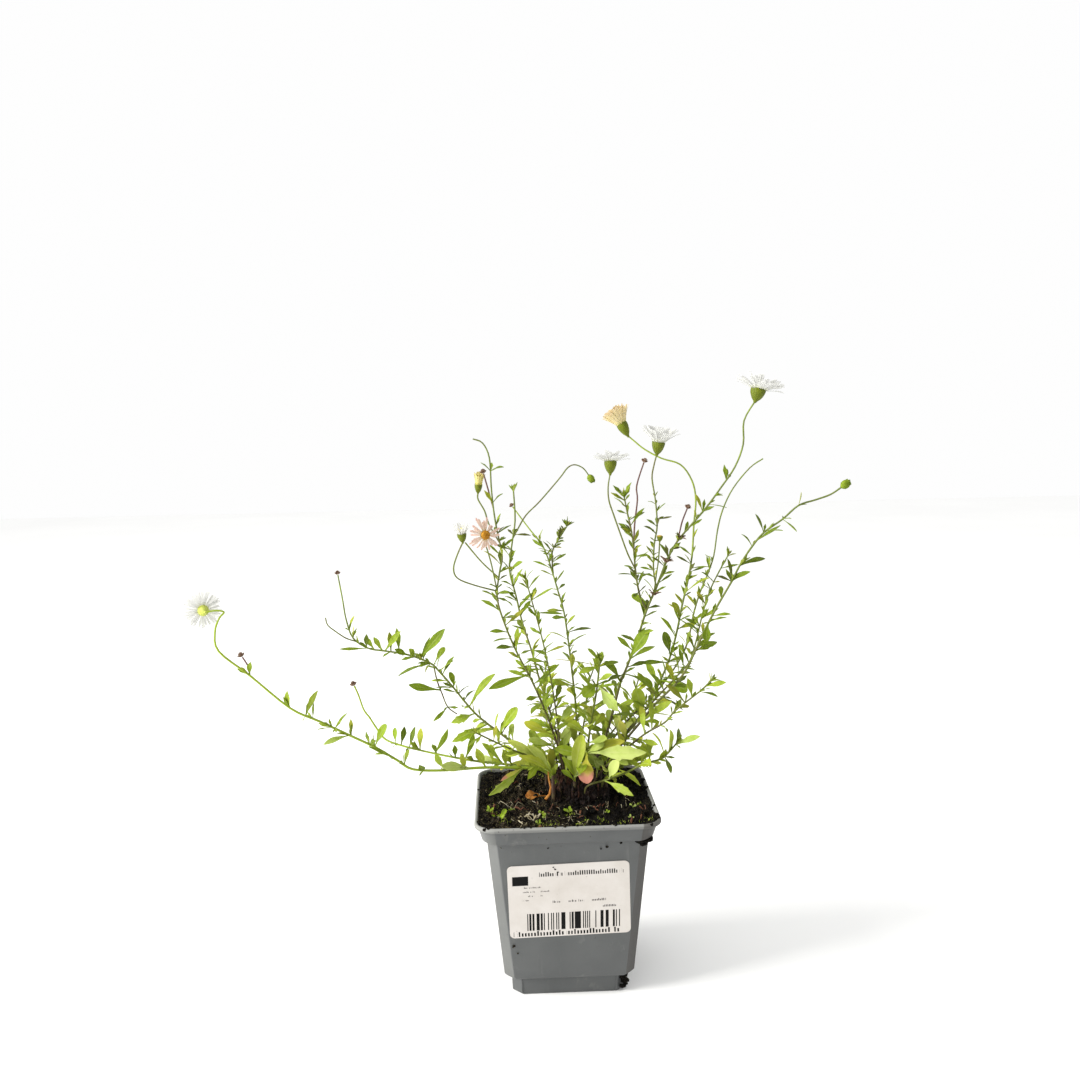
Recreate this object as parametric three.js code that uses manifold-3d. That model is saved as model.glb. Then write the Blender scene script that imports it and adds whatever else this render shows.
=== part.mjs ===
// Potted mexican fleabane: a small trailing daisy in a square 9 cm nursery pot.
// Millimetres, +Z up. The labelled side of the pot faces -Y. The origin is the middle of the pot's foot.

import * as THREE from "three";
import Module from "manifold-3d";

const wasm = await Module();
wasm.setup();

// Driving dimensions

const POT = {
  height: 91.6,
  rimHalf: 45,
  rimCorner: 9,
  rimLip: 1.6,
  rimEdge: 0.4,
  collarHeight: 9.4,
  collarHalf: 41,
  collarCorner: 7.5,
  bodyTopHalf: 39.1,
  bodyBottomHalf: 32.1,
  bodyChamfer: 5,
  footHalf: 28.3,
  footHeight: 9.6,
  footChamfer: 4.8,
  wall: 1.1,
  floor: 1.2,
  drainRadius: 4,
  drainOffset: 19,
};
const LABEL = { width: 58.8, height: 38, thick: 0.3, corner: 2.4, arcSteps: 3, bottom: 33, tilt: 0.023 };
const GAP = 0.3; // between pieces that touch
const SOIL = {
  level: 89,
  mound: 3,
  moundReach: 15,
  crumb: 0.7,
  bottom: 1.6,
  edge: 2,
  corner: 8,
  circles: 8,
};
const CROWN = {
  x: 6,
  y: 8,
  radius: 3.4,
  widest: 1.16, // as a share of the radius, below the soil
  sides: 7,
  twist: 0.35,
  rows: [[84, 1.05], [90, 1.15], [95, 0.95], [101, 0.8], [106, 0.55], [108, 0.3]], // height, width
  stubFoot: 100,
  stubs: [[-0.8, -0.3, 118, -3], [0.7, 0.5, 121, 2.7], [0.1, 0.6, 115, 3.1]], // offset, height, lean
  stubRadius: [0.9, 0.6],
};
const HOLE = { bottom: 83.6, room: 1.24, sides: 5 }; // its corners lie further out than its flats by room
const FOOT = { bottom: 84, top: 93 }; // a stem stands straight from its hole up to the top
const TUFT = { radius: 1.5, sides: 6, rootBelow: 2, up: [0, -0.2, 1], arch: 0.14 };
const FALLEN = { from: [-9, 1.5], to: [-19.5, -1], width: 4.6, above: 0.95, up: [0, -0.2, 1], arch: 0.06 };
const CURVE_STEPS = 4; // samples in each span of a stem's route
const STEM_SIDES = 4;
const BRANCH_SIDES = 3;

// Leaves
const BLADE_THICK = 0.66;
const BLADE_LEAST_HALF = 0.32;
const GOLDEN_TURN = THREE.MathUtils.degToRad(137.5);
const CLEAR = 0.35; // least gap that is kept between leaves and pieces that are not their own stem
const PLACED = { up: [0, -0.35, 1], arch: 0.1 };
const PLACED_TURNS = [0, 0.12, -0.12, 0.24, -0.24, 0.4, -0.4, 0.6, -0.6];
const PLACED_LIFTS = [0, 2, -2, 4];
const RULE = {
  turnSpread: 0.6,
  leanLow: 1.05, // radians away from the stem, at the lowest leaf and at the highest
  leanHigh: 0.75,
  leanSpread: 0.3,
  lift: 0.3,
  shortest: 0.8,
  lengthSpread: 0.4,
  broadUpTo: 0.4,
  narrowWide: 0.25,
  broadWide: 0.32,
  facing: 0.5,
  arch: 0.07,
};
const RULE_TURNS = [0, 0.7, -0.7, 1.4, -1.4, 2.2, -2.2, 3.1];
const LEAF_ROD = { shares: [0, 0.35, 0.7, 1], leastHalf: 0.5, stalkHalf: 0.9 };

// Flowers. A row is a height and a width, as shares of the piece's size.
const CUP = { sides: 6, rows: [[-0.1, 0.28], [0.42, 0.7], [1, 1]] };
const BUD = { height: 2, rows: [[-0.1, 0.4], [0.25, 0.95], [0.7, 0.85]] };
const RAY = { hubThick: 0.8, hub: 0.9, shoulder: 0.8, shortRay: 0.93, closed: 1.5 };
const DISC = { radius: 0.8, sides: 10, rows: [[0, 0.9], [0.7, 1], [1.3, 0.7]], top: 1.6 };
const HEAD = {
  points: 6,
  rows: [[0, 0.4, 0.4], [0.35, 0.8, 0.8], [1.25, 1.5, 0.75], [1.1, 0.6, 0.6]],
  top: 1.5,
};

// Outlines of a blade: the share of its length, and the share of its half width there.
const BLADES = {
  narrow: [[0, 0], [0.45, 1], [1, 0]],
  long: [[0, 0.3], [0.3, 0.5], [0.64, 1], [1, 0]],
  spoon: [[0, 0.16], [0.36, 0.34], [0.62, 0.95], [0.84, 0.86], [1, 0]],
  toothed: [[0, 0.14], [0.34, 0.34], [0.6, 1], [0.67, 0.74], [0.85, 0.7], [1, 0]],
};

// Colours

const COLOURS = {
  pot: "#7f868a",
  label: "#f2f1ee",
  soil: "#2b211b",
  crown: "#4a3426",
  leaf: "#7d9a2f",
  rayWhite: "#f4f2ee",
  rayCream: "#efe3c4",
  rayPink: "#e2b3ad",
  disc: "#e0b93a",
  head: "#5a3527",
  dead: "#b9722f",
};

// The stems. Each stands in its own hole at foot [x, y], follows its route, and carries leaves by rule
// between two distances along it. placed lists the leaves that are set by hand: root, tip, width and
// outline.

const STEMS = [
  {
    name: "stem_trailing_left",
    foot: [-3, 4.5],
    radius: [0.85, 0.5],
    route: [
      [-5, 4, 99], [-10, 3.5, 103.5], [-24.5, 1, 106], [-42.5, -2, 107.5], [-60, -6, 108], [-75.5, -9, 110],
      [-83, -11, 115.5], [-93.5, -14, 123.5], [-105, -18, 131], [-118.5, -22, 139.5], [-131.5, -26, 147.5],
      [-149, -30, 165], [-162, -33, 177.5], [-163, -34, 187], [-160.5, -35, 193.5], [-158, -35.5, 196.5],
      [-161.5, -36.5, 197.5], [-166, -37.5, 197],
    ],
    leaves: { from: 42, to: 150, every: 10.5, low: 8, high: 5.5, phase: 0.4 },
    placed: [
      [[-148, -30, 166], [-148.5, -31, 171.5], 1.8, "narrow"],
      [[-130, -26, 149.5], [-132.5, -29, 156.5], 2.4, "narrow"],
      [[-122.5, -23, 144], [-118.5, -27, 156], 2.4, "narrow"],
      [[-110.5, -19, 134.5], [-106, -16, 141.5], 2.2, "narrow"],
      [[-105, -18, 131], [-116, -27, 130.5], 2.2, "long"],
      [[-91, -14, 124], [-87.5, -17, 135.5], 4.2, "spoon"],
      [[-82.5, -11, 116], [-95.5, -19, 125.5], 2, "narrow"],
      [[-47, -3, 108.5], [-61.5, -12, 112.5], 3.2, "long"],
      [[-20, 1, 105.5], [-37, -13, 97], 4.6, "toothed"],
      [[-19, 1.5, 105.5], [-31.8, -9, 103], 2, "long"],
    ],
    bloom: { kind: "white_left", facing: [-0.5, 0.85, 0.1] },
    branches: [
      {
        route: [[-147, -29.5, 163.5], [-149.5, -28.8, 168.5], [-152.5, -28, 173.5]],
        radius: [0.5, 0.45],
        head: { name: "spent_head_far_left", size: 1.2 },
      },
    ],
  },
  {
    name: "stem_low_left",
    foot: [-4, 9.5],
    radius: [0.8, 0.5],
    route: [
      [-7, 10.5, 98.5], [-13, 12, 101.5], [-27, 15, 103], [-43, 17, 104.5], [-58.5, 19, 107],
      [-74.5, 22, 110],
      [-85, 24, 112.5], [-93, 25.5, 115.5], [-97.5, 27, 121], [-101, 27, 127], [-104, 27, 131.5],
      [-106.5, 27, 139.5], [-108.5, 27, 144.5],
    ],
    leaves: { from: 26, to: 96, every: 10, low: 8, high: 6, phase: 1.3 },
    placed: [
      [[-88, 24, 114.5], [-87, 21, 123], 2.6, "spoon"],
      [[-80, 23, 112], [-76, 18, 124.5], 2, "narrow"],
      [[-73.5, 22, 110.5], [-74, 24, 121.5], 2.2, "long"],
      [[-67.5, 21, 109], [-59, 16, 122], 2.6, "long"],
      [[-49.5, 18, 107], [-45.5, 13, 121], 2.6, "long"],
      [[-31.5, 16, 103.5], [-41.5, 22, 113.5], 2.4, "long"],
      [[-30, 15, 103.5], [-44, 24, 105], 2.8, "long"],
    ],
    head: { name: "spent_head_low_left", size: 1.3 },
  },
  {
    name: "stem_rising_left",
    foot: [-2, 14.5],
    radius: [0.9, 0.5],
    route: [
      [-4.5, 15, 99], [-10, 16, 104.5], [-21.5, 18, 111], [-32, 22, 118], [-45, 26, 128],
      [-56.5, 30, 141.5],
      [-63.5, 32, 149.5], [-68.5, 34, 154], [-80.5, 36, 158.5], [-93, 38, 160.5], [-102, 39, 162],
      [-110, 40, 167.5], [-113.5, 41, 177.5], [-115, 41, 188.5], [-117, 41, 202],
    ],
    leaves: { from: 40, to: 152, every: 9, low: 9, high: 6, phase: 2.1 },
    placed: [
      [[-94, 38, 161.5], [-84, 33, 172], 2.2, "long"],
      [[-102, 39, 162], [-117, 34, 163], 1.2, "narrow"],
      [[-75, 35, 157], [-68.5, 39, 167.5], 1.2, "narrow"],
      [[-73, 34, 156.5], [-60, 29, 173.5], 3.4, "long"],
      [[-67, 33, 154], [-61, 37, 162], 3.4, "spoon"],
      [[-63.5, 32, 149.5], [-56, 27, 157], 2.4, "narrow"],
      [[-70, 34, 154], [-88, 42, 146.5], 1.4, "narrow"],
      [[-55.5, 30, 141], [-57.5, 24, 151], 3.2, "spoon"],
      [[-53.5, 29, 138], [-61.5, 23, 142], 2.2, "narrow"],
      [[-47.5, 27, 134], [-35.5, 21, 151], 4.4, "long"],
      [[-44.5, 26, 128], [-57, 19, 125.5], 5, "toothed"],
      [[-39, 24, 122.5], [-57, 14, 114.5], 5.6, "toothed"],
      [[-32, 22, 118], [-23, 14, 133.5], 5.4, "spoon"],
    ],
    head: { name: "spent_head_high_left", size: 1.1 },
    branches: [
      {
        route: [
          [-67.5, 33.5, 153.5], [-65, 30, 145.5], [-62.5, 28, 139], [-59.5, 26, 132], [-54.5, 24, 128.5],
        ],
        radius: [0.55, 0.45],
        placed: [
          [[-63, 28, 140], [-79.5, 22, 145.5], 2.6, "long"],
          [[-59.5, 26, 131.5], [-66.5, 20, 126], 1.8, "narrow"],
        ],
      },
      {
        route: [
          [-108.5, 39.8, 166], [-113.5, 38, 168], [-119, 36, 172.5], [-122.5, 35, 176], [-123.5, 35, 180],
        ],
        radius: [0.5, 0.45],
      },
    ],
  },
  {
    name: "stem_front_left",
    foot: [-1.5, -0.5],
    radius: [0.7, 0.5],
    route: [[-3.5, -1, 100], [-12, -3, 110], [-26, -10, 119], [-34.5, -14, 124.5], [-43.5, -18, 130.5]],
    leaves: { from: 18, to: 60, every: 7.5, low: 9, high: 7, phase: 0.9 },
  },
  {
    name: "stem_tall_thin",
    foot: [2, 3.5],
    radius: [0.75, 0.45],
    route: [
      [0.5, 3, 104], [-3, 2, 118], [-8.5, 0, 135], [-15, -5, 152], [-22, -9, 167], [-28, -14, 183],
      [-31.5, -17, 197], [-30, -19.5, 210], [-28.6, -21, 218], [-30.8, -23, 230.5], [-32.2, -25, 241],
      [-33, -27, 252],
      [-33.5, -28, 265], [-36.5, -28, 272], [-41, -28, 274],
    ],
    leaves: { from: 34, to: 158, every: 8, low: 9, high: 5, phase: 1.7 },
    placed: [
      [[-2, 2, 114], [-18, -2, 121], 4, "spoon"],
      [[-5, 1, 124], [-19, -3, 130.5], 4.4, "spoon"],
      [[-18, -6, 155], [-37, -16, 151], 3, "long"],
      [[-24.5, -11, 172.5], [-32.5, -17, 172.5], 2, "narrow"],
      [[-31.5, -17, 197], [-39, -21, 201], 2.2, "narrow"],
      [[-31.5, -17, 197], [-23.5, -10, 192.5], 3, "narrow"],
      [[-32.8, -28, 260.3], [-27.2, -31, 261.5], 1.8, "long"],
      [[-32.4, -25, 244.6], [-28, -28, 248.5], 1.6, "long"],
    ],
    branches: [
      {
        route: [
          [-32.3, -22, 225], [-34.5, -20, 233], [-36.5, -19, 239.5], [-39.5, -18, 245], [-39.5, -18, 248],
        ],
        radius: [0.45, 0.45],
        bloom: { kind: "small_yellow", facing: [0.1, -0.3, 1] },
      },
      {
        route: [[-32.3, -25, 241.5], [-34.5, -24, 250], [-36.5, -23, 257.5]],
        radius: [0.45, 0.45],
        head: { name: "spent_head_tall_thin", size: 1.1 },
      },
      {
        route: [[-31.5, -18, 201.5], [-33.6, -22, 213], [-35.3, -25, 220.5], [-37, -27, 226.5],
          [-37.8, -27.5, 229]],
        radius: [0.5, 0.45],
        bloom: { kind: "pink", facing: [0.42, -0.9, 0.05] },
      },
      {
        route: [
          [-32, -17.5, 199], [-42, -21, 204], [-50, -24, 208], [-51.8, -25, 213], [-49.8, -26, 219.5],
          [-47, -27, 225.5],
        ],
        radius: [0.5, 0.45],
        bloom: { kind: "small_white", facing: [-0.1, -0.2, 1] },
      },
      { route: [[-31, -19, 206.5], [-38.5, -16.5, 214.5], [-46.4, -14, 224]], radius: [0.45, 0.45] },
    ],
  },
  {
    name: "stem_left_back",
    foot: [1.5, 11.5],
    radius: [0.75, 0.5],
    route: [
      [0.5, 12.5, 103], [-1.5, 15, 115], [-5.5, 18, 130], [-10.5, 22, 146], [-14.5, 26, 161.5],
      [-19, 30, 176],
      [-22, 33, 190], [-25, 35, 203], [-23.5, 37, 216.5], [-21.5, 38, 229.5], [-22, 38, 245],
    ],
    leaves: { from: 36, to: 138, every: 8, low: 9, high: 6, phase: 0.2 },
    placed: [
      [[-25, 35, 204.5], [-18.5, 29, 208.5], 3.4, "long"],
      [[-24, 35, 205.5], [-23, 42, 213], 3, "long"],
      [[-14.5, 26, 161.5], [-7, 19, 160.5], 2.6, "narrow"],
    ],
    branches: [
      {
        route: [[-23.2, 37.3, 219], [-20, 38, 225], [-15.5, 40, 232], [-8, 42, 239], [3, 45, 251],
          [7.5, 46, 256.5], [11.5, 47, 258], [16, 47, 256], [19, 47, 252]],
        radius: [0.5, 0.45],
        bud: 2,
      },
    ],
  },
  {
    name: "stem_thin_brown",
    foot: [0, 7.5],
    radius: [0.65, 0.45],
    route: [
      [-0.5, 8.5, 105], [-1.5, 9.5, 120], [-3.5, 10, 138.5], [-7, 9, 160], [-11, 8, 178.5], [-17, 6, 202],
    ],
    leaves: { from: 50, to: 118, every: 10, low: 7, high: 5, phase: 2.6 },
    placed: [
      [[-14.5, 7, 191.5], [-3, 1, 197.5], 2.8, "long"],
      [[-12, 7.5, 183.5], [1, 3, 184.5], 2.6, "long"],
      [[-6, 9, 155.5], [-23, 1, 155.5], 1.6, "narrow"],
    ],
  },
  {
    name: "stem_centre_back",
    foot: [5.5, 14.8],
    radius: [0.8, 0.45],
    route: [
      [6.5, 16, 104], [8, 20, 117], [8.5, 24.5, 130], [7.5, 30, 144.5], [6, 36, 161.5], [4, 42, 178.5],
      [1, 45, 190], [-2, 48, 201], [-4.5, 50, 209], [-7.5, 51, 215.5], [-13.5, 53, 223], [-22.5, 54, 235.5],
    ],
    leaves: { from: 32, to: 140, every: 8, low: 9, high: 5, phase: 1.1 },
    placed: [
      [[8, 29, 140], [-6, 22, 145], 3.2, "long"],
      [[6, 36, 161.5], [15, 31, 168.5], 2, "narrow"],
    ],
    head: { name: "spent_head_centre", size: 1 },
    branches: [
      {
        route: [[-1.5, 47.7, 199.5], [-1.5, 50, 205], [-1, 52, 211.5], [3, 53, 218], [7, 54, 224]],
        radius: [0.55, 0.45],
        leaves: { from: 4, to: 26, every: 5.5, low: 6, high: 5, phase: 0.5 },
      },
    ],
  },
  {
    name: "stem_centre_shoot",
    foot: [9, 2.2],
    radius: [0.8, 0.6],
    route: [
      [10.5, 1.5, 102], [12.5, 0.5, 113], [13.5, -1, 123], [15, -3, 133.5], [17, -6, 146],
      [18.7, -9.5, 163],
    ],
    leaves: { from: 24, to: 78, every: 7, low: 13, high: 8, phase: 1.9, outline: "long" },
    placed: [
      [[18, -9, 158], [8, -15, 158.5], 3, "long"],
      [[18.5, -9, 160.5], [-3.5, -14, 164.5], 2.2, "long"],
      [[18, -7, 152], [10, -16, 147], 6.6, "spoon"],
      [[17.5, -7, 150.5], [26.5, -17, 139], 6.6, "toothed"],
      [[18.5, -9, 161], [28.5, -4, 160.5], 2.2, "long"],
      [[13, 0, 114], [30, -11, 122], 3.8, "long"],
      [[12.5, 0.5, 113], [10.9, -12, 101.8], 8.2, "spoon"],
      [[13, 0, 114], [42.4, -16, 114.5], 8.2, "toothed"],
    ],
  },
  {
    name: "stem_right_tall",
    foot: [12.7, 7.2],
    radius: [0.95, 0.5],
    route: [
      [15, 7.5, 102], [20, 8, 112], [24, 8, 123], [26.5, 6, 133], [30, 2, 148.5], [33.5, -1, 158.5],
      [38.5, -4, 173.5], [42.5, -7, 187.5], [47, -10, 199], [51.5, -13, 212], [56.5, -15, 222],
      [63.5, -18, 231],
      [70, -20, 239], [77, -22, 249], [83, -24, 258.5], [86.5, -25.5, 269], [86.5, -27, 280],
      [91.5, -28, 289],
    ],
    leaves: { from: 30, to: 178, every: 9.5, low: 10, high: 5, phase: 0.7 },
    placed: [
      [[31.5, 0, 153], [46.5, 8, 143.5], 5, "spoon"],
      [[30.5, 2, 149], [24.5, -6, 161], 4, "spoon"],
      [[35, -2, 162.5], [42.5, -10, 178], 4.6, "long"],
      [[42, -7, 186.5], [36, -1, 194], 3.6, "spoon"],
    ],
    bloom: { kind: "white_top", facing: [0.3, 0.1, 0.95] },
    branches: [
      {
        route: [[42, -6.7, 186], [39, -10, 194.5], [36.5, -14, 206], [35, -18, 219], [33.8, -20, 228],
          [31.6, -23, 237], [30, -24, 245]],
        radius: [0.65, 0.45],
        leaves: { from: 8, to: 66, every: 6.5, low: 6, high: 5, phase: 2.3 },
      },
      {
        route: [[36, -14.5, 208.5], [32, -20, 217], [28, -26, 227], [24, -32, 237.5], [21.5, -36, 244.5],
          [21, -38, 251], [22, -38, 257]],
        radius: [0.5, 0.45],
        bloom: { kind: "white_middle", facing: [0.05, 0.15, 1] },
      },
      {
        route: [[35.1, -18.3, 220], [36, -14, 230.5], [38, -10, 242.5], [38, -8, 249.5], [42, -5, 260.5]],
        radius: [0.5, 0.45],
        head: { name: "spent_head_right_middle", size: 1.1 },
      },
      {
        route: [[46.7, -9.8, 198], [46.5, -4, 207], [47.5, 0, 219], [49.5, 3, 228.5], [49, 5, 241],
          [47.5, 6, 252], [48.5, 6, 258.5], [50, 6, 264]],
        radius: [0.55, 0.45],
        leaves: { from: 6, to: 46, every: 7.5, low: 6, high: 4.5, phase: 1.5 },
        bloom: { kind: "white_high", facing: [0.15, -0.1, 1] },
      },
      {
        route: [[56, -14.9, 221], [59, -8, 226], [61, -4, 231], [64, -1, 237]],
        radius: [0.5, 0.45],
        head: { name: "spent_head_right_inner", size: 1.1 },
      },
      {
        route: [[45.5, -9, 195], [46.5, -13, 205], [47.4, -15.5, 214], [47.9, -16, 222.5]],
        radius: [0.45, 0.45],
        bud: 1.5,
      },
    ],
  },
  {
    name: "stem_right_cream",
    foot: [10.5, 13],
    radius: [0.85, 0.5],
    route: [
      [13, 14, 103], [26, 15, 110.5], [37.5, 17, 120.5], [46.5, 20, 131.5], [52, 22, 141.5], [58, 25, 153],
      [63, 29, 167], [67, 33, 182.5], [70.5, 36, 194.5], [73.5, 39, 208.5], [75, 42, 224.5],
      [76.5, 44, 238],
      [74.5, 45, 248.5], [68.5, 46, 257], [58.5, 47, 260.5], [49.5, 48, 265.5], [44, 48, 270],
      [40.5, 48, 273],
    ],
    leaves: { from: 36, to: 150, every: 9, low: 10, high: 6, phase: 2.9 },
    placed: [
      [[54.5, 23, 144.5], [66.5, 15, 139.5], 5.6, "spoon"],
      [[59, 26, 155], [55, 19, 171], 4.4, "spoon"],
      [[64.5, 31, 173], [61.5, 26, 185], 3.4, "spoon"],
      [[58.5, 26, 153.5], [43, 20, 154], 2.6, "long"],
      [[73, 37, 203], [82.5, 31, 203], 2.8, "long"],
      [[70.5, 35, 188], [80.5, 28, 198], 3, "long"],
    ],
    bloom: { kind: "cream", facing: [-0.45, 0.1, 0.88] },
  },
  {
    name: "stem_far_right",
    foot: [15, 3],
    radius: [0.85, 0.5],
    route: [
      [17, 2.5, 101], [25.5, 1.5, 111], [38, -2, 127], [46.5, -6, 139], [54.5, -9, 148], [60.5, -12, 156.5],
      [64.5, -14, 165.5], [68.5, -17, 176], [74.5, -20, 189.5], [81.5, -23, 203], [85, -25, 211],
      [89.5, -27, 219], [95.5, -29, 227], [104, -31, 233.5], [111, -33, 240], [118.5, -34, 242.5],
      [125.5, -35, 245], [130.5, -36, 248.5],
    ],
    leaves: { from: 32, to: 178, every: 10, low: 11, high: 6, phase: 1.4 },
    placed: [
      [[111, -33, 240], [111, -36, 246.5], 2, "narrow"],
      [[96, -29, 227.5], [91, -33, 236.5], 2, "narrow"],
      [[93, -28, 223.5], [105, -24, 229], 2.2, "narrow"],
      [[104, -31, 233.5], [109.5, -36, 228], 1.8, "narrow"],
      [[85, -25, 211], [98.5, -21, 214.5], 2.6, "long"],
      [[81.5, -23, 203], [89, -27, 209], 2.4, "long"],
      [[81.5, -23, 203], [81, -19, 214], 2, "narrow"],
      [[71.5, -18.5, 183], [78.5, -24, 186.5], 2, "narrow"],
      [[71, -18.5, 183], [68.5, -26, 174.5], 4, "spoon"],
      [[65.5, -15, 169], [74.5, -9, 169], 2, "narrow"],
      [[39.5, -2, 129], [54, -12, 142], 2.8, "long"],
      [[41, -3, 131], [36.5, -8, 148], 7, "spoon"],
    ],
    bud: 2.1,
  },
  {
    name: "stem_right_middle",
    foot: [16, 9.5],
    radius: [0.7, 0.45],
    route: [
      [18, 10, 102], [26.5, 12, 111.5], [38.5, 12, 125], [50, 10, 138.5], [60.5, 7.5, 150.5], [66, 5, 158],
      [69, 4, 168], [72.5, 3, 183.5], [76, 2, 195], [79.5, 1, 203], [84.5, 0, 212.5],
    ],
    leaves: { from: 36, to: 138, every: 8, low: 9, high: 6, phase: 0.3 },
  },
  {
    name: "stem_right_back",
    foot: [14, 17],
    radius: [0.7, 0.45],
    route: [
      [16.5, 18, 102], [25.5, 20, 111], [36, 24, 122.5], [48, 30, 131.5], [57.5, 36, 139.5],
      [67, 42, 150.5],
      [72.5, 46, 160.5], [76, 50, 173.5], [80.5, 54, 185.5], [85.5, 57, 195.5], [89.5, 60, 205.5],
      [92, 62, 219.5], [95.5, 64, 231], [101.5, 65, 242.5], [111, 66, 253.5], [118.5, 66, 258.5],
    ],
    leaves: { from: 30, to: 150, every: 9, low: 9, high: 6, phase: 2.2 },
  },
  {
    name: "stem_low_right",
    foot: [14.5, -1.5],
    radius: [0.7, 0.5],
    route: [
      [17, -2.5, 101], [26, -5, 111], [39.5, -12, 125], [50, -16, 132.5], [55, -18, 139], [66, -22, 149],
      [71, -24, 154.5],
    ],
    leaves: { from: 26, to: 88, every: 9, low: 9, high: 8, phase: 0.8 },
    placed: [
      [[66, -22, 149], [74, -27, 147.5], 2.4, "narrow"],
    ],
  },
  {
    name: "stem_right_shoot",
    foot: [19, -0.5],
    radius: [0.7, 0.55],
    route: [
      [22, -1.5, 101], [29, -3.5, 106.5], [38.5, -7, 109], [45.5, -10, 111], [50, -13, 114], [56, -16, 122],
    ],
    leaves: { from: 20, to: 54, every: 9, low: 9, high: 8, phase: 2.4 },
    placed: [
      [[50, -13, 114], [45, -17, 128], 3.2, "long"],
      [[51.5, -14, 116], [53, -19, 129], 2.6, "long"],
      [[54.5, -15.5, 120], [66, -22, 127], 2.8, "long"],
    ],
  },
  {
    name: "stem_right_front",
    foot: [10.5, -4.5],
    radius: [0.75, 0.55],
    route: [[12.5, -6, 98], [22.5, -12, 103], [31, -18, 108.5], [37.5, -22.5, 113.5]],
    placed: [
      [[36.5, -22, 113], [47.5, -30, 118.5], 6.4, "toothed"],
      [[19, -9, 101], [33, -23, 98], 4.6, "toothed"],
      [[22, -12, 103], [25.5, -21, 114.5], 6, "spoon"],
    ],
  },
  {
    name: "stem_back_left",
    foot: [-1, 20],
    radius: [0.75, 0.5],
    route: [[-2, 22, 100], [-4, 29, 110], [-7, 40, 121], [-8, 50, 132], [-6, 57, 144]],
    leaves: { from: 14, to: 64, every: 6.5, low: 12, high: 7, phase: 0.6, outline: "long" },
  },
  {
    name: "stem_back_middle",
    foot: [7, 20.5],
    radius: [0.75, 0.5],
    route: [[8.5, 23, 101], [12, 31, 113], [15, 42, 124], [17, 52, 134], [21, 60, 142]],
    leaves: { from: 14, to: 66, every: 6.5, low: 12, high: 7, phase: 1.6, outline: "long" },
  },
  {
    name: "stem_back_right",
    foot: [13, 22.5],
    radius: [0.75, 0.5],
    route: [[16, 26, 100], [24, 34, 108], [33, 43, 115], [41, 51, 125], [46, 57, 136]],
    leaves: { from: 14, to: 66, every: 6.5, low: 12, high: 7, phase: 2.7, outline: "long" },
  },
];

// Tufts of basal leaves. Each stands in its own hole and holds its leaves together at the neck. A leaf is
// its tip, its width and its outline.

const TUFTS = [
  {
    name: "basal_leaves_front",
    foot: [5.5, -3],
    neck: 101,
    leaves: [
      [[9, -11, 126], 6.6, "spoon"],
      [[-1, -10, 114.5], 4.6, "toothed"],
    ],
  },
  {
    name: "basal_leaves_right",
    foot: [22, 4.5],
    neck: 101,
    leaves: [
      [[46, -3.5, 113.5], 8.4, "toothed"],
      [[45, 13, 107], 5.4, "toothed"],
    ],
  },
  {
    name: "basal_leaves_left",
    foot: [-5.5, -5.5],
    neck: 105,
    leaves: [
      [[-23, -14, 117], 5, "toothed"],
      [[-18, -8, 120], 4.6, "spoon"],
      [[-28, -6, 118.5], 4, "spoon"],
    ],
  },
  {
    name: "basal_leaves_back_left",
    foot: [-8, 17.5],
    neck: 99,
    leaves: [
      [[-24, 28, 106], 6, "toothed"],
      [[-16, 33, 116], 5, "spoon"],
      [[-27, 22, 101], 5, "long"],
    ],
  },
  {
    name: "basal_leaves_back",
    foot: [3, 26],
    neck: 98,
    leaves: [
      [[4, 46, 104], 6.4, "toothed"],
      [[-7, 41, 102], 5, "spoon"],
      [[16, 42, 104.5], 5.4, "toothed"],
      [[3, 38, 115], 4.6, "long"],
    ],
  },
  {
    name: "basal_leaves_back_right",
    foot: [20.5, 18],
    neck: 99,
    leaves: [
      [[38, 27, 104], 6, "toothed"],
      [[34, 34, 102], 5, "spoon"],
      [[26, 31, 111], 4.6, "long"],
    ],
  },
];

// The blooms: number of rays, their length, width and rise, and the radius and height of the green cup.

const BLOOMS = {
  white_top: { rays: 22, long: 8.4, wide: 1, rise: 0.28, cup: 3.6, tall: 5.4, colour: "rayWhite" },
  white_high: { rays: 20, long: 7.4, wide: 1, rise: 0.75, cup: 3.3, tall: 6, colour: "rayWhite" },
  white_middle: { rays: 22, long: 6.2, wide: 1, rise: 0.32, cup: 2.9, tall: 5.4, colour: "rayWhite" },
  white_left: { rays: 22, long: 7, wide: 0.9, rise: 0.12, cup: 2.6, tall: 3.6, colour: "rayWhite" },
  cream: { rays: 18, long: 8.4, wide: 1.1, rise: 1.6, cup: 3, tall: 7, colour: "rayCream" },
  pink: { rays: 18, long: 5.8, wide: 1.1, rise: 0.1, cup: 2.2, tall: 3, colour: "rayPink" },
  small_white: { rays: 14, long: 4.2, wide: 0.9, rise: 0.9, cup: 2.2, tall: 4.2, colour: "rayWhite" },
  small_yellow: { rays: 12, long: 3.6, wide: 1, rise: 2.2, cup: 1.8, tall: 4.4, colour: "rayCream" },
};

// Small helpers

const vec = (a) => new THREE.Vector3(...a);
const fraction = (v) => v - Math.floor(v);

// An even spread of numbers from 0 to 1 that is the same on every run.
const scatter = (k, salt) => fraction(Math.sin(k * 12.9898 + salt * 78.233) * 43758.5453);

function solidOf(positions, index) {
  const vertProperties = new Float32Array(positions);
  return new wasm.Manifold(new wasm.Mesh({ numProp: 3, vertProperties, triVerts: new Uint32Array(index) }));
}

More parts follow.
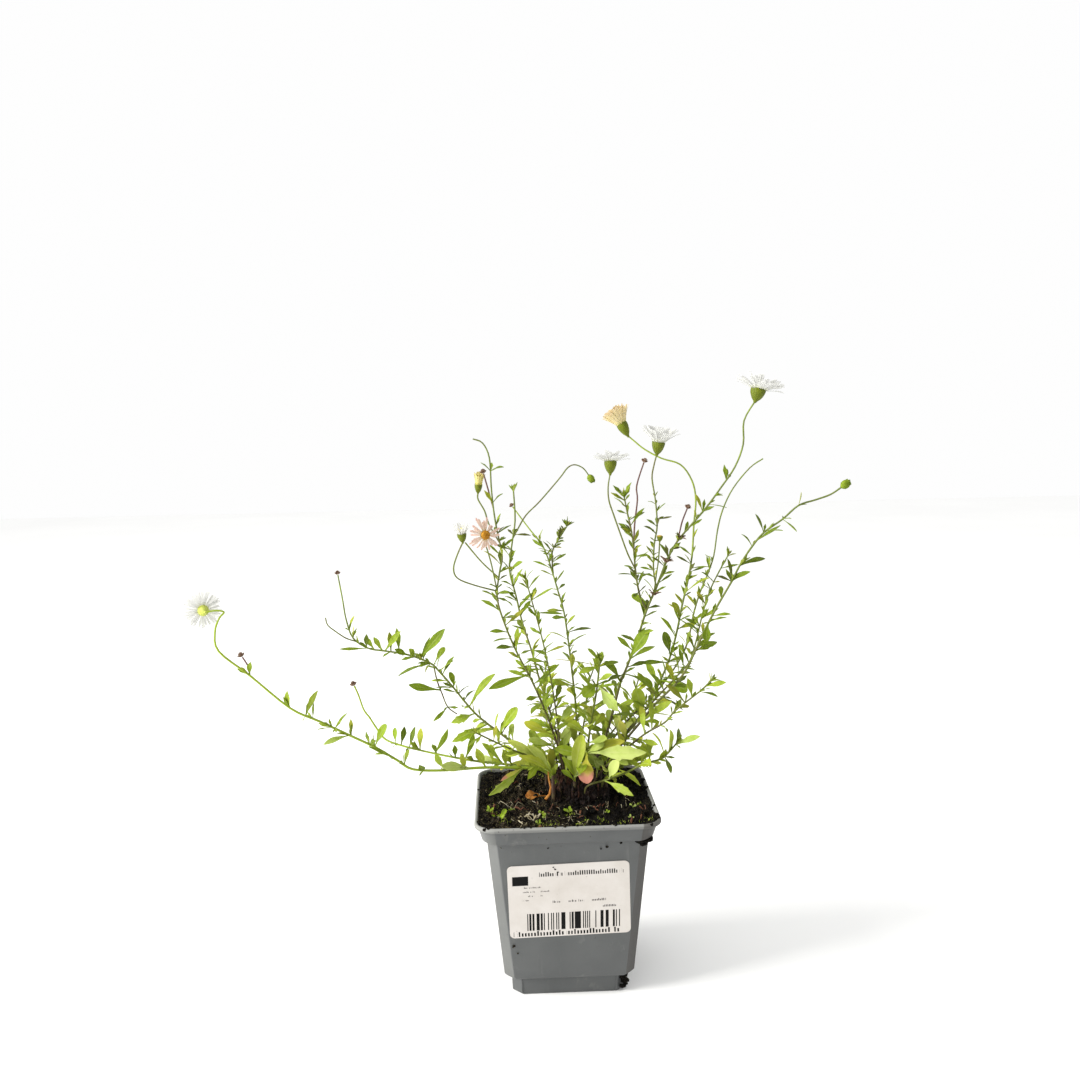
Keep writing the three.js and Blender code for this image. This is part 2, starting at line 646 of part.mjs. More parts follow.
// Joins rings of points, one after another, into a closed surface. A ring turns anticlockwise when it is
// seen from the last ring. A ring of one point is a tip, and the other end rings are closed by a fan.
function loft(rings) {
  const starts = [];
  const positions = [];
  const index = [];
  for (const ring of rings) {
    starts.push(positions.length / 3);
    for (const p of ring) positions.push(p.x, p.y, p.z);
  }
  for (let k = 0; k + 1 < rings.length; k++) {
    const [a, b] = [starts[k], starts[k + 1]];
    const count = Math.max(rings[k].length, rings[k + 1].length);
    for (let i = 0; i < count; i++) {
      const j = (i + 1) % count;
      if (rings[k].length === 1) index.push(a, b + j, b + i);
      else if (rings[k + 1].length === 1) index.push(a + i, a + j, b);
      else index.push(a + i, a + j, b + j, a + i, b + j, b + i);
    }
  }
  for (let i = 1; i + 1 < rings[0].length; i++) index.push(0, i + 1, i);
  const last = starts[rings.length - 1];
  for (let i = 1; i + 1 < rings[rings.length - 1].length; i++) index.push(last, last + i, last + i + 1);
  return solidOf(positions, index);
}

const joined = (solids) => solids.reduce((all, one) => all.add(one));

function meshOf(solid, name, colour, roughness = 0.7) {
  const made = solid.getMesh();
  const geometry = new THREE.BufferGeometry();
  geometry.setAttribute("position", new THREE.BufferAttribute(new Float32Array(made.vertProperties), 3));
  geometry.setIndex(new THREE.BufferAttribute(new Uint32Array(made.triVerts), 1));
  geometry.computeVertexNormals();
  const material = new THREE.MeshStandardMaterial({ color: COLOURS[colour], roughness, metalness: 0 });
  const mesh = new THREE.Mesh(geometry, material);
  mesh.name = name;
  return mesh;
}

// A level ring round the axis, square with corners that are cut straight (round 0) or rounded (round 1).
function squareRing(half, corner, z, round = 0, cornerSteps = 3) {
  const ring = [];
  const centre = half - corner;
  for (let quarter = 0; quarter < 4; quarter++) {
    const turn = (quarter * Math.PI) / 2;
    const middle = new THREE.Vector3(centre, centre, 0);
    for (let i = 0; i <= cornerSteps; i++) {
      const share = i / cornerSteps;
      const arc = new THREE.Vector3(Math.cos((share * Math.PI) / 2), Math.sin((share * Math.PI) / 2), 0);
      const chord = new THREE.Vector3(1 - share, share, 0);
      const point = middle.clone().addScaledVector(chord.lerp(arc, round), corner);
      ring.push(point.applyAxisAngle(new THREE.Vector3(0, 0, 1), turn).setZ(z));
    }
  }
  return ring;
}

// A ring of points round a centre, in the plane of two unit vectors.
function roundRing(centre, u, v, radius, sides, turn = 0) {
  return Array.from({ length: sides }, (_, i) => {
    const angle = turn + (i * 2 * Math.PI) / sides;
    return centre
      .clone()
      .addScaledVector(u, Math.cos(angle) * radius)
      .addScaledVector(v, Math.sin(angle) * radius);
  });
}

// An upright prism.
function prism(x, y, bottom, top, radius, sides) {
  const [u, v] = [new THREE.Vector3(1, 0, 0), new THREE.Vector3(0, 1, 0)];
  return loft([
    roundRing(new THREE.Vector3(x, y, bottom), u, v, radius, sides),
    roundRing(new THREE.Vector3(x, y, top), u, v, radius, sides),
  ]);
}

// The pot

function bodyHalfAt(z) {
  const top = POT.height - POT.collarHeight;
  return THREE.MathUtils.mapLinear(z, POT.footHeight, top, POT.bodyBottomHalf, POT.bodyTopHalf);
}

function potSolid() {
  const { height, rimHalf, rimCorner, rimLip, rimEdge, collarHalf, collarCorner } = POT;
  const { bodyChamfer, footHalf, footChamfer, wall } = POT;
  const collarBottom = height - POT.collarHeight;
  const outer = loft([
    squareRing(footHalf, footChamfer, 0),
    squareRing(footHalf + rimEdge, footChamfer, POT.footHeight - rimEdge),
    squareRing(POT.bodyBottomHalf, bodyChamfer, POT.footHeight),
    squareRing(POT.bodyTopHalf, bodyChamfer, collarBottom - rimEdge),
    squareRing(collarHalf, collarCorner, collarBottom, 0.5),
    squareRing(rimHalf - rimLip / 2, rimCorner, height - rimLip, 1),
    squareRing(rimHalf, rimCorner, height - rimLip / 2, 1),
    squareRing(rimHalf - rimEdge, rimCorner, height, 1),
  ]);
  const hollow = loft([
    squareRing(footHalf - wall, footChamfer - wall / 2, POT.floor),
    squareRing(footHalf - wall, footChamfer - wall / 2, POT.footHeight + wall),
    squareRing(POT.bodyBottomHalf - wall, bodyChamfer - wall / 2, POT.footHeight + 2 * wall),
    squareRing(POT.bodyTopHalf - wall, bodyChamfer - wall / 2, collarBottom),
    squareRing(collarHalf - wall, collarCorner - wall / 2, collarBottom + wall, 0.5),
    squareRing(rimHalf - rimLip, rimCorner - rimLip / 2, height - rimEdge, 1),
    squareRing(rimHalf - rimLip, rimCorner - rimLip / 2, height + rimEdge, 1),
  ]);
  let pot = outer.subtract(hollow);
  for (const x of [-POT.drainOffset, POT.drainOffset])
    for (const y of [-POT.drainOffset, POT.drainOffset])
      pot = pot.subtract(prism(x, y, -1, POT.floor + 1, POT.drainRadius, 10));
  return pot;
}

// The label lies flat on the front wall, a little turned.
function labelMesh() {
  const shape = new THREE.Shape();
  const { width, height, corner, thick } = LABEL;
  const [w, h] = [width / 2, height / 2];
  shape.moveTo(-w + corner, -h).lineTo(w - corner, -h);
  shape.absarc(w - corner, -h + corner, corner, -Math.PI / 2, 0);
  shape.lineTo(w, h - corner).absarc(w - corner, h - corner, corner, 0, Math.PI / 2);
  shape.lineTo(-w + corner, h).absarc(-w + corner, h - corner, corner, Math.PI / 2, Math.PI);
  shape.lineTo(-w, -h + corner).absarc(-w + corner, -h + corner, corner, Math.PI, Math.PI * 1.5);
  const geometry = new THREE.ExtrudeGeometry(shape, {
    depth: thick,
    bevelEnabled: false,
    curveSegments: LABEL.arcSteps,
  });
  const material = new THREE.MeshStandardMaterial({ color: COLOURS.label, roughness: 0.5 });
  const mesh = new THREE.Mesh(geometry, material);
  mesh.name = "label";
  const wallRun = POT.bodyTopHalf - POT.bodyBottomHalf;
  const lean = Math.atan2(wallRun, POT.height - POT.collarHeight - POT.footHeight);
  const middle = LABEL.bottom + h;
  mesh.rotation.set(Math.PI / 2 + lean, 0, LABEL.tilt);
  mesh.position.set(0, -(bodyHalfAt(middle) + GAP / 2), middle);
  return mesh;
}

// The soil

function soilHeight(x, y) {
  const away = Math.hypot(x - CROWN.x, y - CROWN.y);
  const mound = SOIL.mound * Math.exp(-((away / SOIL.moundReach) ** 2));
  const across = Math.sin(x * 0.71 + Math.sin(y * 0.53) * 1.7);
  const along = Math.cos(y * 0.83 + Math.sin(x * 0.47) * 1.9);
  return SOIL.level + mound + SOIL.crumb * across * along;
}

function soilSolid(feet) {
  const { wall, footHeight, footChamfer, bodyChamfer, height } = POT;
  const inset = GAP + wall;
  const collarBottom = height - POT.collarHeight;
  const topHalf = POT.rimHalf - POT.rimLip - SOIL.edge;
  const rings = [
    squareRing(POT.footHalf - inset, footChamfer - wall / 2, SOIL.bottom),
    squareRing(POT.footHalf - inset, footChamfer - wall / 2, footHeight + 2 * wall),
    squareRing(POT.bodyBottomHalf - inset, bodyChamfer - wall / 2, footHeight + 3 * wall),
    squareRing(POT.bodyTopHalf - inset, bodyChamfer - wall / 2, collarBottom),
    squareRing(POT.collarHalf - inset - GAP, POT.collarCorner - wall / 2, collarBottom + 2 * wall, 0.5),
  ];
  for (let k = SOIL.circles; k >= 1; k--) {
    const share = k / SOIL.circles;
    const ring = squareRing(topHalf * share, SOIL.corner * share, 0, 1);
    rings.push(ring.map((p) => p.setZ(soilHeight(p.x, p.y))));
  }
  rings.push([new THREE.Vector3(0, 0, soilHeight(0, 0))]);
  const holes = feet.map(({ x, y, radius }) => prism(x, y, HOLE.bottom, height * 2, radius, HOLE.sides));
  return holes.reduce((soil, hole) => soil.subtract(hole), loft(rings));
}

// Stems and leaves

// A point on the smooth curve through four points, at a share t of the way from the second to the third.
function curvePoint(p0, p1, p2, p3, t) {
  const along = (axis) => {
    const [a, b, c, d] = [p0[axis], p1[axis], p2[axis], p3[axis]];
    const [square, cube] = [2 * a - 5 * b + 4 * c - d, 3 * b - a - 3 * c + d];
    return 0.5 * (2 * b + (c - a) * t + square * t * t + cube * t * t * t);
  };
  return new THREE.Vector3(along("x"), along("y"), along("z"));
}

// Samples of a route, each with its point, direction, a side direction that doesn't twist, and its
// distance.
function sampleRoute(points) {
  const places = [];
  points.forEach((point, i) => {
    if (i + 1 === points.length) return;
    const before = points[Math.max(i - 1, 0)];
    const after = points[Math.min(i + 2, points.length - 1)];
    for (let step = 0; step < CURVE_STEPS; step++)
      places.push(curvePoint(before, point, points[i + 1], after, step / CURVE_STEPS));
  });
  places.push(points[points.length - 1].clone());
  let side = null;
  let distance = 0;
  return places.map((place, i) => {
    const ahead = places[Math.min(i + 1, places.length - 1)];
    const behind = places[Math.max(i - 1, 0)];
    const direction = ahead.clone().sub(behind).normalize();
    side = side ?? new THREE.Vector3(0, 1, 0).cross(direction);
    side = side.clone().addScaledVector(direction, -side.dot(direction)).normalize();
    if (i) distance += place.distanceTo(behind);
    return { place, direction, side, distance };
  });
}

function sampleAt(samples, distance) {
  const next = samples.findIndex((s) => s.distance >= distance);
  if (next <= 0) return samples[next === 0 ? 0 : samples.length - 1];
  const [a, b] = [samples[next - 1], samples[next]];
  const share = (distance - a.distance) / (b.distance - a.distance);
  return { ...a, place: a.place.clone().lerp(b.place, share), distance };
}

const nearestSample = (samples, point) =>
  samples.reduce((best, s) => (s.place.distanceTo(point) < best.place.distanceTo(point) ? s : best));

// A tube round the route, with a ring at every point of the route.
function stemTube(samples, [thick, thin], sides) {
  const length = samples[samples.length - 1].distance;
  const rings = samples
    .filter((_, i) => i % CURVE_STEPS === 0)
    .map(({ place, direction, side, distance }) => {
      const radius = THREE.MathUtils.lerp(thick, thin, distance / length);
      return roundRing(place, side, direction.clone().cross(side), radius, sides);
    });
  return loft(rings);
}

// The side and the upper direction of a leaf, and its arched middle line at a share of its length.
function leafFrame({ root, tip, up, arch }) {
  const along = tip.clone().sub(root);
  const direction = along.clone().normalize();
  const side = direction.clone().cross(up).normalize();
  const normal = side.clone().cross(direction);
  const lift = arch * along.length() * 4;
  const middle = (share) =>
    root.clone().addScaledVector(along, share).addScaledVector(normal, lift * share * (1 - share));
  return { side, normal, middle };
}

// A blade from root to tip. up is roughly the way its upper face looks, and arch lifts its middle by that
// share of its length.
function blade(leaf) {
  const { side, normal, middle: middleAt } = leafFrame(leaf);
  const slim = leaf.outline === "narrow" || leaf.outline === "long";
  const rings = BLADES[leaf.outline].map(([share, wide]) => {
    const middle = middleAt(share);
    if (!wide) return [middle];
    const half = Math.max((leaf.width / 2) * wide, BLADE_LEAST_HALF);
    const right = middle.clone().addScaledVector(side, half);
    const left = middle.clone().addScaledVector(side, -half);
    if (slim) return [right, middle.clone().addScaledVector(normal, -BLADE_THICK), left];
    const above = middle.clone().addScaledVector(normal, BLADE_THICK / 2);
    const below = middle.clone().addScaledVector(normal, -BLADE_THICK / 2);
    return [above, right, below, left];
  });
  return loft(rings);
}

// Clearance between rods: each has two ends and a radius, and belongs to a piece by name.

const rods = [];

function rodGap(p, q) {
  const [d1, d2] = [p.b.clone().sub(p.a), q.b.clone().sub(q.a)];
  const r = p.a.clone().sub(q.a);
  const [a, e, f] = [d1.dot(d1), d2.dot(d2), d2.dot(r)];
  const [c, b] = [d1.dot(r), d1.dot(d2)];
  const spread = a * e - b * b;
  let s = spread > 1e-9 ? THREE.MathUtils.clamp((b * f - c * e) / spread, 0, 1) : 0;
  let t = (b * s + f) / e;
  if (t < 0 || t > 1) {
    t = THREE.MathUtils.clamp(t, 0, 1);
    s = THREE.MathUtils.clamp((b * t - c) / a, 0, 1);
  }
  const near = p.a.clone().addScaledVector(d1, s);
  return near.distanceTo(q.a.clone().addScaledVector(d2, t)) - p.radius - q.radius;
}

const isClear = (rod) => rods.every((other) => other.piece === rod.piece || rodGap(rod, other) >= CLEAR);

// The space that a leaf takes: its stalk part is slim, and its outer part is as wide as its blade.
function leafRods(leaf, piece) {
  const { middle } = leafFrame(leaf);
  const { shares, leastHalf, stalkHalf } = LEAF_ROD;
  const half = Math.max(leaf.width / 2, leastHalf);
  return shares.slice(1).map((share, i) => ({
    piece,
    a: middle(shares[i]),
    b: middle(share),
    radius: i ? half : Math.min(half, stalkHalf),
  }));
}

// The leaf that the rule gives at one place of a stem, turned by extra radians round it.
function ruleLeaf(sample, rule, k, extra) {
  const share = THREE.MathUtils.clamp((sample.distance - rule.from) / (rule.to - rule.from), 0, 1);
  const jitter = (salt, size) => (scatter(k, rule.phase + salt) - 0.5) * size;
  const turn = rule.phase * 2 + k * GOLDEN_TURN + extra + jitter(0, RULE.turnSpread);
  const { side } = sample;
  const across = sample.direction.clone().cross(side);
  const outward = side.clone().multiplyScalar(Math.cos(turn)).addScaledVector(across, Math.sin(turn));
  const lean = THREE.MathUtils.lerp(RULE.leanLow, RULE.leanHigh, share) + jitter(3, RULE.leanSpread);
  const direction = sample.direction
    .clone()
    .multiplyScalar(Math.cos(lean))
    .addScaledVector(outward, Math.sin(lean))
    .add(new THREE.Vector3(0, 0, RULE.lift))
    .normalize();
  const size = RULE.shortest + RULE.lengthSpread * scatter(k, rule.phase + 7);
  const length = THREE.MathUtils.lerp(rule.low, rule.high, share) * size;
  const outline = share < RULE.broadUpTo ? (rule.outline ?? "narrow") : "narrow";
  return {
    root: sample.place.clone(),
    tip: sample.place.clone().addScaledVector(direction, length),
    width: length * (outline === "narrow" ? RULE.narrowWide : RULE.broadWide),
    outline,
    up: sample.direction.clone().add(new THREE.Vector3(0, 0, RULE.facing)),
    arch: RULE.arch,
  };
}

// A leaf that is set by hand faces up, and its root is moved onto the stem.
function placedLeaf([root, tip, width, outline], samples) {
  const from = nearestSample(samples, vec(root)).place.clone();
  return { root: from, tip: vec(tip), width, outline, up: vec(PLACED.up), arch: PLACED.arch };
}

// Books the space of a leaf that is set by hand. One that meets another piece is swung a little to either
// side.
function fitted(leaf, piece) {
  const along = leaf.tip.clone().sub(leaf.root);
  for (const turn of PLACED_TURNS)
    for (const lift of PLACED_LIFTS) {
      const swung = along.clone().applyAxisAngle(new THREE.Vector3(0, 0, 1), turn);
      const tried = { ...leaf, tip: leaf.root.clone().add(swung).add(new THREE.Vector3(0, 0, lift)) };
      const space = leafRods(tried, piece);
      if (!space.every(isClear)) continue;
      rods.push(...space);
      return [tried];
    }
  return [];
}

// Sets leaves along a stem. One that meets another piece is turned round the stem, or else left out.
function ruleLeaves(samples, rule, piece) {
  const made = [];
  for (let k = 0; rule.from + k * rule.every <= rule.to; k++) {
    const sample = sampleAt(samples, rule.from + k * rule.every);
    for (const extra of RULE_TURNS) {
      const leaf = ruleLeaf(sample, rule, k, extra);
      const space = leafRods(leaf, piece);
      if (!space.every(isClear)) continue;
      rods.push(...space);
      made.push(leaf);
      break;
    }
  }
  return made;
}

// Flowers

// Two unit vectors that stand square on a direction and on each other.
function crossAxes(facing) {
  const u = new THREE.Vector3(0, 1, 0).cross(facing).normalize();
  return [u, facing.clone().cross(u)];
}

// Rings along a direction, from rows of height and width that are shares of a size.
const ringsAlong = (start, facing, rows, height, radius, sides) =>
  rows.map(([share, wide]) => {
    const middle = start.clone().addScaledVector(facing, height * share);
    return roundRing(middle, ...crossAxes(facing), radius * wide, sides);
  });

// The green cup under a bloom.
const cupSolid = (end, facing, radius, tall) =>
  loft(ringsAlong(end, facing, CUP.rows, tall, radius, CUP.sides));

// A round bud.
function budSolid(end, facing, radius) {
  const height = radius * BUD.height;
  const rings = ringsAlong(end, facing, BUD.rows, height, radius, CUP.sides);
  return loft([...rings, [end.clone().addScaledVector(facing, height)]]);
}

// A star of rays round a hub, as one plate. Each ray has a valley beside it, two shoulders and a blunt tip,
// and rises towards the facing side.
function raySolid(centre, facing, bloom) {
  const [u, v] = crossAxes(facing);
  const hub = bloom.cup * RAY.hub;
  const halfThick = RAY.hubThick / 2;
  const rise = Math.atan(bloom.rise);
  const step = (2 * Math.PI) / bloom.rays;
  const point = (angle, reach, aside, level) => {
    const out = u.clone().multiplyScalar(Math.cos(angle)).addScaledVector(v, Math.sin(angle));
    const across = facing.clone().cross(out);
    const normal = facing.clone().multiplyScalar(Math.cos(rise)).addScaledVector(out, -Math.sin(rise));
    return centre
      .clone()
      .addScaledVector(facing, halfThick + reach * Math.sin(rise))
      .addScaledVector(out, hub + reach * Math.cos(rise))
      .addScaledVector(across, aside)
      .addScaledVector(reach ? normal : facing, level * halfThick);
  };
  const face = (level) => {
    const ring = [];
    for (let k = 0; k < bloom.rays; k++) {
      const angle = k * step;
      const long = bloom.long * (k % 2 ? 1 : RAY.shortRay);
      ring.push(
        point(angle - step / 2, 0, 0, level),
        point(angle, long * RAY.shoulder, -bloom.wide / 2, level),
        point(angle, long, 0, level),
        point(angle, long * RAY.shoulder, bloom.wide / 2, level),
      );
    }
    return ring;
  };
  const rings = [face(-1), face(1)];
  const count = rings[0].length;
  const positions = rings.flat().flatMap((p) => p.toArray());
  const middles = [-1, 1].map((level) => {
    positions.push(...centre.clone().addScaledVector(facing, halfThick * (1 + level)).toArray());
    return positions.length / 3 - 1;
  });
  const index = [];
  const add = (a, b, c) => {
    index.push(count + a, count + b, count + c, a, c, b); // the upper face, and the lower one turned round
  };
  for (let i = 0; i < count; i += 4) {
    const next = (i + 4) % count;
    add(i, i + 1, i + 3);
    add(i, i + 3, next);
    add(i + 1, i + 2, i + 3);
    index.push(middles[1], count + i, count + next, middles[0], next, i);
  }
  for (let i = 0; i < count; i++) {
    const j = (i + 1) % count;
    index.push(i, j, count + j, i, count + j, count + i);
  }
  return solidOf(positions, index);
}

// The yellow disc: a low dome of two steps.
function discSolid(centre, facing, bloom) {
  const rings = ringsAlong(centre, facing, DISC.rows, 1, bloom.cup * DISC.radius, DISC.sides);
  return loft([...rings, [centre.clone().addScaledVector(facing, DISC.top)]]);
}

// A spent head: a small dry knob with a collar of points.
function headSolid(centre, direction, size) {
  const axes = crossAxes(direction);
  const rings = HEAD.rows.map(([height, wide, notch]) => {
    const middle = centre.clone().addScaledVector(direction, height * size);
    const round = roundRing(middle, ...axes, size, HEAD.points * 2);
    return round.map((p, i) => middle.clone().lerp(p, i % 2 ? notch : wide));
  });
  return loft([...rings, [centre.clone().addScaledVector(direction, HEAD.top * size)]]);
}

// Tracing: the lines of a stem and its branches, and the space that they take

function traceStem(stem) {
  const route = [[...stem.foot, FOOT.bottom], [...stem.foot, FOOT.top], ...stem.route];
  const lines = [{ ...stem, sides: STEM_SIDES, samples: sampleRoute(route.map(vec)) }];
  for (const branch of stem.branches ?? []) {
    const points = branch.route.map(vec);
    const drawn = lines.flatMap((line) => line.samples);
    points[0] = nearestSample(drawn, points[0]).place.clone(); // a branch starts on the stem that bears it
    lines.push({ ...branch, sides: BRANCH_SIDES, samples: sampleRoute(points) });
  }
  for (const { samples, radius } of lines)
    samples.slice(1).forEach((s, i) => {
      rods.push({ piece: stem.name, a: samples[i].place, b: s.place, radius: radius[0] });
    });
  return lines;
}

// Books the space of what a line bears at its end.
function bookEnd(line, piece) {
  const { place, direction } = line.samples[line.samples.length - 1];
  const reach = (from, way, length) => from.clone().addScaledVector(way, length);
  if (line.bloom) {
    const { long, cup, tall, rise } = BLOOMS[line.bloom.kind];
    const facing = vec(line.bloom.facing).normalize();
    const top = reach(place, facing, tall + 1);
    const flare = rise > 1 ? 0.6 : 1;
    rods.push({ piece, a: place, b: top, radius: cup });
    rods.push({ piece: "bloom", a: top, b: reach(top, facing, 1), radius: (long + cup) * flare });
  } else if (line.head) {
    const { name, size } = line.head;
    const start = reach(place, direction, size);
    rods.push({ piece: name, a: start, b: reach(start, direction, 0.5), radius: 1.5 * size });
  } else if (line.bud) {
    rods.push({ piece, a: place, b: reach(place, direction, 3), radius: line.bud });
  }
}

// The crown: a woody knot with the dry stubs of older stems.
function crownSolid() {
  const axes = [new THREE.Vector3(1, 0, 0), new THREE.Vector3(0, 1, 0)];
  const knot = loft(
    CROWN.rows.map(([z, wide], k) => {
      const middle = new THREE.Vector3(CROWN.x, CROWN.y, z);
      return roundRing(middle, ...axes, CROWN.radius * wide, CROWN.sides, k * CROWN.twist);
    }),
  );
  const stubs = CROWN.stubs.map(([dx, dy, top, lean]) => {
    const low = new THREE.Vector3(CROWN.x + dx, CROWN.y + dy, CROWN.stubFoot);
    const high = new THREE.Vector3(CROWN.x + dx + lean, CROWN.y + 3 * dy, top);
    const across = crossAxes(high.clone().sub(low).normalize());
    return loft([low, high].map((end, i) => roundRing(end, ...across, CROWN.stubRadius[i], HOLE.sides)));
  });
  return joined([knot, ...stubs]);
}

// The bloom or the spent head at the end of a line, and the solids that belong to the stem itself.
function endPieces(line) {
  const { place, direction } = line.samples[line.samples.length - 1];
  if (line.bud) return { solids: [budSolid(place, direction, line.bud)], meshes: [] };
  if (line.head) {
    const head = headSolid(place.clone().addScaledVector(direction, GAP), direction, line.head.size);
    return { solids: [], meshes: [meshOf(head, line.head.name, "head", 0.9)] };
  }
  if (!line.bloom) return { solids: [], meshes: [] };
  const { kind } = line.bloom;
  const bloom = BLOOMS[kind];
  const facing = vec(line.bloom.facing).normalize();
  const seat = place.clone().addScaledVector(facing, bloom.tall + GAP);
  const top = seat.clone().addScaledVector(facing, RAY.hubThick + GAP);
  const meshes = [meshOf(raySolid(seat, facing, bloom), `rays_${kind}`, bloom.colour, 0.6)];
  if (bloom.rise < RAY.closed) {
    meshes.push(meshOf(discSolid(top, facing, bloom), `disc_${kind}`, "disc", 0.8));
  }
  return { solids: [cupSolid(place, facing, bloom.cup, bloom.tall)], meshes };
}

// Growth: stems first, then what they bear, then leaves set by hand, then leaves by rule

const grown = STEMS.map((stem) => ({ stem, lines: traceStem(stem) }));
for (const { stem, lines } of grown) for (const line of lines) bookEnd(line, stem.name);

// The fallen leaf rests on the soil in front of the crown.
const onSoil = ([x, y]) => new THREE.Vector3(x, y, soilHeight(x, y) + FALLEN.above);
const fallenLeaf = {
  root: onSoil(FALLEN.from),
  tip: onSoil(FALLEN.to),
  width: FALLEN.width,
  outline: "spoon",
  up: vec(FALLEN.up),
  arch: FALLEN.arch,
};
rods.push(...leafRods(fallenLeaf, "fallen_leaf"));

const neckOf = (tuft, below = 0) => new THREE.Vector3(...tuft.foot, tuft.neck - below);
for (const tuft of TUFTS) {
  const foot = new THREE.Vector3(...tuft.foot, FOOT.bottom);
  rods.push({ piece: tuft.name, a: foot, b: neckOf(tuft), radius: TUFT.radius });
}

const placedLeaves = grown.map(({ stem, lines }) =>
  lines
    .flatMap(({ placed = [], samples }) => placed.map((one) => placedLeaf(one, samples)))
    .flatMap((leaf) => fitted(leaf, stem.name)),
);
const tuftLeaves = TUFTS.map((tuft) =>
  tuft.leaves.flatMap(([tip, width, outline]) => {
    const root = neckOf(tuft, TUFT.rootBelow);
    return fitted({ root, tip: vec(tip), width, outline, up: vec(TUFT.up), arch: TUFT.arch }, tuft.name);
  }),
);
const ruledLeaves = grown.map(({ stem, lines }) =>
  lines.flatMap(({ leaves, samples }) => (leaves ? ruleLeaves(samples, leaves, stem.name) : [])),
);

// The part

const holeAt = ([x, y], radius) => ({ x, y, radius: (radius + GAP) * HOLE.room });
const holes = [
  ...STEMS.map((stem) => holeAt(stem.foot, stem.radius[0])),
  ...TUFTS.map((tuft) => holeAt(tuft.foot, TUFT.radius)),
  holeAt([CROWN.x, CROWN.y], CROWN.radius * CROWN.widest),
];

const part = new THREE.Group();
part.name = "potted_mexican_fleabane";
part.add(meshOf(potSolid(), "pot", "pot", 0.55));
part.add(labelMesh());
part.add(meshOf(soilSolid(holes), "soil", "soil", 0.95));
part.add(meshOf(crownSolid(), "crown", "crown", 0.9));
part.add(meshOf(blade(fallenLeaf), "fallen_leaf", "dead", 0.8));
grown.forEach(({ stem, lines }, i) => {
  const ends = lines.map(endPieces);
  const tubes = lines.map((line) => stemTube(line.samples, line.radius, line.sides));
  const blades = [...placedLeaves[i], ...ruledLeaves[i]].map(blade);
  const solids = [...tubes, ...ends.flatMap((end) => end.solids), ...blades];
  part.add(meshOf(joined(solids), stem.name, "leaf", 0.6));
  for (const mesh of ends.flatMap((end) => end.meshes)) part.add(mesh);
});
TUFTS.forEach((tuft, i) => {
  const neck = prism(...tuft.foot, FOOT.bottom, tuft.neck, TUFT.radius, TUFT.sides);
  part.add(meshOf(joined([neck, ...tuftLeaves[i].map(blade)]), tuft.name, "leaf", 0.6));
});

export default part;
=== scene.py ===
"""Looks of a potted mexican fleabane: a small trailing daisy in a square grey nursery pot.

The stems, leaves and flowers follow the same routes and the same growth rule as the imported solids, and each fine
piece takes the place of the solid that it stands for. Plans are in millimetres, and meshes are in metres.
"""

import logging
import math
from collections.abc import Callable, Iterable, Iterator
from contextlib import contextmanager
from dataclasses import dataclass, field
from enum import Enum
from functools import partial
from itertools import product

import bmesh
import bpy
import numpy as np
from mathutils import Matrix, Vector, noise


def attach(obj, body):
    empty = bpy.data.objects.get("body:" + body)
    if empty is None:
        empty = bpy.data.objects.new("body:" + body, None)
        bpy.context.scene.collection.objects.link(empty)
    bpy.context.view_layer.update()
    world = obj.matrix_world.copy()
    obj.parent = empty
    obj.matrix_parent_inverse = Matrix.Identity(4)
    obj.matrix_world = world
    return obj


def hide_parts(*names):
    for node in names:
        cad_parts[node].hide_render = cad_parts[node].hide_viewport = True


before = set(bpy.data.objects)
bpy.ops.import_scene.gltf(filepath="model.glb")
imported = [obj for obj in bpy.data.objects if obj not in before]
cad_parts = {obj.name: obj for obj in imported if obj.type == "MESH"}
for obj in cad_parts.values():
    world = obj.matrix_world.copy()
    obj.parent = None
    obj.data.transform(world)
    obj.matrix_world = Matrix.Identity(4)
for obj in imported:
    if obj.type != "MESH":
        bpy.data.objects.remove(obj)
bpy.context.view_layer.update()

LOG = logging.getLogger("fleabane")
# The name of the vertex values that the green finishes read.
GROWTH = "growth"
# One millimetre, in metres.
MM = 0.001
# A whole turn, to the digits that the litter is laid out with.
LITTER_TURN = 6.283
# The turn from one leaf of a stem to the next.
GOLDEN_TURN = math.radians(137.5)
# The pieces that each stretch of a route is cut into.
CURVE_STEPS = 4
# The gap that the growth rule keeps between two pieces, in millimetres.
CLEAR = 0.35

Point = tuple[float, ...]
Array = np.ndarray
Piece = bpy.types.Object
Socket = bpy.types.NodeSocket


class Outline(Enum):
    """The outlines that a leaf blade can have."""

    NARROW = "narrow"
    LONG = "long"
    SPOON = "spoon"
    TOOTHED = "toothed"


NARROW, LONG, SPOON, TOOTHED = Outline


@dataclass(frozen=True)
class Spot:
    """A leaf that is listed for a stem."""

    root: Point
    tip: Point
    width: float
    outline: Outline


@dataclass(frozen=True)
class LeafRule:
    """Leaves at even distances along a stem, from low long near its foot to high long near its tip."""

    start: float
    stop: float
    every: float
    low: float
    high: float
    phase: float
    outline: Outline = NARROW


@dataclass(frozen=True)
class BloomEnd:
    """A flower at the end of a stem."""

    kind: str
    facing: Point


@dataclass(frozen=True)
class HeadEnd:
    """A spent head at the end of a stem."""

    node: str
    size: float


@dataclass(frozen=True)
class BudEnd:
    """A green bud, or a small one with a yellow top, at the end of a stem."""

    radius: float


@dataclass(frozen=True)
class LinePlan:
    """The route of a stem or of a side shoot, its radius at both ends, and what it bears."""

    radius: Point
    route: tuple[Point, ...]
    rule: LeafRule | None = None
    placed: tuple[Spot, ...] = ()
    end: BloomEnd | HeadEnd | BudEnd | None = None


